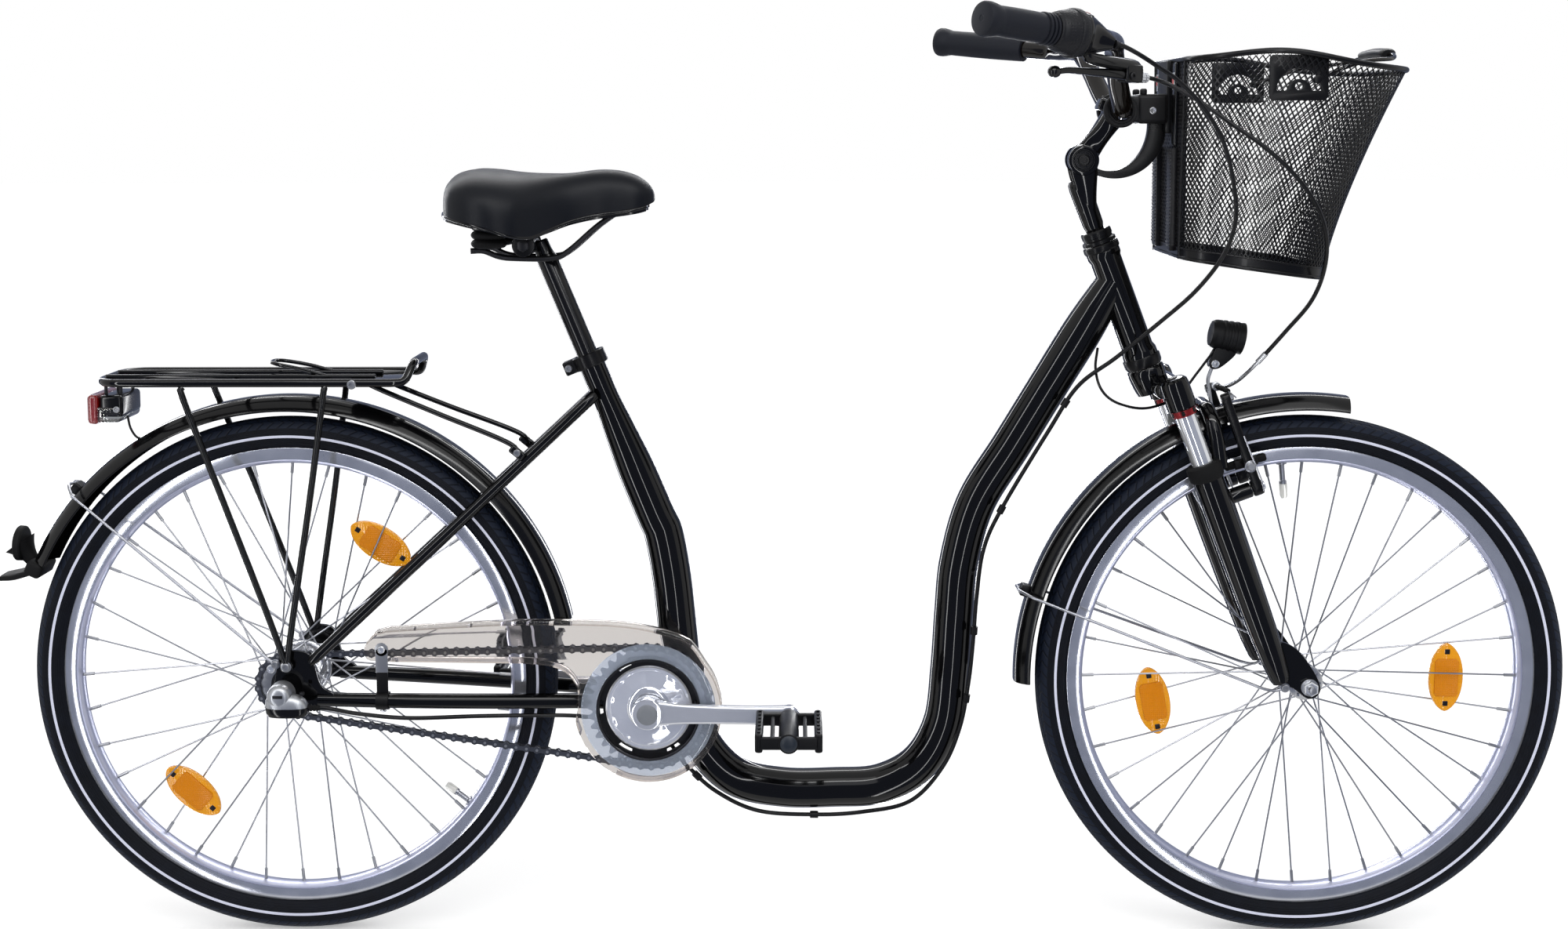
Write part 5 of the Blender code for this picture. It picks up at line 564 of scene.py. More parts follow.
def grid(points: Array, ring_rows: bool = False) -> Surface:
    """Quads over rows and columns of points, each row a ring, with the end rows closed by fans.

    Args:
        points: array of rows, columns and three numbers.
        ring_rows: the last row joins the first, and nothing is closed.

    Returns:
        Points and faces.
    """
    rows, columns = points.shape[:2]
    index = np.arange(rows * columns).reshape(rows, columns)
    index = np.hstack([index, index[:, :1]])
    flat = points.reshape(-1, 3)
    if ring_rows:
        index = np.vstack([index, index[:1]])
    faces = [np.stack([index[:-1, :-1], index[:-1, 1:], index[1:, 1:], index[1:, :-1]], axis=-1).reshape(-1, 4)]
    if not ring_rows:
        flat = np.vstack([flat, points[0].mean(axis=0), points[-1].mean(axis=0)])
        for k, row in enumerate((index[0], index[-1])):
            hub = np.full(columns, rows * columns + k)
            faces.append(np.stack([row[:-1], row[1:], hub], axis=-1))
    return flat, faces


def prisms(ends: Array) -> Surface:
    """Many prisms at once: a quad between each two corners, and both ends.

    Args:
        ends: for each prism its two end outlines.

    Returns:
        Points and faces.
    """
    index = np.arange(ends.size // 3).reshape(ends.shape[:3])
    following = np.roll(index, -1, axis=2)
    quads = np.stack([index[:, 0], following[:, 0], following[:, 1], index[:, 1]], axis=-1).reshape(-1, 4)
    return ends.reshape(-1, 3), [quads, index[:, 0, ::-1].copy(), index[:, 1].copy()]


def square_to(along: Array) -> tuple[Array, Array]:
    """Two directions square to each given one and to each other."""
    first = unit(np.cross(np.eye(3)[np.argmin(np.abs(along), axis=-1)], along))
    return first, np.cross(along, first)


def laid(section: Array, first: Array, second: Array) -> Array:
    """A flat section laid out along two directions, or along each row of them."""
    return section[:, :1] * first[..., None, :] + section[:, 1:] * second[..., None, :]


def revolve(profile: Iterable, place: Array, axis: Array, steps: int = 48, closed: bool = False) -> Surface:
    """A profile turned round an axis: radius times a circle, plus height along the axis.

    Args:
        profile: rows of radius and height.
        place: the axis's zero point.
        axis: its direction.
        steps: points round the circle.
        closed: the profile is a loop, as on a ring.

    Returns:
        Points and faces.
    """
    rows = np.asarray(profile, dtype=float)[:, :, None, None]
    axis = unit(axis)
    return grid(place + rows[:, 0] * laid(oval(steps), *square_to(axis)) + rows[:, 1] * axis, ring_rows=closed)


def steered(profile: Iterable, forward: float = 0.0, side: float = 0.0, steps: int = 48,
            closed: bool = False) -> Surface:
    """A profile turned round the steering axis or a line beside it."""
    return revolve(profile, steer(forward, side, 0), STEER_UP, steps, closed)


def sweep(path: Array, radius: float, sides: int = 16, section: Array | None = None, hint: Array | None = None,
          closed: bool = False) -> Surface:
    """A section carried along a path, square to it; a fourth number on the path scales it.

    The section's first axis is square to the hint and the path, and its second lies near the hint.
    Without a hint it is the direction that the path runs along least.

    Args:
        path: rows of X, Y, Z and perhaps a scale.
        radius: the section's size.
        sides: points round a round section.
        section: points of another section, of size about one.
        hint: a direction that the path never runs along.
        closed: the path is a loop.

    Returns:
        Points and faces.
    """
    middle = path[:, :3]
    if closed:
        along = unit(np.roll(middle, -1, axis=0) - np.roll(middle, 1, axis=0))
    else:
        along = unit(np.gradient(middle, axis=0))
    if hint is None:
        hint = np.linalg.eigh(along.T @ along)[1][:, 0]
    first = unit(np.cross(along, hint))
    offset = laid(oval(sides) if section is None else section, first, np.cross(first, along))
    scale = radius * (path[:, 3, None, None] if path.shape[1] > 3 else 1)
    return grid(middle[:, None] + scale * offset, ring_rows=closed)


def loft(rows: Array, section: Array, first: Array, second: Array) -> Surface:
    """A flat section in the plane of two directions, at each row of X, Y, Z, width and height."""
    size = rows[:, None, 3:5] * section
    return grid(rows[:, None, :3] + size[..., :1] * first + size[..., 1:] * second)


def block(centre: Array, size: Iterable, radius: float, axes: Iterable = (ACROSS, SIDE, UP),
          steps: int = 4) -> Surface:
    """A block with rounded edges: a box's corners plus a ball's direction times the radius.

    Args:
        centre: the middle of the block.
        size: its full size along its three axes.
        radius: the rounding of its edges.
        axes: its three axes.
        steps: facets in each rounded quarter.

    Returns:
        Points and faces.
    """
    half = np.asarray(size, dtype=float) / 2
    radius = min(radius, half.min() * 0.999)
    quarter = np.linspace(0, 0.25, steps + 1)
    turn = (np.arange(4)[:, None] * 0.25 + quarter).ravel() * TAU
    corner = np.repeat([(1, 1), (-1, 1), (-1, -1), (1, -1)], steps + 1, axis=0)
    rise = np.concatenate([quarter - 0.25, quarter])[:, None] * TAU
    level = np.repeat([-1, 1], steps + 1)[:, None]
    x = (half[0] - radius) * corner[:, 0] + radius * np.cos(rise) * np.cos(turn)
    y = (half[1] - radius) * corner[:, 1] + radius * np.cos(rise) * np.sin(turn)
    z = np.broadcast_to((half[2] - radius) * level + radius * np.sin(rise), x.shape)
    return grid(centre + np.stack([x, y, z], axis=-1) @ unit(np.asarray(axes)))


def rod(start: Array, end: Array, radius: float, sides: int = 32, edge: float = 0.6,
        tip: float | None = None) -> Surface:
    """A round bar between two points, with eased edges and perhaps another radius at its end.

    Args:
        start: middle of its first end.
        end: middle of its other end.
        radius: its radius.
        sides: points round it.
        edge: how far its edges are eased.
        tip: another radius at its end.

    Returns:
        Points and faces.
    """
    length = float(np.linalg.norm(end - start))
    last = radius if tip is None else tip
    edge = min(edge, radius * 0.4, last * 0.4, length * 0.3)
    profile = [(0, 0), (radius - edge, 0), (radius - 0.3 * edge, 0.3 * edge), (radius, edge),
               (last, length - edge), (last - 0.3 * edge, length - 0.3 * edge), (last - edge, length), (0, length)]
    return revolve(profile, start, end - start, sides)


def pin(place: Array, axis: Array, start: float, end: float, radius: float, sides: int = 32,
        edge: float = 0.6) -> Surface:
    """A round bar along an axis through a place, from one distance along it to another."""
    return rod(place + axis * start, place + axis * end, radius, sides, edge)


def plate(outline: Iterable, thickness: float, centre: Array, across: Array = ACROSS, up: Array = UP,
          holes: Iterable = (), edge: float = 0.0) -> Surface:
    """A sheet from a flat outline with holes, with eased edges, placed in the plane of two axes.

    Args:
        outline: rows of two numbers along the axes.
        thickness: the sheet's thickness.
        centre: the outline's zero point, at mid thickness.
        across: the first axis.
        up: the second axis.
        holes: further outlines.
        edge: the rounding of the edges.

    Returns:
        Points and faces.
    """
    curve = bpy.data.curves.new("flat_outline", "CURVE")
    curve.dimensions, curve.fill_mode, curve.bevel_resolution = "2D", "BOTH", 2
    curve.extrude = (thickness / 2 - edge) * METRES
    curve.bevel_depth = edge * METRES
    curve.offset = -edge * METRES
    for loop in (outline, *holes):
        rows = np.asarray(loop, dtype=float) * METRES
        spline = curve.splines.new("POLY")
        spline.points.add(len(rows) - 1)
        spline.points.foreach_set("co", np.column_stack([rows, np.zeros(len(rows)), np.ones(len(rows))]).ravel())
        spline.use_cyclic_u = True
    holder = bpy.data.objects.new("flat_outline", curve)
    bpy.context.scene.collection.objects.link(holder)
    mesh = bpy.data.meshes.new_from_object(holder.evaluated_get(bpy.context.evaluated_depsgraph_get()))
    mesh.calc_loop_triangles()
    points = np.empty(len(mesh.vertices) * 3)
    mesh.vertices.foreach_get("co", points)
    faces = np.empty(len(mesh.loop_triangles) * 3, dtype=np.int32)
    mesh.loop_triangles.foreach_get("vertices", faces)
    bpy.data.objects.remove(holder)
    bpy.data.curves.remove(curve)
    bpy.data.meshes.remove(mesh)
    across, up = unit(across), unit(up)
    return centre + points.reshape(-1, 3) / METRES @ (across, up, np.cross(across, up)), [faces.reshape(-1, 3)]


def bars(starts: Array, ends: Array, radius: float, sides: int = 6) -> Surface:
    """Many straight round bars at once: each end's centre plus a circle square to the bar.

    Args:
        starts: one row for each bar.
        ends: one row for each bar.
        radius: their radius.
        sides: points round each.

    Returns:
        Points and faces.
    """
    circle = radius * laid(oval(sides), *square_to(unit(ends - starts)))
    return prisms(np.stack([starts[:, None] + circle, ends[:, None] + circle], axis=1))


def screw_head(place: Array, axis: Array, radius: float, height: float) -> Surface:
    """A socket screw's head: a domed disc with a sunken middle."""
    shares = [(0, 0.45), (0.45, 0.45), (0.48, 1), (0.8, 1), (0.96, 0.78), (1, 0.4), (1, 0), (0, 0)]
    return revolve(np.array(shares) * (radius, height), place, axis, 24)


def hex_nut(place: Array, axis: Array, radius: float, height: float) -> Surface:
    """A six-sided nut with a chamfered top."""
    return revolve(np.array([(0, 1), (0.86, 1), (1, 0.86), (1, 0), (0, 0)]) * (radius, height), place, axis, 6)


class Shape:
    """One piece in the making: surfaces gathered in bike coordinates, then joined as one mesh."""

    def __init__(self, name: str) -> None:
        """Start a piece under its name.

        Args:
            name: the piece's name.
        """
        self.name = name
        self.points: list[Array] = []
        self.faces: list[tuple[Array, int]] = []
        self.finishes: list[Finish] = []
        self.count = 0

    def add(self, finish: Finish, *surfaces: Surface) -> "Shape":
        """Gather surfaces that share a finish.

        Args:
            finish: their finish.
            surfaces: points and faces of each.

        Returns:
            The piece itself, so that calls can follow each other.
        """
        if finish not in self.finishes:
            self.finishes.append(finish)
        number = self.finishes.index(finish)
        for points, faces in surfaces:
            self.points.append(points)
            self.faces.extend((part + self.count, number) for part in faces)
            self.count += len(points)
        return self

    def build(self, body: str, slot: str, *replaces: str, sharp: float = 32.0,
              follow: tuple = ()) -> bpy.types.Object:
        """Join the surfaces, place them in the shared frame and tie the piece to its body, unless follow is given.

        Args:
            body: the CAD body that carries it.
            slot: the record's material slot; not used.
            replaces: the CAD nodes that it stands for.
            sharp: the angle in degrees above which an edge stays crisp.
            follow: a second body and two places; only whether it is given is used, and then the piece stays untied in
                the shared frame.

        Returns:
            The finished object.
        """
        mesh = bpy.data.meshes.new(self.name)
        points = np.vstack(self.points) * METRES + BIKE_SHIFT
        sizes = np.concatenate([np.full(len(part), part.shape[1]) for part, _ in self.faces])
        corners = np.concatenate([part.ravel() for part, _ in self.faces]).astype(np.int32)
        slots = np.concatenate([np.full(len(part), number) for part, number in self.faces]).astype(np.int32)
        mesh.vertices.add(len(points))
        mesh.vertices.foreach_set("co", points.astype(np.float32).ravel())
        mesh.loops.add(len(corners))
        mesh.loops.foreach_set("vertex_index", corners)
        mesh.polygons.add(len(sizes))
        mesh.polygons.foreach_set("loop_start", np.concatenate(([0], np.cumsum(sizes)[:-1])).astype(np.int32))
        mesh.polygons.foreach_set("material_index", slots)
        mesh.update(calc_edges=True)
        bm = bmesh.new()
        bm.from_mesh(mesh)
        bmesh.ops.remove_doubles(bm, verts=bm.verts, dist=0.000001)
        bmesh.ops.recalc_face_normals(bm, faces=bm.faces)
        bm.to_mesh(mesh)
        bm.free()
        mesh.shade_smooth()
        mesh.set_sharp_from_angle(angle=math.radians(sharp))
        for finish in self.finishes:
            mesh.materials.append(finish.material())
        item = bpy.data.objects.new(self.name, mesh)
        bpy.context.scene.collection.objects.link(item)
        if follow:
            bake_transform(item)
        else:
            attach(item, body)
        if replaces:
            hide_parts(*replaces)
        LOG.info("%s: %d points on %s", self.name, len(mesh.vertices), body)
        return item


# Wheels


@dataclass
class Wheel:
    """One wheel: tyre, rim, laced spokes, hub, valve and two amber reflectors."""

    end: str
    axle: Array
    flange_radius: float
    flange_offset: float
    hub_profile: Iterable
    valve_angle: float
    valve_inner: float
    reflectors: tuple
    rim_radius: float = 285.5
    rim_half: float = 12.5
    spoke_radius: float = 1.05
    spokes_per_flange: int = 18
    cross_angle: float = 60.0

    def tyre(self) -> None:
        """Section: a rounded casing, r = 303 + 20 cos a and h = 21.3 sin a, grooved on the crown."""
        a = np.radians(np.linspace(-127, 127, 61))
        h = 21.3 * np.sin(a)
        groove = sum(np.exp(-(((np.abs(h) - at) / 0.9) ** 2)) for at in (5, 11.5))
        r = 303 + 20 * np.cos(a) - 1.1 * groove * (np.cos(a) > 0)
        bead = doubled([(286, 10.9), (277.5, 10.6), (279, 8), (290, 12), (303, 18.5), (319, 6)], shared=False)
        profile = np.vstack([np.stack([r, h], axis=-1), bead])
        Shape(self.end + "_tyre_smooth").add(
            TYRE_RUBBER[self.end], revolve(profile, self.axle, -SIDE, 180, closed=True)).build(
            self.end + "_wheel", "tyre", self.end + "_tyre", sharp=50)

    def rim(self) -> None:
        """Box-section rim with two machined tracks."""
        half, top = self.rim_half, (self.rim_radius, 0)
        box = doubled([(-8, 9.5), (-14.8, half - 0.5), (-15.5, half), (-17, half - 0.6), (-19, 8), (-20, 4.5),
                       (-20.2, 0)])
        track = np.array([(-14.5, half), (-0.5, half), (0, half - 0.4), (0, half - 1.4), (-7, half - 1.6),
                          (-14.5, half - 1.2)]) + top
        piece = Shape(self.end + "_rim_smooth").add(RIM_ALLOY, revolve(box + top, self.axle, -SIDE, 180, closed=True))
        for sign in (1, -1):
            piece.add(BRAKE_TRACK, revolve(track * (1, sign), self.axle, -SIDE, 180, closed=True))
        piece.build(self.end + "_wheel", "rim_alloy", self.end + "_rim", sharp=40)

    def hub(self) -> None:
        """Turned shell, spokes with their elbows, and nipples; each spoke leans on or back by turns."""
        number = np.tile(np.arange(self.spokes_per_flange), 2)
        sign = np.repeat([-1, 1], self.spokes_per_flange)
        lead = 1 - 2 * (number % 2)
        start = 360 / self.spokes_per_flange * (number + 0.5 * (sign > 0))
        heads = around(self.axle, start, self.flange_radius - 4.5, sign * (self.flange_offset + lead * 1.6))
        tips = around(self.axle, start + lead * self.cross_angle, self.rim_radius - 20.2, sign * 3)
        outward = unit(tips - heads)
        piece = Shape(self.end + "_hub_and_spokes")
        piece.add(HUB_ALLOY, revolve(self.hub_profile, self.axle, -SIDE, 64, closed=True))
        piece.add(STAINLESS, bars(heads, tips - outward * 4, self.spoke_radius, 8),
                  bars(heads - SIDE * 3.5 * sign[:, None], heads + SIDE * 3.5 * sign[:, None], 1.7, 8))
        piece.add(ZINC, bars(tips - outward * 14, tips + outward, 2, 8))
        piece.build(self.end + "_wheel", "steel", self.end + "_hub", sharp=40)

    def valve(self) -> None:
        """Metal valve stem with its lock ring, and a cloudy cap that points at the hub."""
        base = self.rim_radius - 19.5
        root = around(self.axle, self.valve_angle, base)
        inward = unit(self.axle - root)
        length = base - self.valve_inner
        stem = [(0, 0), (6.2, 0), (6.2, 2.2), (4, 3), (3.3, 3.6), (3.3, length * 0.5), (4.4, length * 0.52),
                (4.4, length * 0.6), (3, length * 0.62), (0, length * 0.62)]
        cap = np.array([(0, 0.58), (4.7, 0.6), (4.9, 0.64), (4.5, 0.92), (3.2, 1), (0, 1)]) * (1, length)
        Shape(self.end + "_valve").add(STAINLESS, revolve(stem, root, inward, 24)).add(
            CLOUDY, revolve(cap, root, inward, 24)).build(self.end + "_wheel", "steel")

    def reflector(self, number: int, centre: tuple[float, float]) -> None:
        """Oval, 85 by 42 mm: half height = 20.8 (1 - |x / 42.5|^2.2)^0.62, its long side along the tyre.

        Args:
            number: its number on the wheel.
            centre: its X and Z.
        """
        x = 42.5 * np.sin(np.linspace(-0.5, 0.5, 25) * math.pi)
        rise = 20.8 * np.clip(1 - np.abs(x / 42.5) ** 2.2, 0, 1) ** 0.62
        outline = np.vstack([np.stack([x, -rise], axis=-1), np.stack([x[-2:0:-1], rise[-2:0:-1]], axis=-1)])
        place = spot(centre[0], -1.5, centre[1])
        radial = unit(place * (1, 0, 1) - self.axle)
        along = np.cross(SIDE, radial)
        middle = doubled([(-23.5, -11), (-20, -14.5), (20, -14.5), (23.5, -11)], shared=False)
        piece = Shape(f"{self.end}_spoke_reflector_{number}")
        piece.add(AMBER_PRISM, plate(middle, 10, place, along, radial, edge=1))
        piece.add(AMBER, plate(outline, 6.6, place, along, radial, edge=1.8))
        for shift in (-32.5, 32.5):
            piece.add(DARK_STEEL, block(place + along * shift, (6.5, 7.8, 6.5), 1, (along, SIDE, radial)))
        piece.build(self.end + "_wheel", "black_plastic")

    def build(self) -> None:
        """Make every part of the wheel."""
        self.tyre()
        self.rim()
        self.hub()
        self.valve()
        for number, centre in enumerate(self.reflectors):
            self.reflector(number, centre)


@dataclass
class Axle:
    """A threaded axle with its lock nuts, washers and outer nuts."""

    name: str
    axle: Array
    dropout_half: float
    right_end: float
    left_end: float
    body: str

    def build(self) -> None:
        """Rod, two lock nuts inside the dropouts and two nuts outside them."""
        face = self.dropout_half + 5.8
        piece = Shape(self.name + "_smooth")
        piece.add(ZINC, pin(self.axle, SIDE, self.left_end, -self.right_end, 4.6, 20))
        for sign in (-1, 1):
            out = SIDE * sign
            piece.add(ZINC, pin(self.axle, out, face, face + 1.8, 10.5, 32, 0.3))
            piece.add(CHROME, hex_nut(self.axle + out * (face + 1.8), out, 9.2, 8.5))
            piece.add(DARK_STEEL, pin(self.axle, out, self.dropout_half - 5.2, self.dropout_half - 0.6, 7.8, 6, 0.4))
        piece.build(self.body, "steel", self.name, sharp=35)


# Frame


@dataclass
class Frame:
    """The welded tubes: one big bent tube, head tube, stays, dropouts and the seat clamp."""

    main_radius: float = 24.0
    seat_radius: float = 16.0
    shell_radius: float = 20.5
    shell_half: float = 34.0
    dropout_half: float = 58.0
    dropout_thickness: float = 5.5

    def main_tube(self) -> None:
        """A round section carried down the seat tube, under the step and up to the head tube."""
        narrow = self.seat_radius / self.main_radius
        down = [(0, narrow), (-30, narrow), (-60, narrow), (-115, 0.84), (-155, 0.95), (-215, 0.98)]
        low = [(455.5, 500), (465, 445), (472.5, 370), (480, 300), (499, 238.5), (541, 193.5), (600, 179.5),
               (665, 179.5),
               (722, 184), (770, 211), (798.5, 262), (807, 330), (811.5, 400), (817.5, 465), (838, 538.7),
               (881.2, 610),
               (924.4, 681.8), (967, 752)]
        route = [*((*seat(up), share) for up, share in down), *((x, 0, z, 1) for x, z in low), (1001, 0, 808.5, 0.8)]
        half, radius = self.shell_half, self.shell_radius
        shell = doubled([(0, -half), (17.5, -half), (radius - 0.8, -half), (radius, 0.8 - half)], shared=False)
        Shape("main_tube_smooth").add(
            ENAMEL, sweep(smooth(route, 8), self.main_radius, 56, hint=SIDE),
            revolve(shell, BRACKET, SIDE, 56)).build(
            "frame", "black_paint", "main_tube")

    def head_tube(self) -> None:
        """Straight tube with flared ends and the two pressed bearing cups."""
        tube = [(0, 577), (20, 577), (20.6, 575.5), (20.6, 570), (19, 566), (19, 452), (21.2, 447), (21.4, 440),
                (0, 440)]
        top = [(0, 585.5), (20.5, 585.5), (21.8, 584), (22, 579), (21.2, 577), (0, 577)]
        low = [(0, 440), (22.2, 440), (23, 438), (22.8, 430), (21.5, 426.8), (0, 426.8)]
        Shape("head_tube_smooth").add(ENAMEL, steered(tube, steps=56)).add(
            SATIN_BLACK, steered(top, steps=56), steered(low, steps=56)).build("frame", "black_paint", "head_tube")

    def chainstay(self, side: str, sign: int) -> None:
        """Tapered tube, oval towards the bracket, with its flat dropout.

        Args:
            side: right or left.
            sign: minus one on the right, one on the left.
        """
        rows = [(415.5, 23.5, 296.5, 1.15), (385, 26.5, 297, 1.12), (350, 31, 298.5, 1.08), (260, 43, 301.5, 1.08),
                (150, 53, 305, 1.05), (40, 59, 308.5, 0.95)]
        outline = rounded([(-12, 6), (-10, -10), (10, -18), (52, -22), (60, -14), (58, -6), (44, 4), (36, 30),
                           (28, 44), (6, 46), (-6, 34)], 3)
        middle = REAR_AXLE + SIDE * sign * (self.dropout_half + self.dropout_thickness / 2)
        Shape(f"chainstay_{side}_smooth").add(
            ENAMEL, sweep(smooth(on_side(rows, sign), 8), 8.6, 32),
            plate(outline, self.dropout_thickness, middle, edge=0.6)).build(
            "frame", "black_paint", "chainstay_" + side)

    def seatstay(self, side: str, sign: int) -> None:
        """Slim tube from the seat tube's flank, flattened where it meets the dropout.

        Args:
            side: right or left.
            sign: minus one on the right, one on the left.
        """
        rows = [(372.5, 18, 672, 1), (369, 22.5, 669, 1), (330, 30, 632.5, 1), (240, 40, 548.5, 1), (130, 50, 446, 1),
                (45.5, 60.8, 367.2, 0.95), (32, 61, 354.8, 0.7)]
        Shape(f"seatstay_{side}_smooth").add(ENAMEL, sweep(smooth(on_side(rows, sign), 8), 7.2, 28)).build(
            "frame", "black_paint", "seatstay_" + side)

    def seat_clamp(self) -> None:
        """Split collar with two lugs and a silver socket bolt behind it."""
        inner, outer, half = 16.4, 20.8, 8.5
        profile = doubled([(inner, half), (outer - 1, half), (outer, half - 1)], shared=False)
        centre = seat(-6.5)
        back = unit(np.cross(SEAT_UP, SIDE))
        piece = Shape("seat_clamp_smooth").add(SATIN_BLACK, revolve(profile, centre, SEAT_UP, 56, closed=True))
        for sign in (-1, 1):
            lug = centre + back * (outer + 4) + SIDE * sign * 5
            piece.add(SATIN_BLACK, block(lug, (16, 7.8, 2 * half), 2.2, (back, SIDE, SEAT_UP)))
        bolt = centre + back * (outer + 6)
        piece.add(ZINC, pin(bolt, SIDE, -11, 12.5, 2.6, 16), screw_head(bolt - SIDE * 8.8, -SIDE, 4.5, 4),
                  hex_nut(bolt + SIDE * 8.8, SIDE, 4.6, 3.5))
        piece.build("frame", "black_alloy", "seat_clamp")

    def build(self) -> None:
        """Make every tube of the frame."""
        self.main_tube()
        self.head_tube()
        for side, sign in RIGHT_AND_LEFT:
            self.chainstay(side, sign)
            self.seatstay(side, sign)
        self.seat_clamp()


# Saddle


@dataclass
class Seat:
    """Padded cover, gloss shell with steel rails, two ribbed rubber bumpers, and the post."""

    # Each section's X, half width, top, skirt and belly
    stations: Iterable = (
        (195.8, 14, 912, 898.5, 901), (197.5, 30, 924, 896, 900), (203, 58, 933, 893, 898.5),
        (215, 78, 943, 890.5, 898.5),
        (235, 92, 948, 886, 898.5), (260, 98, 947, 880, 899), (285, 92, 944, 872, 899), (305, 77, 943, 869, 899),
        (325, 60, 943, 876, 899.5), (350, 43, 944, 886, 900), (380, 33, 946, 893, 901), (405, 30, 944.5, 896, 902.5),
        (425, 27, 939, 899, 904), (438, 21, 931, 902, 907), (445.5, 13, 922, 905.5, 910), (447.8, 5, 915, 909, 911))
    clamp: tuple = (292.5, 0, 855.9)
    drum_radius: float = 12.5
    rail_radius: float = 3.5

    def cover(self) -> None:
        """Crowned foam: y = half cos a, z = skirt + (top - skirt) sin(a)^0.62, less a soft middle channel."""
        x, half, top, skirt, belly = smooth(self.stations, 3).T[:, :, None]
        a = np.linspace(0, math.pi, 61)
        y = half * np.cos(a)
        channel = 4.5 * np.clip((half - 30) / 20, 0, 1) * np.exp(-((y / 12) ** 2))
        z = skirt + (top - skirt - channel) * np.sin(a) ** 0.62
        share = np.linspace(-1, 1, 31)[1:-1]
        y = np.hstack([y, half * share * 0.97])
        z = np.hstack([z, belly + (skirt - belly) * np.abs(share) ** 2.2])
        made = Shape("saddle_cover_smooth").add(VINYL, grid(places(x, y, z))).build(
            "saddle", "saddle_vinyl", "saddle_cover", sharp=60)

    def base(self) -> None:
        """Shell under the cover with a rolled lip, and two rails bent from one wire each."""
        x, half, _, skirt, belly = smooth(self.stations, 4)[6:-6].T
        share = np.linspace(-0.95, 0.95, 25)
        under = belly[:, None] + (skirt - belly)[:, None] * np.abs(share) ** 2.2 - 3
        upper = places(x[:, None], half[:, None] * share, under)
        piece = Shape("saddle_base_and_rails")
        piece.add(GLOSS_ABS, grid(np.concatenate([upper, upper[:, ::-1] - UP * 4], axis=1)))
        rail = [(408, 12, 897.5), (380, 17, 878), (345, 21, 848), (325, 22, 839.9), (280, 22, 839.9),
                (262, 26, 842.5),
                (245, 32, 849.5), (230, 34, 849.5)]
        for sign in (-1, 1):
            piece.add(GLOSS_ABS, sweep(places(x, sign * half * 0.972, skirt - 1.2), 2.2, 12, hint=UP))
            piece.add(DARK_STEEL, sweep(smooth(on_side(rail, sign), 4), self.rail_radius, 16, hint=SIDE))
            piece.add(ABS_BLACK, block(spot(406, sign * 12, 896.5), (16, 13, 11), 3))
        piece.build("saddle", "saddle_shell", "saddle_base")

    def bumpers(self) -> None:
        """Three rounded ribs, r = 17.2 + 4.3 |sin|^0.7, on a disc, and a strip that joins the two."""
        low, high = 853.3, 884
        t = np.linspace(0, 1, 49)
        ribs = np.stack([17.2 + 4.3 * np.abs(np.sin(3 * math.pi * t)) ** 0.7, low + (high - low) * t], axis=-1)
        piece = Shape("saddle_bumpers_ribbed")
        for sign in (-1, 1):
            foot = spot(252, sign * 33, 0)
            piece.add(RUBBER, revolve([(0, low), *ribs, (0, high)], foot, UP, 40))
            piece.add(ABS_BLACK, pin(foot, UP, low - 0.6, low + 2, 15))
        piece.add(RUBBER, block(spot(252, 0, 881.5), (16, 50, 4), 1.5)).build("saddle", "rubber", "saddle_bumpers")

    def post(self) -> None:
        """Post with a crimped neck, rail clamp drum, side plates and the clamp bolt."""
        profile = [(0, 150), (8.5, 150), (10, 148), (10.4, 136), (11.2, 131), (12.7, 127), (12.7, -164), (11.8, -165),
                   (0, -165)]
        drum = spot(*self.clamp)
        piece = Shape("seatpost_smooth").add(GLOSS_ABS, revolve(profile, SEAT_ORIGIN, SEAT_UP))
        piece.add(SATIN_BLACK, pin(drum, SIDE, -30, 30, self.drum_radius, 40, 1.5),
                  block((drum + seat(140)) / 2, (24, 18, 14), 4))
        for sign in (-1, 1):
            out = SIDE * sign
            piece.add(SATIN_BLACK, pin(drum, out, 29, 32.2, 13.8, 40, 1.2))
            piece.add(DARK_STEEL, hex_nut(drum + out * 31.8, out, 7.8, 4.2))
        piece.build("seatpost_body", "black_alloy", "seatpost")

    def build(self) -> None:
        """Make the saddle and its post."""
        self.cover()
        self.base()
        self.bumpers()
        self.post()


# Rack, tail light and mudguards


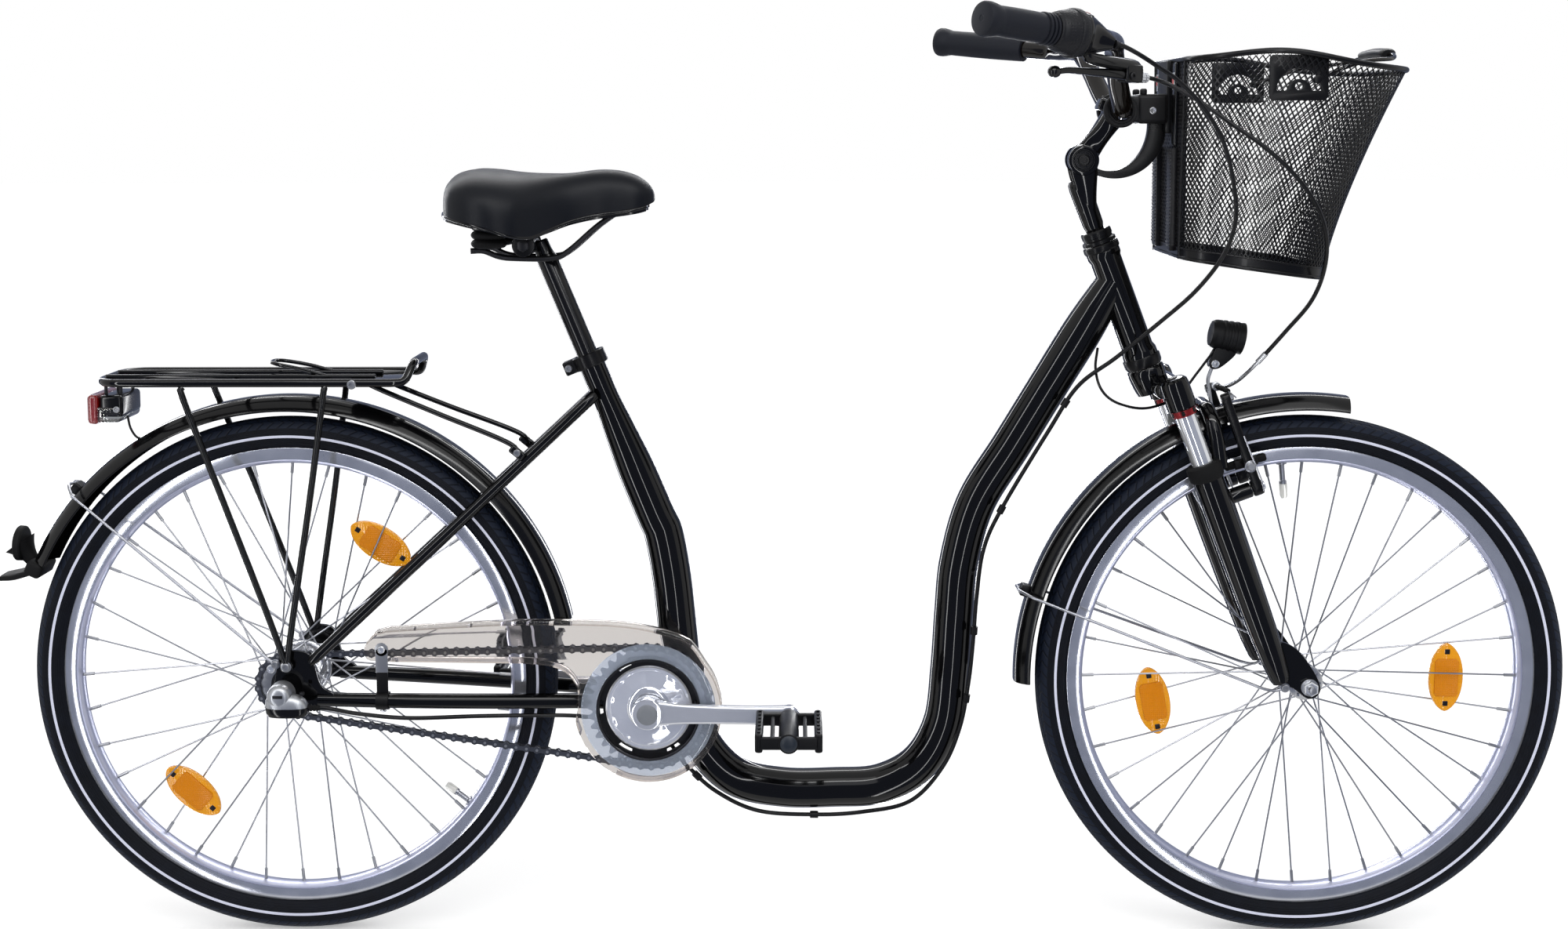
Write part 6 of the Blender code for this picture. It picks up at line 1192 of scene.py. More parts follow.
@dataclass
class Rack:
    """Rod deck with its spring clip, a pair of legs on each side, and the tail light."""

    height: float = 694.0
    half_width: float = 57.0
    rear: float = -218.0
    front: float = 155.0
    rod_radius: float = 5.0
    wire_radius: float = 3.2

    def deck(self) -> None:
        """One closed rod, three cross wires, two inner wires, the front plate, stays and the clip."""
        h, w, front, corner = self.height, self.half_width, self.front, 30
        turned = arc((self.rear + corner, corner - w), corner, -90, -180, 12)
        loop = doubled([(front - 20, -w, h), *((x, y, h) for x, y in turned)], shared=False)
        hoop = bent(doubled([(front - 20, w, h), (front - 4, 50, h), (front + 4, 36, h + 22)], shared=False), 10)
        piece = Shape("rack_deck_smooth")
        piece.add(ENAMEL, sweep(np.vstack([loop, hoop[1:-1]]), self.rod_radius, 20, hint=UP, closed=True))
        for x in (self.rear + 50, -60, 30):
            piece.add(ENAMEL, pin(spot(x, 0, h - 1.2), SIDE, 1 - w, w - 1, self.wire_radius, 16))
        for side in (-21, 21):
            piece.add(ENAMEL, pin(spot(0, side, h + 3), ACROSS, self.rear + 0.7, 110, self.wire_radius, 16))
        piece.add(ENAMEL, block(spot(112, 0, h - 1.5), (62, 2 * w - 3, 4), 1.2))
        stay = [(98, 30, h - 2.5), (125, 30.5, h - 15), (188, 33.5, 653), (270, 40, 620), (287, 41.8, 604.2)]
        for sign in (-1, 1):
            out = SIDE * sign
            path = smooth(on_side(stay, sign), 6)
            end = path[-1] + spot(-4, 0, 3)
            piece.add(ENAMEL, sweep(path, self.wire_radius, 16, hint=SIDE),
                      block(end, (20, 6, 11), 2.5, (spot(0.77, 0, -0.64), SIDE, spot(0.64, 0, 0.77))))
            piece.add(ZINC, screw_head(end + out * 3, out, 4.5, 3.5),
                      screw_head(spot(90, sign * (w + 4.5), h - 1.5), out, 5.5, 4))
        clip = doubled([(52, -21, h + 3), (20, -21, h + 12), (-12, -17, h + 18), (-20, 0, h + 19)])
        piece.add(ENAMEL, sweep(smooth(clip, 4), 2.4, 14, hint=UP)).build("frame", "black_paint", "rack_deck")

    def legs(self, side: str, sign: int) -> None:
        """Two rods from the rack down to one flat eye beside the dropout, with a silver screw.

        Args:
            side: right or left.
            sign: minus one on the right, one on the left.
        """
        foot, top = spot(5.5, 70.5, 352.5), self.height - self.rod_radius - 0.5
        piece = Shape(f"rack_legs_{side}_smooth")
        for top_x, mid_x, lean in ((-114, -66, 2), (56.5, 37.2, -2)):
            rows = [foot, (foot[0] + 0.35 * (mid_x - foot[0]), 69, 425), (mid_x, 66, 552),
                    (top_x + lean, 60, top - 14),
                    (top_x, self.half_width, top)]
            piece.add(ENAMEL, sweep(smooth(on_side(rows, sign), 6), 4, 16, hint=SIDE))
        foot, out = foot * (1, sign, 1), SIDE * sign
        piece.add(ENAMEL, pin(foot, out, -2.5, 2.5, 7.8, 28))
        piece.add(ZINC, pin(foot, out, -6.4, 3, 3, 16), pin(foot, out, 2.4, 3.4, 6.4, 28, 0.3),
                  screw_head(foot + out * 3.2, out, 5, 3.2)).build("frame", "black_paint", "rack_legs_" + side)

    def tail_light(self) -> None:
        """Black housing under the rack: red lens behind, clear strip beside it, and four hanging wires."""
        piece = Shape("tail_light_housing")
        for finish, x, z, size, radius in (
                (GLOSS_ABS, -208.5, 662.5, (28, 70, 27), 5), (CLEAR_LENS, -216, 653, (40, 74, 20), 6),
                (CAST_SILVER, -208.5, 656, (24, 66, 18), 3), (RED_LENS, -230, 659, (13, 76, 36), 5)):
            piece.add(finish, block(spot(x, 0, z), size, radius))
        for x, top in ((self.rear, self.height - 4.5), (self.rear + 18, self.height - 0.5)):
            for side in (-21, 21):
                piece.add(DARK_STEEL, pin(spot(x, side, 0), UP, 666, top, 2.1, 14))
        for sign in (-1, 1):
            piece.add(ZINC, screw_head(spot(-201, sign * 35, 659), SIDE * sign, 4, 2.2))
        piece.build("frame", "lamp_red", "tail_light")
        lead = smooth([(-196, -12, 648), (-193, -12, 633), (-186, -10, 621), (-178, -6, 620)], 4)
        Shape("tail_light_lead").add(CABLE, sweep(lead, 1.4, 12)).build("frame", "black_plastic")

    def build(self) -> None:
        """Make the rack and the light under it."""
        self.deck()
        for side, sign in RIGHT_AND_LEFT:
            self.legs(side, sign)
        self.tail_light()


@dataclass
class Mudguard:
    """One mudguard with its clip and its silver wire stay."""

    end: str
    axle: Array
    start: float
    finish: float
    clip_angle: float
    foot: list[Array]
    body: str
    radius: float = 350.0
    half: float = 26.0
    sheet: float = 1.4
    wire: float = 1.8
    clip_height: float = 9.0

    def guard(self) -> None:
        """Section: r = radius - 16.5 (|y| / half)^3.2, with rolled edges, carried round the wheel."""
        y = self.half * np.sin(np.linspace(-0.5, 0.5, 33) * math.pi)
        r = self.radius - self.sheet - 16.5 * (np.abs(y) / self.half) ** 3.2
        turn = np.linspace(-2.8, 0.6, 7)
        edge = np.stack([self.half + 1.1 * np.cos(turn), r[-1] + 0.6 + 1.1 * np.sin(turn)], axis=-1)
        inner = np.stack([y, r], axis=-1)[1:-1]
        outer = (inner * (1 + self.sheet / self.half, 1) + (0, self.sheet))[::-1]
        section = np.vstack([inner, edge, outer, (edge * (-1, 1))[::-1]])
        angle = np.linspace(self.start, self.finish, 90)[:, None]
        radial = around(0, self.clip_angle, 1)
        clip = block(around(self.axle, self.clip_angle, self.radius + 3.4), (11.2, 20, 14), 2.8,
                     (radial, SIDE, np.cross(SIDE, radial)))
        Shape(self.end + "_mudguard_smooth").add(
            GUARD_BLACK, grid(around(self.axle, angle, section[:, 1], section[:, 0]))).add(ABS_BLACK, clip).build(
            self.body, "guard_paint", self.end + "_mudguard")

    def stay(self) -> None:
        """Wire from an eye at each dropout to one loop over the clip, with its two screws."""
        loop = self.radius + self.clip_height + self.wire + 0.3
        flank, shoulder, top = (around(self.axle, self.clip_angle, loop + rise, side)
                                for rise, side in ((-16, self.half + 7.2), (0.2, 13.5), (0.2, 0)))
        last = self.foot[-1]
        left = [*self.foot, last + (flank - last) * 0.1, last + (flank - last) * 0.92, flank, shoulder, top]
        piece = Shape(self.end + "_mudguard_stay_wire").add(
            STAINLESS, sweep(smooth(doubled(left), 5), self.wire, 12, hint=unit(np.cross(SIDE, top - last))))
        for sign in (-1, 1):
            eye, out = self.foot[0] * (1, sign, 1), SIDE * sign
            ring = [(3, -1.8), (5.6, -1.8), (6, 0), (5.6, 1.8), (3, 1.8)]
            piece.add(STAINLESS, revolve(ring, eye, out, 24, closed=True))
            piece.add(ZINC, screw_head(eye + out * 1.4, out, 4.6, 3), pin(eye, out, -3, 2, 2.8, 14))
        piece.build(self.body, "steel", self.end + "_mudguard_stay")

    def build(self) -> None:
        """Make the guard and its stay."""
        self.guard()
        self.stay()


@dataclass
class GuardEnd:
    """Rubber end piece of the rear mudguard: socket, reflector cone and mud flap."""

    angle: float = 155.0
    radius: float = 350.0

    def build(self) -> None:
        """Cone: radius grows as the way out to the power 2.2, like a trumpet; the flap is a bent tongue."""
        along, radial = around(0, self.angle + 90, 1), around(0, self.angle, 1)
        centre = around(REAR_AXLE, self.angle, self.radius) + along * 9.8 - radial * 6.5
        face, tilt = spot(-339, 0, 488), spot(-1, 0, 0.06)
        root = centre + radial * 6
        length = float(np.linalg.norm(face - root))
        t = np.linspace(0, 1, 17)
        horn = np.stack([8 + 12 * t**2.2, length * t], axis=-1)
        dish = [(0, -6.5), (20, -6.5), (21.4, -5), (21.6, 1), (20.8, 2), (19, 2), (18.6, 0.8), (0, 0.8)]
        lens = [(0, 1.8), (12, 1.6), (18.4, 1), (18.4, 0), (0, 0)]
        flap = smooth([(*(centre + along * 4), 20, 5), (-318, 0, 456, 24, 4.5), (-340, 0, 449.5, 24, 4.2),
                       (-359.5, 0, 446.5, 17, 3.6)], 3)
        Shape("mudguard_end_piece").add(
            RUBBER, block(centre, (19, 50, 21), 5, (along, SIDE, radial)),
            revolve([(0, 0), *horn, (0, length)], root, face - root, 40), revolve(dish, face, tilt)).add(
            RED_LENS, revolve(lens, face, tilt)).add(RUBBER, loft(flap, oval(24, power=0.5), SIDE, UP)).build(
            "frame", "rubber", "rear_reflector")


# Drive


@dataclass
class Drive:
    """Chainring with its chrome disc, cranks, pedals, sprocket, chain, guard, strap and shift box."""

    pitch: float = 12.7
    ring_teeth: int = 36
    sprocket_teeth: int = 18
    chain_line: float = 44.0
    disc_radius: float = 52.5
    crank_length: float = 170.0
    crank_angle: float = -1.2
    crank_inner: float = 62.0
    crank_outer: float = 75.0
    guard_face: float = -57.5
    guard_back: float = -33.0
    guard_wall: float = 1.8

    def pitch_radius(self, teeth: int) -> float:
        """Radius of the circle that the chain's pins run on."""
        return self.pitch / (2 * math.sin(math.pi / teeth))

    def teeth(self, count: int) -> Array:
        """Outline r = pitch radius + 2.7 (clipped cosine of the tooth number), so roots are round."""
        wave = np.clip(np.cos(np.linspace(0, count * TAU, count * 8, endpoint=False)) * 1.35, -1, 0.9)
        return (self.pitch_radius(count) + 2.7 * wave)[:, None] * oval(count * 8)

    def dish(self, place: Array) -> Surface:
        """Pressed disc: a shallow cone whose height also steps with the angle, which makes ten wedge facets.

        Args:
            place: the disc's middle.

        Returns:
            Points and faces.
        """
        r = np.concatenate([np.linspace(19.2, 47.5, 15), np.linspace(47, 19.2, 4)])[:, None]
        seen = np.arange(len(r))[:, None] < 15
        saw = np.abs(np.mod(np.linspace(0, 5, 240, endpoint=False) + 0.18, 1) * 2 - 1)
        press = np.clip((r - 22.5) / 10, 0, 1) * np.clip((46.2 - r) / 3, 0, 1)
        rise = np.where(seen, 4 - 2.2 * (r - 19.2) / 28.3 + 3.4 * press * (saw - 0.5), -1.4)
        return grid(place + r[..., None] * upright(oval(240), 0) - rise[..., None] * SIDE, ring_rows=True)

    def chainring(self) -> None:
        """Toothed plate with six arc slots, pressed chrome disc with wedge facets, and its raised rim."""
        front = BRACKET - SIDE * self.chain_line
        slots = [np.vstack([arc((0, 0), 60, middle - 9, middle + 9, 9), arc((0, 0), 56, middle + 8, middle - 8, 9)])
                 for middle in range(0, 360, 60)]
        r, disc = self.disc_radius, front - SIDE * 3.1
        rim = [(r - 6.2, 2), (r - 5, 3.4), (r - 2, 3.6), (r, 2), (r - 1, -2), (r - 6, -2)]
        boss = [(19.2, 0), (26.8, 0), (26.2, 4), (23.5, 5.8), (20, 6.2), (19.2, 6)]
        piece = Shape("chainring_and_disc")
        piece.add(DARK_STEEL, plate(arc((0, 0), 64, 0, 356, 90), 3.4, front,
                                    holes=[arc((0, 0), 49, 0, 354, 60), *slots], edge=0.3))
        piece.add(POLISHED_ALLOY, plate(self.teeth(self.ring_teeth), 2.4, front, holes=[arc((0, 0), 63, 0, 354, 60)],
                                        edge=0.3))
        piece.add(PRESSED_CHROME, self.dish(disc), revolve(rim, disc, -SIDE, 120, closed=True))
        piece.add(CHROME, revolve(boss, disc, -SIDE, 96, closed=True)).build("crank", "chrome", "chainring", sharp=28)

    def sprocket(self) -> None:
        """Rear sprocket with its snap ring."""
        place = REAR_AXLE - SIDE * self.chain_line
        snap = [(17, 1.1), (20.5, 1.1), (20.5, 2.2), (17, 2.2)]
        piece = Shape("sprocket_toothed")
        piece.add(ZINC, plate(self.teeth(self.sprocket_teeth), 2.2, place, holes=[arc((0, 0), 17, 0, 352, 45)],
                              edge=0.3))
        piece.add(DARK_STEEL, revolve(snap, place, -SIDE, closed=True)).build("sprocket_body", "steel", "sprocket")

    def chain(self) -> None:
        """Links carried along the loop: each plate is a figure of eight, and rollers sit on the pins."""
        ring, rear = BRACKET[[0, 2]], REAR_AXLE[[0, 2]]
        big, small = self.pitch_radius(self.ring_teeth), self.pitch_radius(self.sprocket_teeth)
        span = ring - rear
        slope = math.degrees(math.atan2(span[1], span[0]))
        lean = 90 + math.degrees(math.asin((big - small) / float(np.linalg.norm(span))))
        loop = np.vstack([arc(ring, big, slope - lean, slope + lean, 181),
                          arc(rear, small, slope + lean, slope - lean + 360, 91)])
        loop = np.vstack([loop, loop[:1]])
        gone = travelled(loop)
        links = 2 * round(gone[-1] / self.pitch / 2)
        want = np.arange(links) * gone[-1] / links
        pins = np.stack([np.interp(want, gone, column) for column in loop.T], axis=-1)
        step = np.roll(pins, -1, axis=0) - pins
        reach = float(np.linalg.norm(step, axis=1).mean())
        along = unit(step)
        outline = np.vstack([arc((reach, 0), 4.4, -143, 143, 7), arc((0, 0), 4.4, 37, 323, 7)])
        flat = pins[:, None] + laid(outline, along, along[:, ::-1] * (-1, 1))
        piece = Shape("chain_of_links")
        for sign in (-1, 1):
            layer = sign * np.where(np.arange(links) % 2, 2.5, 3.6)[:, None] - self.chain_line
            piece.add(CHAIN_STEEL, prisms(np.stack([places(flat[..., 0], layer + shift, flat[..., 1])
                                                    for shift in (-0.5, 0.5)], axis=1)))
        middle = upright(pins, -self.chain_line)
        piece.add(CHAIN_STEEL, bars(middle - SIDE * 2, middle + SIDE * 2, 3.8, 10))
        piece.add(ZINC, bars(middle - SIDE * 4.5, middle + SIDE * 4.5, 1.8, 8))
        piece.build("frame", "chain_steel", "chain", sharp=30)

    def pedal_place(self, sign: int) -> Array:
        """Centre of a pedal's pin; the right crank points forward and the left one back."""
        return around(BRACKET, self.crank_angle, -sign * self.crank_length)

    def crank(self, side: str, sign: int) -> None:
        """Forged arm: an oval section that slims from the boss to the pedal's eye, with a grey cap.

        Args:
            side: right or left.
            sign: minus one on the right, one on the left.
        """
        out, forward, eye = SIDE * sign, around(0, self.crank_angle, -sign), self.pedal_place(sign)
        inner, outer = self.crank_inner, self.crank_outer
        arm = BRACKET + out * (inner + outer) / 2
        rows = [(0, 1.24, 1), (18, 1.16, 1), (40, 0.98, 0.97), (80, 0.88, 0.92), (120, 0.86, 0.9), (150, 0.92, 0.95),
                (170, 1, 1)]
        path = smooth([(*(arm + forward * x), tall, deep) for x, tall, deep in rows], 4)
        section = oval(40, (outer - inner) / 2, 12.8, 0.55)[:, ::-1]
        cap = [(0, 1.8), (6, 1.7), (11.8, 1), (12.8, 0), (0, 0)]
        piece = Shape(f"crank_{side}_forged")
        piece.add(CRANK_ALLOY, loft(path, section, np.cross(forward, out) * -sign, out),
                  pin(eye, out, inner, outer, 12.8, 40, 2), pin(BRACKET, out, 36, outer + 2.8, 18.9, 48, 1.8))
        piece.add(GREY_CAP, revolve(cap, BRACKET + out * (outer + 2.6), out, 40))
        piece.add(ZINC, pin(eye, out, outer - 2, outer + 88, 4.8, 20), pin(eye, out, outer - 2, outer + 3, 7.4, 6))
        if sign > 0:
            piece.add(DARK_STEEL, pin(BRACKET, out, 38, -40, 8.4, 24))
        piece.build("crank", "chrome", "crank_" + side, sharp=40)

    def pedal(self, side: str, sign: int) -> None:
        """Resin platform: two ribbed bars, two end plates, a thick barrel with a domed end, and grip pegs.

        Args:
            side: right or left.
            sign: minus one on the right, one on the left.
        """
        out = SIDE * sign
        centre = self.pedal_place(sign) + out * (self.crank_outer + 51.5)
        piece = Shape(f"pedal_{side}_platform")
        for shift, size, radius in ((ACROSS * 34.5, (9, 95, 22), 2.5), (SIDE * 44.5, (70, 6, 15), 2),
                                    (ACROSS * 19, (5, 88, 10), 1.5)):
            piece.add(ABS_BLACK, block(centre - shift, size, radius), block(centre + shift, size, radius))
        pegs = centre + np.array([(x, y, 0) for x in (-34.5, 34.5) for y in np.linspace(-40, 40, 7)])
        piece.add(ABS_BLACK, bars(pegs - UP * 12.4, pegs + UP * 12.4, 2.1, 8),
                  pin(centre, out, -47, 48.5, 11.8, 32, 1))
        dome = [(0, 0), (4, -0.3), (8.5, -1.6), (10.8, -4), (0, -4.5)]
        piece.add(SLATE_CAP, revolve(dome, centre + out * 51.5, out, 32)).build(
            side + "_pedal", "black_plastic", "pedal_" + side)

    def guard_outline(self) -> Array:
        """Side outline of the chain guard, smoothed between its corner places.

        Returns:
            Rows of X and Z.
        """
        nose = arc((BRACKET[0], BRACKET[2] - 1), 88.5, -150, 35, 40)
        top = [(511.5, 344.7), (490, 375), (460, 388), (425, 396), (380, 400), (280.7, 400.9), (180.4, 396),
               (120, 392)]
        tail = [(111.3, 391.2), (101, 380), (96, 369), (98.5, 359), (106, 354.5)]
        low = [(120, 354.3), (240, 352.8), (291.3, 352), (323.4, 348), (342, 339), (353, 322), (354, 300), (351, 280),
               (357, 260)]
        return np.vstack([nose, *(smooth(rows, 4)[1:-1] for rows in (top, tail, low))])

    def guard(self) -> None:
        """Clear face with a round hole, a frosted ring round it, and the rim wall where it isn't cut away."""
        outline = self.guard_outline()
        hole = arc(BRACKET[[0, 2]], 62, 0, 356, 90)
        piece = Shape("chain_guard_clear")
        piece.add(SMOKE, plate(outline, self.guard_wall, SIDE * (self.guard_face + self.guard_wall / 2), holes=[hole],
                               edge=0.4))
        inward = unit(np.roll(outline, -1, axis=0) - np.roll(outline, 1, axis=0))[:, ::-1] * (-1, 1)
        cuts = (((374, 238), (25, 25)), ((95, 362), (30, 13)), ((360, 298), (25, 15)))
        gap = np.any([(np.abs(outline - middle) < half).all(axis=1) for middle, half in cuts], axis=0)
        first = int(np.argmax(gap))
        kept = np.roll(~gap, -first)
        rows = np.roll(np.stack([outline, outline + inward * self.guard_wall]), -first, axis=1)
        edges = np.flatnonzero(np.diff(kept.astype(int))) + 1
        face = self.guard_face + 0.4
        for start, stop in zip(edges[::2], np.append(edges[1::2], len(kept))):
            outer, inner = rows[:, start:stop]
            run = ((outer, face), (outer, self.guard_back), (inner, self.guard_back), (inner, face))
            piece.add(SMOKE, grid(np.stack([upright(row, side) for row, side in run], axis=1)))
        centre = BRACKET + SIDE * (self.guard_face - 0.1)
        ring = [(63, 0.6), (64.5, 1.1), (80, 1), (81.5, 0.3), (81.5, 0), (63, 0)]
        lip = [(60.4, -1.6), (60.4, 1), (61.2, 1.5), (62.6, 1.5), (63, 0.8), (62.2, -1.6)]
        piece.add(SMOKE_RING, revolve(ring, centre, -SIDE, 120, closed=True))
        piece.add(DARK_STEEL, revolve(lip, centre, -SIDE, 120, closed=True)).build(
            "frame", "guard_clear", "chain_guard", sharp=40)

    def strap(self) -> None:
        """Band round the chainstay, bent up to the guard and held there by one screw."""
        x, inner, face = 117.5, 9.7, self.guard_face - 1.1
        stay, screw = spot(x, -54.8, 306), spot(x, face, 370)
        band = [(inner, 7.5), (inner + 1.3, 7.5), (inner + 1.3, -7.5), (inner, -7.5)]
        Shape("chain_guard_strap_bent").add(
            ABS_BLACK, revolve(band, stay, ACROSS, closed=True),
            block(spot(x, face + 1.6, 329), (14, 1.6, 30), 0.7)).add(
            ZINC, block(spot(x, face, 356), (15, 1.4, 29), 0.6), pin(screw, SIDE, -0.7, 0.7, 8.2, 32, 0.2)).add(
            CHROME, screw_head(screw - SIDE * 0.6, -SIDE, 4.6, 3),
            screw_head(stay - UP * (inner + 1), -UP, 4, 3)).build(
            "frame", "steel", "chain_guard_strap")

    def shift_box(self) -> None:
        """Silver dome over a rounded silver body on a black base, with the cable's ribbed boot."""
        y = -93
        piece = Shape("shift_box_smooth")
        for x, z in ((-14.3, 348.4), (4.8, 353.2)):
            piece.add(CHROME, screw_head(spot(x, -65.5, z), -SIDE, 5.2, 3.4))
        base = [(298.2, 0.7), (299, 0.86), (303, 0.97), (308.5, 1), (310, 0.97)]
        body = [(308.8, 0.9), (309.6, 0.96), (312, 0.97), (318, 0.9), (322.5, 0.74), (325, 0.48), (325.6, 0.2)]
        for finish, rows, lean in ((GLOSS_ABS, base, 0), (CAST_SILVER, body, 0.25)):
            levels = np.array([(11.5 - lean * (z - 308.8), y, z, share, share) for z, share in rows])
            piece.add(finish, loft(levels, oval(48, 26.2, 13, 0.75), ACROSS, SIDE))
        dome = arc((0, 0), 1, 0, 90, 15) ** (0.5, 1) * (15.3, 12.8) + (0, 13)
        piece.add(CAST_SILVER, revolve([(0, 0), (15.3, 0), *dome, (0, 25.8)], spot(3, -80, 323), -SIDE))
        piece.add(DARK_STEEL, block(spot(3, -105.4, 325), (12, 1.2, 4), 0.5),
                  pin(spot(29, y, 324), UP, 0, 3.8, 3, 20))
        t = np.linspace(0, 1, 41)
        boot = np.stack([4 - 0.8 * t + 0.5 * np.sin(t * TAU * 4), 16 * t], axis=-1)
        piece.add(RUBBER, revolve([(0, 0), *boot, (0, 16)], spot(34.5, y, 308.5), ACROSS, 24)).build(
            "frame", "rim_alloy", "shift_box")

    def build(self) -> None:
        """Make the whole drive."""
        self.chainring()
        self.sprocket()
        self.chain()
        for side, sign in RIGHT_AND_LEFT:
            self.crank(side, sign)
            self.pedal(side, sign)
        self.guard()
        self.strap()
        self.shift_box()


# Fork, front brake and headlamp


@dataclass
class Fork:
    """Suspension fork: crown with steerer, chrome stanchions, lower legs, brake arms and headlamp."""

    forward: float = 18.7
    half_spacing: float = 54.0
    stanchion_radius: float = 12.7
    socket_bottom: float = 372.9
    socket_top: float = 411.0
    leg_top: float = 302.0
    brake_forward: float = 72.0
    brake_up: float = 248.7
    brake_half: float = 40.0

    def crown(self) -> None:
        """Cast crown: a broad shoulder from the lower bearing to both sockets, and the top lock nuts."""
        low, top = self.socket_bottom, self.socket_top
        race = [(0, 425.6), (21.2, 425.6), (22.4, 423.6), (22.8, 418), (21.5, 404), (19.5, 394), (0, 393)]
        cap = [(0, low), (16.5, low), (17.8, low + 1.5), (17.8, top - 9), (16.8, top - 3.5), (13.5, top - 0.5),
               (8, top),
               (0, top)]
        lock = [(0, 586.2), (15, 586.4), (20.5, 586.6), (20.5, 590.5), (19, 591.5), (17.8, 592), (17.8, 594.5),
                (18.6, 595), (18.6, 601), (17.2, 603), (0, 603)]
        shoulder = block(steer(13, 0, 399.5), (36, 108, 20), 9.5, (STEER_FORWARD, SIDE, STEER_UP), 6)
        piece = Shape("fork_crown_smooth").add(ENAMEL, steered(race, steps=56), shoulder)
        for sign in (-1, 1):
            y = sign * self.half_spacing
            piece.add(ENAMEL, steered(cap, self.forward, y))
            piece.add(ABS_BLACK, pin(steer(self.forward, y, 0), STEER_UP, top - 0.4, top + 0.8, 7))
        piece.add(SATIN_BLACK, steered(lock, steps=56)).build("fork", "black_paint", "fork_crown")

    def stanchion(self, side: str, sign: int) -> None:
        """Chrome tube with the red seal ring and its six lugs right under its socket.

        Args:
            side: right or left.
            sign: minus one on the right, one on the left.
        """
        r, y = self.stanchion_radius, sign * self.half_spacing
        ring = [(r, 364), (r + 1.8, 364.5), (r + 2.2, 366.5), (r + 2.2, 372.6), (r, 372.6)]
        piece = Shape(f"stanchion_{side}_chromed")
        piece.add(CHROME, steered([(0, 200), (r, 200), (r, 372.6), (0, 372.6)], self.forward, y))
        piece.add(RED_ANODISED, steered(ring, self.forward, y, closed=True))
        for a in np.arange(6) * TAU / 6 + 0.3:
            out = STEER_FORWARD * math.cos(a) + SIDE * math.sin(a)
            piece.add(ABS_BLACK, block(steer(self.forward, y, 369) + out * (r + 1.6), (2.4, 4, 6), 0.6,
                                       (out, np.cross(STEER_UP, out), STEER_UP)))
        piece.build("fork", "chrome", "stanchion_" + side)

    def lower(self) -> None:
        """Lower legs with their rubber wipers, the arch over the tyre, brake bosses and dropouts."""
        top, bore = self.leg_top, self.stanchion_radius + 0.3
        leg = [(0, top - 18), (18.4, top - 18), (18.7, top - 24), (18.6, 200), (17.8, 120), (17, 85), (15, 48),
               (12.8, 25),
               (10.5, 18), (0, 16.5)]
        wiper = [(bore, top), (18.5, top), (20.8, top - 2), (21.4, top - 8), (21, top - 17), (19, top - 20),
                 (bore, top - 20)]
        arch = doubled([(38, 50, 288), (45, 46, 320), (49, 38, 344), (50, 24, 356.7), (50, 12, 357.5),
                        (50, 0, 357.5)])
        dropout = rounded([(-10, 60), (12, 66), (30, 50), (40, 20), (42, -4), (34, -14), (22, -12), (10, 6),
                           (-8, 22)], 3)
        piece = Shape("fork_lower_cast")
        piece.add(ENAMEL, sweep(smooth([steer(*row) for row in arch], 4), 7.2, section=oval(28, 0.86, 1.25),
                                hint=STEER_FORWARD))
        for sign in (-1, 1):
            y, boss = sign * self.half_spacing, steer(0, sign * self.brake_half, self.brake_up)
            piece.add(ENAMEL, steered(leg, self.forward, y)).add(RUBBER, steered(wiper, self.forward, y, closed=True))
            piece.add(ENAMEL, pin(boss, STEER_FORWARD, 26, self.brake_forward - 7.5, 9.2, 28, 1.5),
                      plate(dropout, 5.5, steer(self.forward, sign * 52.75, 0), STEER_FORWARD, STEER_UP, edge=0.8))
            piece.add(ZINC, pin(boss, STEER_FORWARD, self.brake_forward - 10, self.brake_forward + 8.5, 3.9, 16))
            rib = [steer(self.forward + ahead, y, up) for ahead, up in ((18, 260), (16.8, 180), (15, 100))]
            piece.add(ENAMEL, sweep(smooth(rib, 10), 2.6, 12, hint=SIDE))
        piece.build("fork_slider", "black_paint", "fork_lower")

    def brake_arm(self, side: str, sign: int) -> None:
        """Long arm with its pad in a rounded shoe, pivot bolt, spring wire, cable bolt and pad bolt.

        Args:
            side: right or left.
            sign: minus one on the right, one on the left.
        """
        half, up, front, out = self.brake_half, self.brake_up, self.brake_forward, SIDE * sign
        low, head = arc((half, up), 10, 170, 370, 17), arc((half + 4, up + 116), 5.8, 0, 180, 13)
        outer = smooth([low[-1], (48.7, up + 45), (50, up + 80), head[0]], 6)[1:-1]
        inner = smooth([head[-1], (37.2, up + 80), (35.2, up + 45), low[0]], 6)[1:-1]
        outline = np.vstack([low, outer, head, inner]) * (sign, 1)
        pad_radius, ahead = 278.5, front - 48
        pad_up = math.sqrt(pad_radius**2 - ahead**2)
        along = unit(STEER_FORWARD * pad_up - STEER_UP * ahead)
        axes = (along, SIDE, np.cross(along, SIDE))
        pad, bolt = (steer(front, sign * y, pad_up) for y in (19.5, 47))
        root, tip = steer(front, sign * half, up), steer(front + 5, sign * 44, up + 115)
        spring = [steer(front + a, sign * b, up + c) for a, b,
                  c in ((4.5, 52, -4), (5.8, 54.5, 10), (5, 52, 40), (4.6, 49, 66))]
        piece = Shape(f"brake_arm_{side}_forged")
        piece.add(SATIN_BLACK, plate(outline, 10.6, steer(front, 0, 0), SIDE, STEER_UP, edge=2.2))
        piece.add(RUBBER, block(pad, (52, 9.8, 9.6), 3, axes))
        piece.add(ABS_BLACK, block(pad + out * 3.5, (30, 6, 12), 2.8, axes))
        piece.add(ZINC, pin(pad, out, 0, 31.5, 3, 16), pin(bolt, out, 1, 4, 7.2, 32, 0.5),
                  hex_nut(bolt + out * 4, out, 5.2, 4.2))
        piece.add(ABS_BLACK, pin(root, STEER_FORWARD, -6.5, 6.6, 9.8, 36, 2))
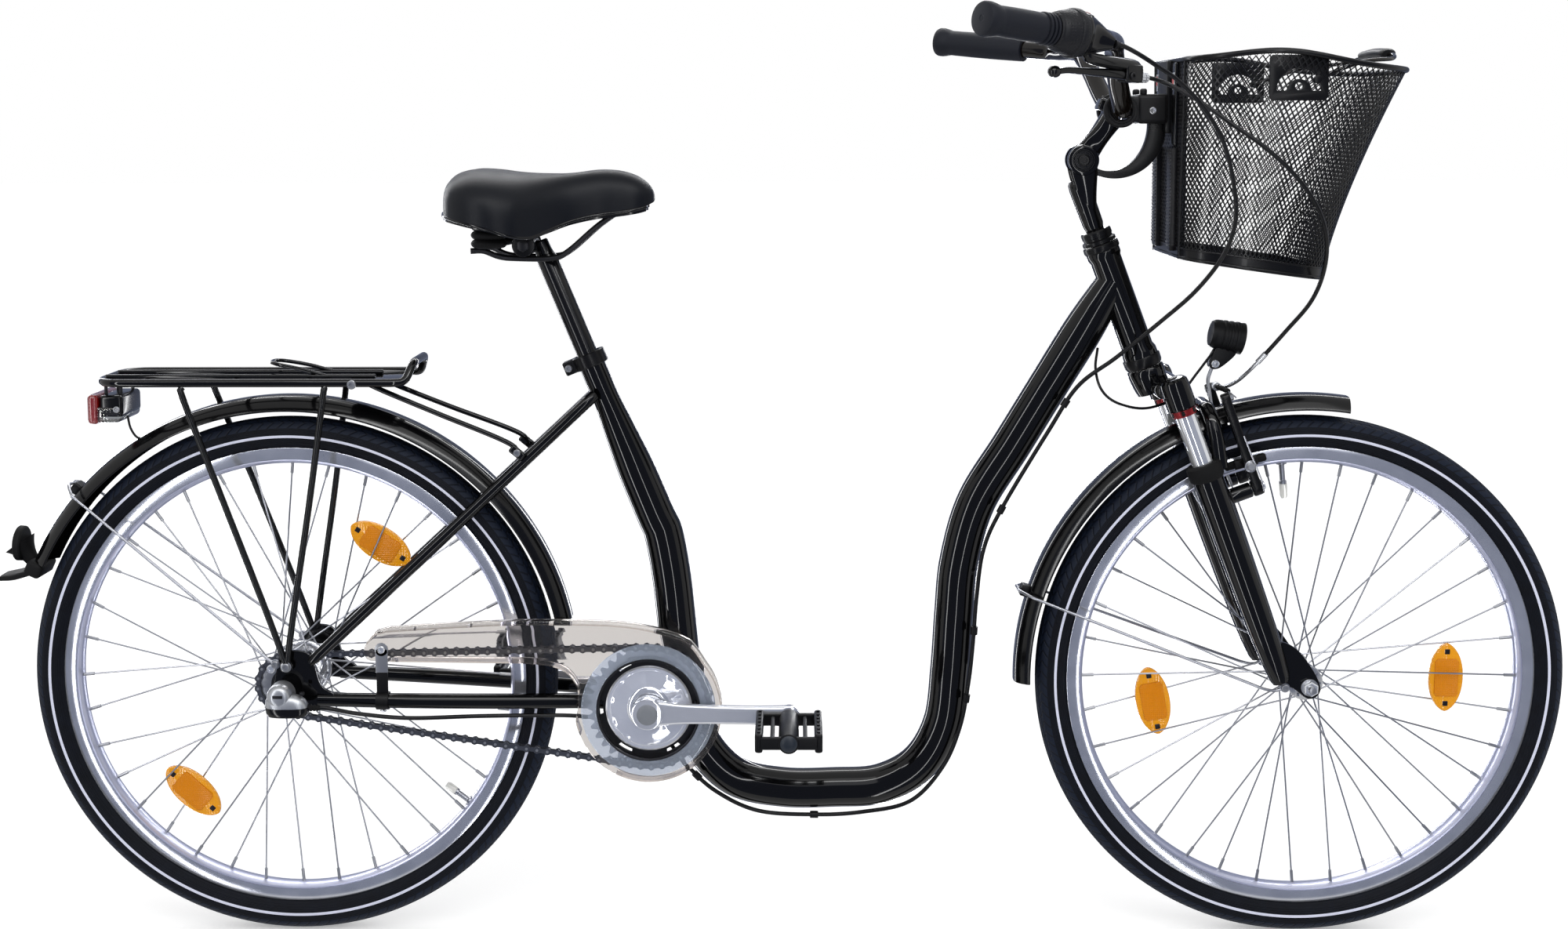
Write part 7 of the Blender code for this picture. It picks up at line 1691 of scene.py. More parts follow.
        piece.add(CHROME, screw_head(root + STEER_FORWARD * 6.2, STEER_FORWARD, 5.6, 3.6))
        piece.add(STAINLESS, sweep(smooth(spring, 4), 1, 10))
        piece.add(ZINC, hex_nut(tip, STEER_FORWARD, 4.8, 4), pin(tip, STEER_FORWARD, -11, 0, 2.8, 14))
        piece.build(side + "_brake", "black_alloy", "brake_arm_" + side)

    def brake_wire(self) -> None:
        """Cradle on the left arm round the noodle's end, and the wire in its ribbed boot to the right arm."""
        end = spot(1135.2, 26.8, 676.4)
        ahead, high = self.brake_forward + 10.2, self.brake_up + 115
        ring = [(3.2, 0), (4.6, 0), (5.2, 1), (5.2, 11), (3.2, 11)]
        rows = smooth([end, steer(ahead, 0, high + 1), steer(ahead, -44, high), steer(ahead, -54, high - 1)], 1.5)
        boot = rows[2:28]
        ribs = 1 + 0.14 * np.sign(np.sin(np.linspace(0, 16 * TAU, len(boot))))
        Shape("brake_wire_and_boot").add(CAST_SILVER, revolve(ring, end - SIDE * 0.5, SIDE, 28, closed=True)).add(
            STAINLESS, sweep(rows, 0.8, 8)).add(RUBBER, sweep(np.column_stack([boot, ribs]), 3)).build("left_brake",
                                                                                                       "steel")

    def headlamp(self) -> None:
        """Ribbed drum with a clear lens and bright bowl, two ears, a screw and the bent bracket."""
        t = np.linspace(0, 1, 60)
        ribs = 17.6 + 1.8 * t + 0.35 * np.sign(np.sin(t * TAU * 4)) * (t > 0.2)
        drum = [(0, -20.5), (10, -20.3), (15, -19), (17, -16), *np.stack([ribs, 30 * t - 13], axis=-1), (19.4, 18),
                (19.4, 20), (18.2, 20.5), (17.2, 20.2), (17, 12), (0, 12)]
        bowl = [(16.8, 18), (14, 15), (8, 13), (0, 12.6), (0, 12.2), (16.8, 12.2)]
        glass = [(0, 20.2), (12, 20), (16.8, 19), (16.8, 17.8), (0, 18.2)]
        piece = Shape("headlamp_drum")
        for finish, profile in ((ABS_BLACK, drum), (CHROME, bowl), (CLEAR_LENS, glass)):
            piece.add(finish, revolve(profile, LAMP_CENTRE, around(0, -11, 1), 56))
        ear = rounded([(-7, 3), (-5, -5.5), (5, -5.5), (20, 6), (26, 14), (27, 24), (8, 26), (-1, 14)], 2)
        for out in (-SIDE, SIDE):
            piece.add(ABS_BLACK, plate(ear, 3.8, LAMP_PIVOT + out * 6.5, edge=0.7))
            piece.add(CHROME, screw_head(LAMP_PIVOT + out * 8.4, out, 5, 3.2))
        piece.build("headlamp_body", "black_plastic", "headlamp")
        rows = [steer(ahead, 0, up) for ahead, up in ((60.5, 354.6), (63.6, 370), (66, 384), (79.9, 400.6))]
        edge = [(-1, -0.5), (-0.8, -0.62), (0.8, -0.62), (1, -0.5), (1, 0.5), (0.8, 0.62), (-0.8, 0.62), (-1, 0.5)]
        Shape("headlamp_bracket_bent").add(
            ZINC, sweep(bent(rows, 6), 3.6, section=np.array(edge) * (0.45, 1.6), hint=SIDE),
            pin(LAMP_PIVOT, SIDE, -11.5, 11.5, 2.9, 18), pin(LAMP_PIVOT, SIDE, -4, 4, 6.6, 28)).build(
            "fork_slider", "steel", "headlamp_bracket")

    def build(self) -> None:
        """Make the fork and what it carries."""
        self.crown()
        self.lower()
        for side, sign in RIGHT_AND_LEFT:
            self.stanchion(side, sign)
            self.brake_arm(side, sign)
        self.brake_wire()
        self.headlamp()


# Cockpit


@dataclass
class Cockpit:
    """Quill and stem arm, handlebar, grips, shifter, brake lever and basket holder."""

    bar_radius: float = 12.7
    bar_end: float = 11.1
    grip_radius: float = 16.3
    right_grip: float = 97.0
    left_grip: float = 130.0
    tongue_half: float = 9.5
    cheek_outer: float = 17.3
    pivot_radius: float = 18.5
    clamp_radius: float = 19.0
    clamp_half: float = 19.5

    def quill(self) -> None:
        """Round quill that ends in two cheeks with stepped round faces and a socket bolt."""
        inner, outer, r = self.tongue_half + 0.4, self.cheek_outer, self.pivot_radius
        tube = [(0, 515), (11.1, 515), (11.1, 605), (12.6, 610), (13, 630), (13.4, 655), (12.5, 664), (9.5, 668),
                (0, 669)]
        face = [(0, inner), (r, inner), (r, 15), (17.8, 16.5), (16, outer), (14, outer), (13.4, 16.6), (11.8, 16.6),
                (11.2, outer), (0, outer)]
        t = np.linspace(0, 1, 14)[:, None]
        piece = Shape("stem_quill_forged").add(ENAMEL, steered(tube))
        for sign in (-1, 1):
            out = SIDE * sign
            middle = steer(0, sign * 6.8, 628) * (1 - t) + (STEM_PIVOT + out * 13.1) * t
            cheek = np.hstack([middle, 10.5 + 6.8 * ease(t), 5.6 - 1.9 * ease(t)])
            piece.add(ENAMEL, revolve(face, STEM_PIVOT, out, 56), loft(cheek, oval(32), STEER_FORWARD, SIDE))
            piece.add(SATIN_BLACK, screw_head(STEM_PIVOT + out * (outer - 0.4), out, 7, 3.4))
        piece.build("quill", "black_paint", "stem_quill")

    def stem_arm(self) -> None:
        """Arm with an oval waist: its half width runs from the tongue's to the clamp's as a smooth step."""
        span = BAR_CLAMP - STEM_PIVOT
        t = np.linspace(0.12, 0.9, 25)[:, None]
        tall = 16.5 - 4 * np.sin(math.pi * t) ** 0.8
        wide = self.tongue_half - 0.3 + 7.8 * ease(np.clip((t - 0.3) / 0.45, 0, 1))
        waist = np.hstack([STEM_PIVOT + span * t, tall, wide])
        r, half = self.clamp_radius, self.clamp_half
        ring = doubled([(13.1, -half), (r - 1.6, -half), (r - 0.4, 0.4 - half), (r, 1.6 - half)], shared=False)
        back, up = unit(spot(-0.93, 0, 0.36)), unit(spot(0.36, 0, 0.93))
        ear = BAR_CLAMP + back * 19.5
        Shape("stem_arm_forged").add(
            ENAMEL, loft(waist, oval(40, power=0.75), np.cross(SIDE, unit(span)), SIDE),
            pin(STEM_PIVOT, SIDE, -self.tongue_half, self.tongue_half, 17.8, 48),
            revolve(ring, BAR_CLAMP, SIDE, 64, closed=True), block(ear, (11, 30, 15), 3.2, (back, SIDE, up))).add(
            SATIN_BLACK, screw_head(ear + up * 7.2, up, 4.2, 2.8)).build("stem", "black_paint", "stem_arm")

    def handlebar(self) -> None:
        """One tube: straight in the clamp, up each side, then back to the grips, slimmer towards its ends."""
        slim = self.bar_end / self.bar_radius
        half = [(1003.5, 0, 1014.3, 1), (1003.5, 20, 1014.3, 1), (1003.5, 33, 1014.4, 1), (1001.7, 48, 1018, 0.98),
                (994.5, 68, 1036, 0.94), (986.5, 90, 1060, 0.9), (980, 115, 1079, slim), (974, 150, 1088.5, slim),
                (959, 188, 1090.5, slim)]
        half += [(*(grip_point(distance) * (1, -1, 1)), slim) for distance in (168, 150, 80, 2.5)]
        Shape("handlebar_bent").add(
            BAR_BLACK, sweep(smooth(doubled(on_side(half[::-1], -1)), 5), self.bar_radius, 32)).build(
            "stem", "black_alloy", "handlebar")

    def grip(self, side: str, length: float) -> None:
        """Soft grip: rounded end flange, slight barrel, and three rings before the shifter on the right.

        Args:
            side: right or left.
            length: its length along the bar.
        """
        r = self.grip_radius
        t = np.linspace(0, 1, 25)
        barrel = np.stack([r + 0.4 * np.sin(math.pi * t), -21.5 - (length - 38.5) * t], axis=-1)
        rows = [(0, 0), (3, -0.4), (3.6, 0), (15, 0), (17.6, -0.8), (18.7, -3), (18.9, -8.5), (18, -14), (16.8, -19),
                *barrel]
        if side == "right":
            for base in (16 - length, 10.7 - length, 5.4 - length):
                rows += [(r - 0.8, base), (r - 0.8, base - 0.9), (r + 1.2, base - 1.4), (r + 1.4, base - 4),
                         (r + 0.6, base - 4.6)]
        rows += [(r - 0.4, 0.5 - length), (r - 1, -length), (11.2, -length), (0, 1 - length)]
        points, faces = revolve(rows, GRIP_END, -GRIP_IN, 56)
        Shape(f"grip_{side}_moulded").add(GRIP_RUBBER, (on_side(points, 1 if side == "right" else -1), faces)).build(
            "stem", "rubber", "grip_" + side)

    def shifter(self) -> None:
        """Dimpled twist grip, and the fixed housing whose hood narrows along the bar to the cable."""
        bore = 11.5
        twist = [(bore, 0), (17.8, 0), (19, -0.8), (19.6, -3), (20.3, -3.6), (22.2, -9), (24, -16.5), (25.2, -22.5),
                 (25.2, -23.4), (26.2, -24), (27, -26.2), (27, -31.8), (26.2, -33.8), (bore, -34)]
        Shape("twist_grip_dimpled").add(
            DIMPLED, revolve(twist, grip_point(97.3), -GRIP_IN, 72, closed=True)).build("twist", "rubber",
                                                                                        "twist_grip")
        rows = [(131.8, 0, 0.98), (133, 0.4, 1.04), (140, 2, 1.03), (147, 5, 0.9), (154, 10, 0.7), (160, 16, 0.5),
                (165, 21.5, 0.33), (167.2, 24, 0.26)]
        hood = smooth([(*(grip_point(distance) + HOOD_OUT * offset), share) for distance, offset, share in rows], 2)
        up = unit(spot(0.1, -0.35, 0.93))
        axes = (GRIP_IN, unit(np.cross(up, GRIP_IN)), up)
        face, tail = grip_point(140.5), grip_point(166.5) + HOOD_OUT * 24.3
        Shape("shifter_hood").add(GLOSS_ABS, sweep(hood, 23.8, 48, hint=HOOD_OUT)).add(
            ORANGE_MARK, block(face + up * 24.6, (11, 6, 2.2), 1, axes)).add(
            GLOSS_ABS, block(face + up * 23.7, (12, 17, 2.4), 1.1, axes)).add(
            ABS_BLACK, rod(tail, tail + GRIP_IN * 7, 4.8, 24, 0.8, 3.6)).build("stem", "black_plastic",
                                                                               "shifter_housing")

    def brake(self) -> None:
        """Clamp band, neck and open-fronted body with a knurled adjuster, and the curved blade with its ball."""
        axes = (LEVER_ALONG, LEVER_AXIS, LEVER_UP)
        band = [(11.3, 0), (16, 0), (17, -1), (17, -11), (16, -12), (11.3, -12)]
        below = unit(GRIP_IN * GRIP_IN[2] - UP)
        neck = [(*(grip_point(153.9) + below * 12), 1.15), (*(grip_point(156) + below * 23), 1),
                (*lever(-8, 11), 1.2),
                (*lever(-12, 4), 1.2)]
        piece = Shape("brake_bracket_cast")
        piece.add(LEVER_BLACK, revolve(band, grip_point(147.9), -GRIP_IN, closed=True),
                  sweep(smooth(neck, 3), 6.6, 24),
                  block(lever(-13, 2.5), (13, 18, 19), 5, axes, 6))
        for out in (-LEVER_AXIS, LEVER_AXIS):
            piece.add(LEVER_BLACK, block(lever(-4.5, 3) + out * 7, (25, 4.2, 19.5), 2, axes))
            piece.add(DARK_STEEL, screw_head(LEVER_PIVOT + out * 8.8, out, 4, 2.4))
        piece.add(ZINC, pin(LEVER_PIVOT, LEVER_AXIS, -8.5, 8.5, 2.4, 16))
        knurled = oval(48) * np.where(np.arange(48) % 4 < 2, 1, 0.9)[:, None]
        adjuster = [(0, 0.62), (1.4, 0.62), (1.6, 0.98), (7, 1), (7.2, 0.74), (8.4, 0.74), (8.6, 0.92), (12.8, 0.9),
                    (13.6, 0.7)]
        path = np.array([(*lever(-18.5 - distance, 0), share) for distance, share in adjuster])
        piece.add(POLISHED_ALLOY, sweep(path, 6.1, section=knurled, hint=LEVER_AXIS)).build(
            "stem", "black_alloy", "brake_bracket")
        length = float(np.linalg.norm(LEVER_TIP - LEVER_PIVOT))
        rows = [(-4.5, 0.5, 0.62), (-3, 0.4, 0.95), (4, 0.4, 1.1), (20, 0.8, 1.12), (45, 0.8, 1), (70, 0.4, 0.84),
                (90, 0, 0.76), (length - 4, -2.4, 0.72)]
        blade = smooth([(*lever(along, rise), share) for along, rise, share in rows], 3)
        Shape("brake_lever_forged").add(
            LEVER_BLACK, sweep(blade, 5.8, section=oval(28, 1, 0.8, 0.7), hint=LEVER_UP),
            block(LEVER_TIP - LEVER_UP * 3, (15, 12.8, 12.8), 6.3, axes, 7)).build("lever", "black_alloy",
                                                                                   "brake_lever")

    def holder(self) -> None:
        """Moulded holder: two ribbed rings on the bar, a block, the plate and the crescent arm below."""
        ring = [(13, 20.2), (19.2, 20.2), (20.5, 21.2), (20.5, 25), (19.8, 25.4), (20.5, 25.8), (20.5, 29),
                (19, 30.6),
                (16, 30.6), (15.5, 29.8), (13, 29.8)]
        piece = Shape("basket_holder_moulded")
        piece.add(ABS_BLACK, block(spot(1040.5, 0, 1016), (37, 62.4, 35), 5),
                  block(spot(1060.95, 0, 1030), (7.3, 56, 86), 2.5))
        for sign in (-1, 1):
            piece.add(ABS_BLACK, revolve(ring, BAR_CLAMP, SIDE * sign, 64, closed=True),
                      block(spot(1024, sign * 25.3, 1015.5), (20, 9.6, 30), 3),
                      block(spot(1030, sign * 25, 1036), (8, 8, 8), 2.5))
            piece.add(CHROME, screw_head(spot(1040.5, sign * 30.9, 1014), SIDE * sign, 4.2, 2.4))
        crescent = np.vstack([arc((1001, 993), 60, 14, -116, 44),
                              arc((0, 0), 1, -116, 16, 44) * (45, 55.5) + (995, 997.5)])
        piece.add(SATIN_BLACK, plate(crescent, 12, spot(0, 0, 0), edge=1.2)).build(
            "stem", "black_plastic", "basket_holder")

    def build(self) -> None:
        """Make everything above the headset."""
        self.quill()
        self.stem_arm()
        self.handlebar()
        self.grip("right", self.right_grip)
        self.grip("left", self.left_grip)
        self.shifter()
        self.brake()
        self.holder()


# Basket


BASKET_TOP = [(1065.5, 0), (1065.5, 50), (1068, 100), (1086, 127), (1130, 148), (1200, 155), (1264, 147), (1303, 122),
              (1320, 83), (1324.5, 0)]
BASKET_LOW = [(1064, 0), (1064, 45), (1066.5, 85), (1080, 106), (1112, 118), (1158, 121.5), (1199, 115), (1224, 95),
              (1234.5, 60), (1238, 0)]


@dataclass
class Basket:
    """Basket of diamond mesh with its rim, base band, back runners, bail plates and folded bail."""

    columns: int = 132
    rows: int = 52
    sheet: float = 1.0
    open_share: float = 0.765
    around_table: Array = field(init=False)

    def __post_init__(self) -> None:
        """Lay out the rim by even distance: a table of curve number against share of its length."""
        number = np.linspace(0, 18, 1441)
        gone = travelled(self.loop(BASKET_TOP, number))
        self.around_table = np.stack([gone / gone[-1], number])

    def loop(self, half: list, number: Array) -> Array:
        """Closed smooth outline: the cubic of the four nearest points, mirrored to the other side.

        Args:
            half: corners of the left half, from back to front.
            number: corners passed on the way.

        Returns:
            Rows of X and Y.
        """
        rows = doubled(half)[:-1]
        first = np.floor(number).astype(int)
        return cubic(*(rows[(first + k) % len(rows)] for k in (-1, 0, 1, 2)), (number - first)[..., None])

    def wall(self, u: Array, v: Array) -> Array:
        """Place on the wall: low outline plus v to the power 1.32 times the step out to the rim, v times the rise.

        Args:
            u: share of the way round.
            v: zero at the floor and one at the rim.

        Returns:
            Places, with the same shape and three more numbers.
        """
        number = np.interp(np.mod(u, 1), *self.around_table)
        low, top = self.loop(BASKET_LOW, number), self.loop(BASKET_TOP, number)
        floor = 842 - 0.145 * (low[..., 0] - 1064)
        rim = 1070 + 14 * np.exp(-(((top[..., 0] - 1165) / 75) ** 2)) - 0.045 * (top[..., 0] - 1066)
        flat = low + (top - low) * (np.clip(v, 0, 1) ** 1.32)[..., None]
        return np.concatenate([flat, (floor + (rim - floor) * v)[..., None]], axis=-1)

    def skin(self, u: Array, v: Array) -> tuple[Array, Array]:
        """Places just outside and just inside the wall, half a sheet along its normal.

        Args:
            u: share of the way round.
            v: height as in wall.

        Returns:
            Both places.
        """
        here = self.wall(u, v)
        normal = unit(np.cross(self.wall(u + 0.0005, v) - here, self.wall(u, v + 0.002) - here))
        return here + normal * self.sheet / 2, here - normal * self.sheet / 2

    def floor(self, x: Array, y: Array) -> tuple[Array, Array]:
        """Places on top of and under the sloping floor."""
        here = places(x, y, 844 - 0.145 * (x - 1064))
        return here + UP * self.sheet / 2, here - UP * self.sheet / 2

    def lattice(self, centre: tuple[Array, Array], half: tuple[float, float], skin: Any) -> Surface:
        """Diamond cells: each is a ring of four quads in front, four behind and four round its opening.

        Args:
            centre: the two numbers of each cell's middle.
            half: half of a cell along each of them.
            skin: turns two numbers into a place on each face of the sheet.

        Returns:
            Points and faces.
        """
        corners = np.array([(1, 0), (0, 1), (-1, 0), (0, -1)]) * half
        reach = np.concatenate([corners, corners * self.open_share])
        points = np.concatenate(skin(centre[0][:, None] + reach[:, 0], centre[1][:, None] + reach[:, 1]), axis=1)
        index = np.arange(len(points) * 16).reshape(-1, 4, 4)
        outer, inner, back_outer, back_inner = index.transpose(1, 0, 2)
        next_outer, next_inner, next_back_outer, next_back_inner = np.roll(index, -1, axis=2).transpose(1, 0, 2)
        front = (outer, next_outer, next_inner, inner)
        behind = (back_outer, back_inner, next_back_inner, next_back_outer)
        opening = (inner, next_inner, next_back_inner, back_inner)
        return points.reshape(-1, 3), [np.stack(part, axis=-1).reshape(-1, 4) for part in (front, behind, opening)]

    def mesh_wall(self) -> None:
        """Staggered diamonds round the wall, between the rim and the base band."""
        j, i = np.meshgrid(np.arange(1, self.rows), np.arange(self.columns), indexing="ij")
        middle = ((i + 0.5 * (j % 2)).ravel() / self.columns, j.ravel() / self.rows)
        Shape("basket_mesh").add(MESH_BLACK, self.lattice(middle, (0.5 / self.columns, 1 / self.rows),
                                                          self.skin)).build(
            "basket_body", "black_paint", "basket", sharp=60)

    def mesh_floor(self) -> None:
        """The same diamonds across the floor, kept inside the base band, and a strip round them."""
        i, j = np.meshgrid(np.arange(30), np.arange(-27, 28), indexing="ij")
        x, y = (1068 + 6.6 * (i + 0.5 * (j % 2))).ravel(), (4.3 * j).ravel()
        low = np.array(BASKET_LOW[1:])
        kept = (np.abs(y) < np.interp(x, low[:, 0], low[:, 1]) - 4) & (x < low[-1, 0] - 3)
        rim = self.wall(np.linspace(0, 1, 240, endpoint=False), np.zeros(240))
        inner = rim + unit((spot(1156, 0, 0) - rim) * (1, 1, 0)) * 10 + UP * 2
        strip = np.stack([rim + UP * 2.5, inner + UP * 0.6, inner - UP * 0.4, rim - UP * 0.4], axis=1)
        Shape("basket_floor_mesh").add(MESH_BLACK, self.lattice((x[kept], y[kept]), (3.3, 4.3), self.floor),
                                       grid(strip, ring_rows=True)).build("basket_body", "black_paint", sharp=60)

    def frame(self) -> None:
        """Rim and base wires, the pressed band above the base, corner wires, runners and bail plates."""
        u = np.linspace(0, 1, 240, endpoint=False)
        piece = Shape("basket_frame")
        for v, radius in ((1, 3.3), (0.008, 2.2), (0.055, 1.2)):
            piece.add(MESH_BLACK, sweep(self.wall(u, np.full(240, v)), radius, 12, hint=UP, closed=True))
        (outer, inner), (outer_top, inner_top) = (self.skin(u, np.full(240, v)) for v in (0, 0.052))
        piece.add(MESH_BLACK, grid(np.stack([outer, outer_top, inner_top, inner], axis=1), ring_rows=True))
        for share in (0.093, 0.907):
            piece.add(MESH_BLACK, sweep(self.wall(np.full(24, share), np.linspace(0, 1, 24)), 2.4, 12))
        back = [(33, 849.5), (54, 849.5), (60, 856), (60, 970), (33, 970)]
        ends = places(1057.6, 57, np.linspace(856, 966, 28))
        for sign in (-1, 1):
            piece.add(RIBBED, plate([(sign * y, z) for y, z in back][::sign], 8.8, ACROSS * 1062, SIDE, UP, edge=1.6),
                      bars(ends * (1, sign * 0.62, 1), ends * (1, sign, 1), 1.1))
            piece.add(GLOSS_ABS, block(spot(1066.5, sign * 44, 1021), (11, 26, 98), 2.5),
                      block(spot(1070, sign * 60.5, 955), (9, 8, 210), 2))
            piece.add(CAST_SILVER, block(spot(1060.6, sign * 50, 1048), (1.4, 10, 20), 0.5))
            piece.add(ORANGE_RED, block(spot(1059.8, sign * 50, 1050), (1, 7, 11), 0.3))
            self.bail_plate(piece, sign)
        piece.build("basket_body", "black_paint", sharp=40)

    def bail_plate(self, piece: Shape, sign: int) -> None:
        """Plate under the rim with an arched opening round its hub, and the bail's pivot.

        Args:
            piece: the piece that it joins.
            sign: minus one on the right, one on the left.
        """
        opening = np.vstack([arc((0, -15), 25, 0, 180, 24), arc((0, -15), 13.2, 180, 0, 16)])
        outline = [(-33, -22), (-30, -26), (30, -26), (33, -22), (33, 21.5), (30, 25), (-30, 25), (-33, 21.5)]
        piece.add(SATIN_BLACK, plate(outline, 3, spot(1181, sign * 149, 1050),
                                     holes=[opening, arc((0, -10), 4.2, 0, 340, 18)],
                                     edge=0.5), pin(spot(1201.7, 0, 1047.6), SIDE * sign, 146.2, 152.4, 4.6, 24))

    def bail(self) -> None:
        """Folded wire handle with its flattened plastic hand grip."""
        rows = doubled([(1201.7, 146.7, 1047.6), (1202.2, 140, 1047.8), (1216.7, 134, 1053.6), (1260, 123, 1068),
                        (1300, 96, 1072), (1311, 60, 1078), (1311, 0, 1079.5)])
        shares = ((-48, 0.7), (-47, 0.92), (-40, 1), (0, 1.1), (40, 1), (47, 0.92), (48, 0.7))
        hand = [(1311, y, 1079.5 + 1.2 * math.cos(y / 32), share) for y, share in shares]
        Shape("basket_bail_folded").add(BAR_BLACK, sweep(smooth(rows, 5), 2.4, 14, hint=UP)).add(
            ABS_BLACK, sweep(smooth(hand, 4), 8, section=oval(28, 1.2, 0.72), hint=UP)).build(
            "bail", "steel", "basket_bail")

    def build(self) -> None:
        """Make the basket."""
        self.mesh_wall()
        self.mesh_floor()
        self.frame()
        self.bail()


# Cables


def nearest(path: Array, place: Iterable) -> int:
    """Number of the path's row that lies nearest to a place."""
    return int(np.argmin(np.linalg.norm(path - np.asarray(place, dtype=float), axis=1)))


@dataclass
class Cables:
    """Brake and gear cables, the headlamp's lead, the noodle and the clips on the frame."""

    radius: float = 2.5
    lead_radius: float = 1.6

    def brake(self) -> None:
        """Brake cable in one sweep from the adjuster to the brake, with the bent metal noodle at its end."""
        rows = [lever(-29.6, 0), lever(-41, 0), (1038, -144, 1042), (1068, -157, 1024), (1100, -169, 1000),
                (1136, -176, 974), (1171, -175, 943), (1200, -165, 907), (1216, -150, 870), (1222, -120, 830),
                (1216, -90, 792), (1196, -60, 755), (1175, -38, 722), (1163, -24, 704), (1153, -10, 690),
                (1145, 6, 681),
                (1138.5, 19, 677.5), (1135.5, 26, 676.5)]
        path, r = smooth(rows, 4), self.radius
        cut = int(len(path) * 0.85)
        first, second = nearest(path, rows[7]), nearest(path, rows[10])
        Shape("brake_cable_smooth").add(CABLE, sweep(path[: first + 1], r, 14)).build(
            "stem", "black_plastic", "brake_cable", follow=("quill", path[8], path[first - 2]))
        Shape("brake_cable_middle").add(CABLE, sweep(path[first : second + 1], r, 14)).build(
            "quill", "black_plastic", follow=("fork", path[first + 2], path[second - 2]))
        Shape("brake_cable_end").add(CABLE, sweep(path[second:cut], r, 14)).add(
            POLISHED_ALLOY, sweep(path[cut - 1 :], r * 0.92, 14), sweep(path[cut - 3 : cut + 2], r * 1.35, 14)).build(
            "fork", "black_plastic", follow=("fork_slider", path[second + 2], path[cut - 3]))

    def gear(self) -> None:
        """Gear cable to the rear axle's box, from the shifter down past the fork and along the frame."""
        tube, fork = (956, -33, 686), (1044, -80, 768)
        path = smooth([
            grip_point(165.6) + HOOD_OUT * 24.5, grip_point(177) + HOOD_OUT * 24.5, (990, -208, 1075),
            (1012, -201, 1062),
            (1038, -195, 1045), (1067, -189, 1016), (1091, -180, 979), (1104, -175, 936), (1110, -165, 892),
            (1102, -145, 851), (1078, -115, 808), fork, (999, -50, 723), tube, (922, -30.5, 632), (867, -30.5, 538),
            (845, -30, 487), (837, -28.5, 428), (833, -27.5, 370), (828, -27.5, 321), (818, -27, 265),
            (797, -24, 213),
            (758, -18, 168), (700, -12, 152), (640, -12, 148.5), (570, -15, 154.5), (518, -22, 182),
            (482, -27.5, 218),
            (456, -29, 252), (425, -28.5, 266.5), (385, -28, 274.5), (345, -29, 279), (300, -37, 282),
            (230, -50, 285),
            (150, -64, 287), (95, -80, 297), (60, -92, 307.5), (44.5, -93, 308.5)], 5)
        Shape("shift_cable_smooth").add(CABLE, sweep(path, self.radius, 14)).build(
            "frame", "black_plastic", "shift_cable", follow=("fork", tube, fork))
        spots = [(942, -31.8, 664), (866.7, -30.5, 537.5), (834.1, -27.7, 385), (825.5, -27.5, 300),
                 (641.1, -12, 148.6),
                 (495, -25.5, 205)]
        near = np.array([nearest(path, place) for place in spots])
        along, clip = unit(path[near + 1] - path[near - 1]), path[near]
        pad = clip + SIDE * 4
        Shape("cable_clips").add(ABS_BLACK, bars(clip - along * 5, clip + along * 5, 4.4, 12),
                                 bars(pad - along * 3.5, pad + along * 3.5, 3.2, 10)).build("frame", "black_plastic")

    def lamp_lead(self) -> None:
        """Thin twin lead that leaves the tube, hangs in a small loop and rises to the headlamp."""
        rows = [(982, -12, 729), (977, -30, 707), (981, -45, 685), (996, -50, 670), (1024, -45, 661),
                (1050, -35, 662),
                (1078, -27, 674), (1102, -16, 700), (1120, -6, 720), (1133, -1, 730)]
        path = smooth(rows, 4)
        turn = nearest(path, rows[5])
        Shape("headlamp_lead").add(CABLE, sweep(path[: turn + 1], self.lead_radius, 10)).build(
            "frame", "black_plastic", follow=("fork", (982, -46, 682), path[turn - 1]))
        Shape("headlamp_lead_end").add(CABLE, sweep(path[turn:], self.lead_radius, 10)).build(
            "fork", "black_plastic", follow=("fork_slider", path[turn + 1], (1120, -6, 720)))

    def build(self) -> None:
        """Make the cables."""
        self.brake()
        self.gear()
        self.lamp_lead()


# Studio


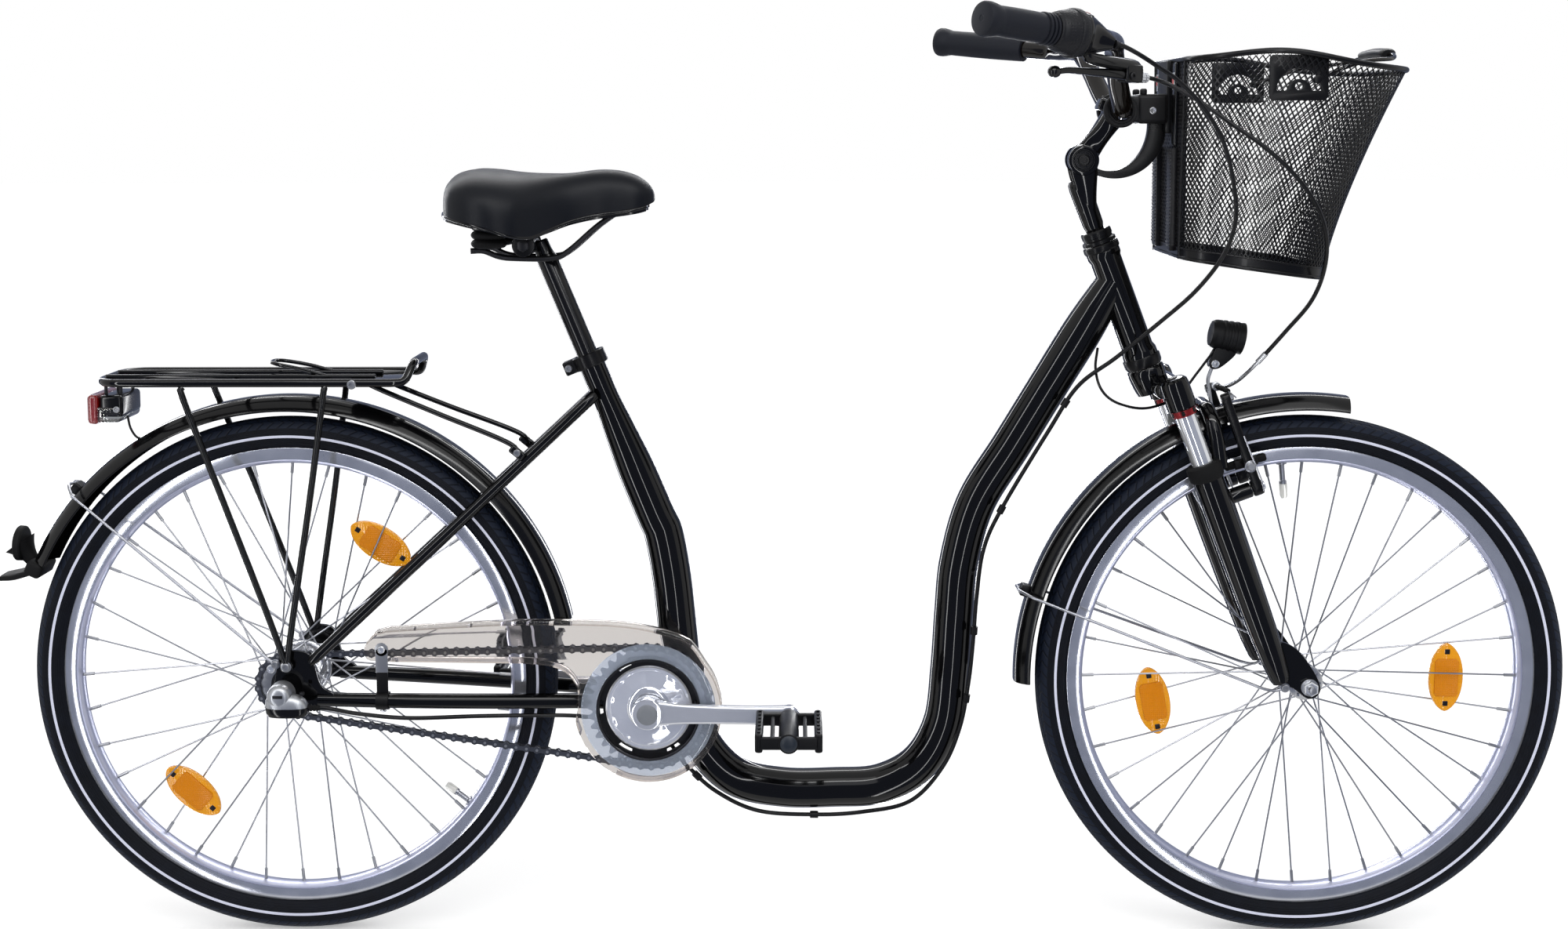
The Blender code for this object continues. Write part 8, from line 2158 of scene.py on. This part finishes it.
@dataclass
class Studio:
    """Pale floor, plain light and the camera at the photograph's viewpoint, in metres."""

    place: tuple[float, float, float] = (0.01866, -2.31850, 1.0023)
    yaw: float = 0.0121426
    pitch: float = -0.0971183
    roll: float = 0.0029502
    focal_pixels: float = 2450.0
    image: tuple[float, float] = (2000.0, 1185.0)
    principal: tuple[float, float] = (985.08, 393.83)
    floor_lift: float = 0.30
    world_strength: float = 0.78

    def camera(self) -> None:
        """Lens and shift come from the focal length and principal point in the photograph's pixels."""
        wide, tall = self.image
        lens = bpy.data.cameras.new("photo_camera")
        lens.sensor_width = 36.0
        lens.lens = self.focal_pixels / wide * lens.sensor_width
        lens.shift_x = (wide / 2 - self.principal[0]) / wide
        lens.shift_y = (self.principal[1] - tall / 2) / wide
        lens.clip_start = 0.05
        right, forward, up = (Matrix.Rotation(self.yaw, 3, "Z") @ Matrix.Rotation(self.pitch, 3, "X")
                              @ Matrix.Rotation(self.roll, 3, "Y")).col
        holder = bpy.data.objects.new("photo_camera", lens)
        holder.matrix_world = Matrix.Translation(Vector(self.place)) @ Matrix([right, up,
                                                                               -forward]).transposed().to_4x4()
        bpy.context.scene.collection.objects.link(holder)
        bpy.context.scene.camera = holder

    def sheet(self, name: str, corners: list, made: bpy.types.Material, *unseen: str) -> None:
        """One flat sheet of the studio.

        Args:
            name: its name.
            corners: its four corners.
            made: its material.
            unseen: the kinds of ray that miss it.
        """
        mesh = bpy.data.meshes.new(name)
        mesh.from_pydata(corners, [], [(0, 1, 2, 3)])
        mesh.materials.append(made)
        item = bpy.data.objects.new(name, mesh)
        for kind in unseen:
            setattr(item, "visible_" + kind, False)
        bpy.context.scene.collection.objects.link(item)

    def floor(self) -> None:
        """A broad pale floor that keeps the bike's soft shadow."""
        made, tree, shader = new_material("matt_white_paper", {
            "Base Color": linear("#f4f4f4"), "Roughness": 0.95, "Specular IOR Level": 0.1,
            "Emission Color": (1.0, 1.0, 1.0, 1.0)})
        path = add_node(tree, "LightPath").outputs
        lift = add_node(tree, "Math", {"operation": "MULTIPLY", 1: self.floor_lift}, {0: path["Is Camera Ray"]})
        tree.links.new(lift.outputs[0], shader.inputs["Emission Strength"])
        self.sheet("floor", [(-30, -30, 0), (30, -30, 0), (30, 30, 0), (-30, 30, 0)], made, "glossy")

    def world(self) -> None:
        """White all round for the camera, glossy and clear rays, and a little dimmer as light."""
        world = bpy.data.worlds.new("studio")
        bpy.context.scene.world = world
        world.use_nodes = True
        tree = world.node_tree
        background = tree.nodes["Background"]
        path = add_node(tree, "LightPath").outputs
        seen = path["Is Camera Ray"]
        for ray in ("Is Transmission Ray", "Is Glossy Ray"):
            seen = add_node(tree, "Math", {"operation": "MAXIMUM"}, {0: seen, 1: path[ray]}).outputs[0]
        strength = add_node(tree, "MapRange", {3: self.world_strength, 4: 1.0}, {0: seen})
        tree.links.new(strength.outputs[0], background.inputs["Strength"])
        background.inputs["Color"].default_value = (1.0, 1.0, 1.0, 1.0)

    def lamps(self) -> None:
        """A soft lamp overhead, and narrow strips that only gloss sees, which draw thin streaks along tubes."""
        rows = [("key_light", (0.6, -2.6, 3.2), (3.0, 3.0), 42.0), ("back_light", (-0.6, 2.6, 3.2), (3.0, 3.0), 22.0)]
        for side, name in ((-1, "near"), (1, "far")):
            rows += [("left_strip_" + name, (-2.4, side * 2.6, 0.2), (0.28, 6.0), 80.0),
                     ("front_strip_" + name, (0.62, side * 2.8, 0.2), (0.14, 6.0), 42.0),
                     ("top_strip_" + name, (0.0, side * 2.2, 2.9), (4.4, 0.24), 48.0)]
        for name, place, size, power in rows:
            lamp = bpy.data.lights.new(name, "AREA")
            lamp.shape = "RECTANGLE"
            lamp.size, lamp.size_y = size
            lamp.energy = power
            holder = bpy.data.objects.new(name, lamp)
            aim = Vector((0, 0, 0.5)) - Vector(place)
            holder.matrix_world = Matrix.Translation(Vector(place)) @ aim.to_track_quat("-Z",
                                                                                        "Y").to_matrix().to_4x4()
            holder.visible_diffuse = "strip" not in name
            bpy.context.scene.collection.objects.link(holder)

    def cards(self) -> None:
        """Dim cards in front and behind, seen only in gloss, so that black paint stays deep."""
        made, _, _ = new_material("black_felt_card", {
            "Base Color": linear("#0a0a0a"), "Roughness": 1.0, "Specular IOR Level": 0.0,
            "Emission Color": linear("#ccd8fb"), "Emission Strength": 0.38})
        for name, y in (("front_card", -5), ("back_card", 5)):
            self.sheet(name, [(-9, y, -6), (9, y, -6), (9, y, 5.5), (-9, y, 5.5)], made, "camera", "diffuse",
                       "transmission", "shadow")

    def build(self) -> None:
        """Set the view transform and make camera, floor and light."""
        bpy.context.scene.view_settings.view_transform = "Standard"
        self.camera()
        self.floor()
        self.world()
        self.lamps()
        self.cards()


def wheels() -> list[Wheel]:
    """The two wheels, with their hubs' turned outlines.

    Returns:
        The rear and the front wheel.
    """
    front_hub = doubled([(5, 44), (10.8, 44), (11.4, 42.5), (11.8, 38.5), (14, 36.8), (20.5, 36.1), (21.5, 35.2),
                         (21.5, 31.2), (20.5, 30), (15, 28.8), (12.8, 24), (12, 10)], shared=False)
    rear_hub = [(5, 48), (16, 48), (16.5, 47.5), (16.5, 33), (21, 30.5), (35, 30.1), (36, 29.2), (36, 25), (35, 23.9),
                (31, 22.8), (30, 20), (30, -20), (31, -22.8), (35, -23.9), (36, -25), (36, -29.2), (35, -30.1),
                (23, -31), (21.5, -36), (12.5, -38), (12.5, -50), (5, -50)]
    return [Wheel("rear", REAR_AXLE, 36, 27, rear_hub, -37.6, 230.4, ((107.2, 487.3), (-133.9, 174.5))),
            Wheel("front", FRONT_AXLE, 21.5, 33, front_hub, 95.6, 221.4, ((1057.4, 290.2), (1416, 320.1)))]


def mudguards() -> list[Mudguard]:
    """The two mudguards, each with the way its stay leaves the dropout.

    Returns:
        The rear and the front mudguard.
    """
    rear_foot = [spot(-9, 66, 354), spot(-18, 66, 360)]
    front_foot = [steer(20, 58, 11), steer(8, 58, 11.5), steer(-6, 59, 20)]
    return [Mudguard("rear", REAR_AXLE, 12, 155, 138.5, rear_foot, "frame"),
            Mudguard("front", FRONT_AXLE, 81.5, 181, 162.5, front_foot, "fork_slider")]


def main() -> None:
    """Load the frame and dress every sub-assembly."""
    logging.basicConfig(level=logging.INFO, format="%(name)s %(message)s")
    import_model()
    assemblies = [Studio(), Frame(), Seat(), Rack(), *mudguards(), GuardEnd(), Drive(), Fork(), Cockpit(), Basket(),
                  Cables(), *wheels(), Axle("rear_axle", REAR_AXLE, 58, 79.7, 82, "frame"),
                  Axle("front_axle", FRONT_AXLE, 50, 72, 72, "fork_slider")]
    for assembly in assemblies:
        assembly.build()


if __name__ == "__main__":
    main()
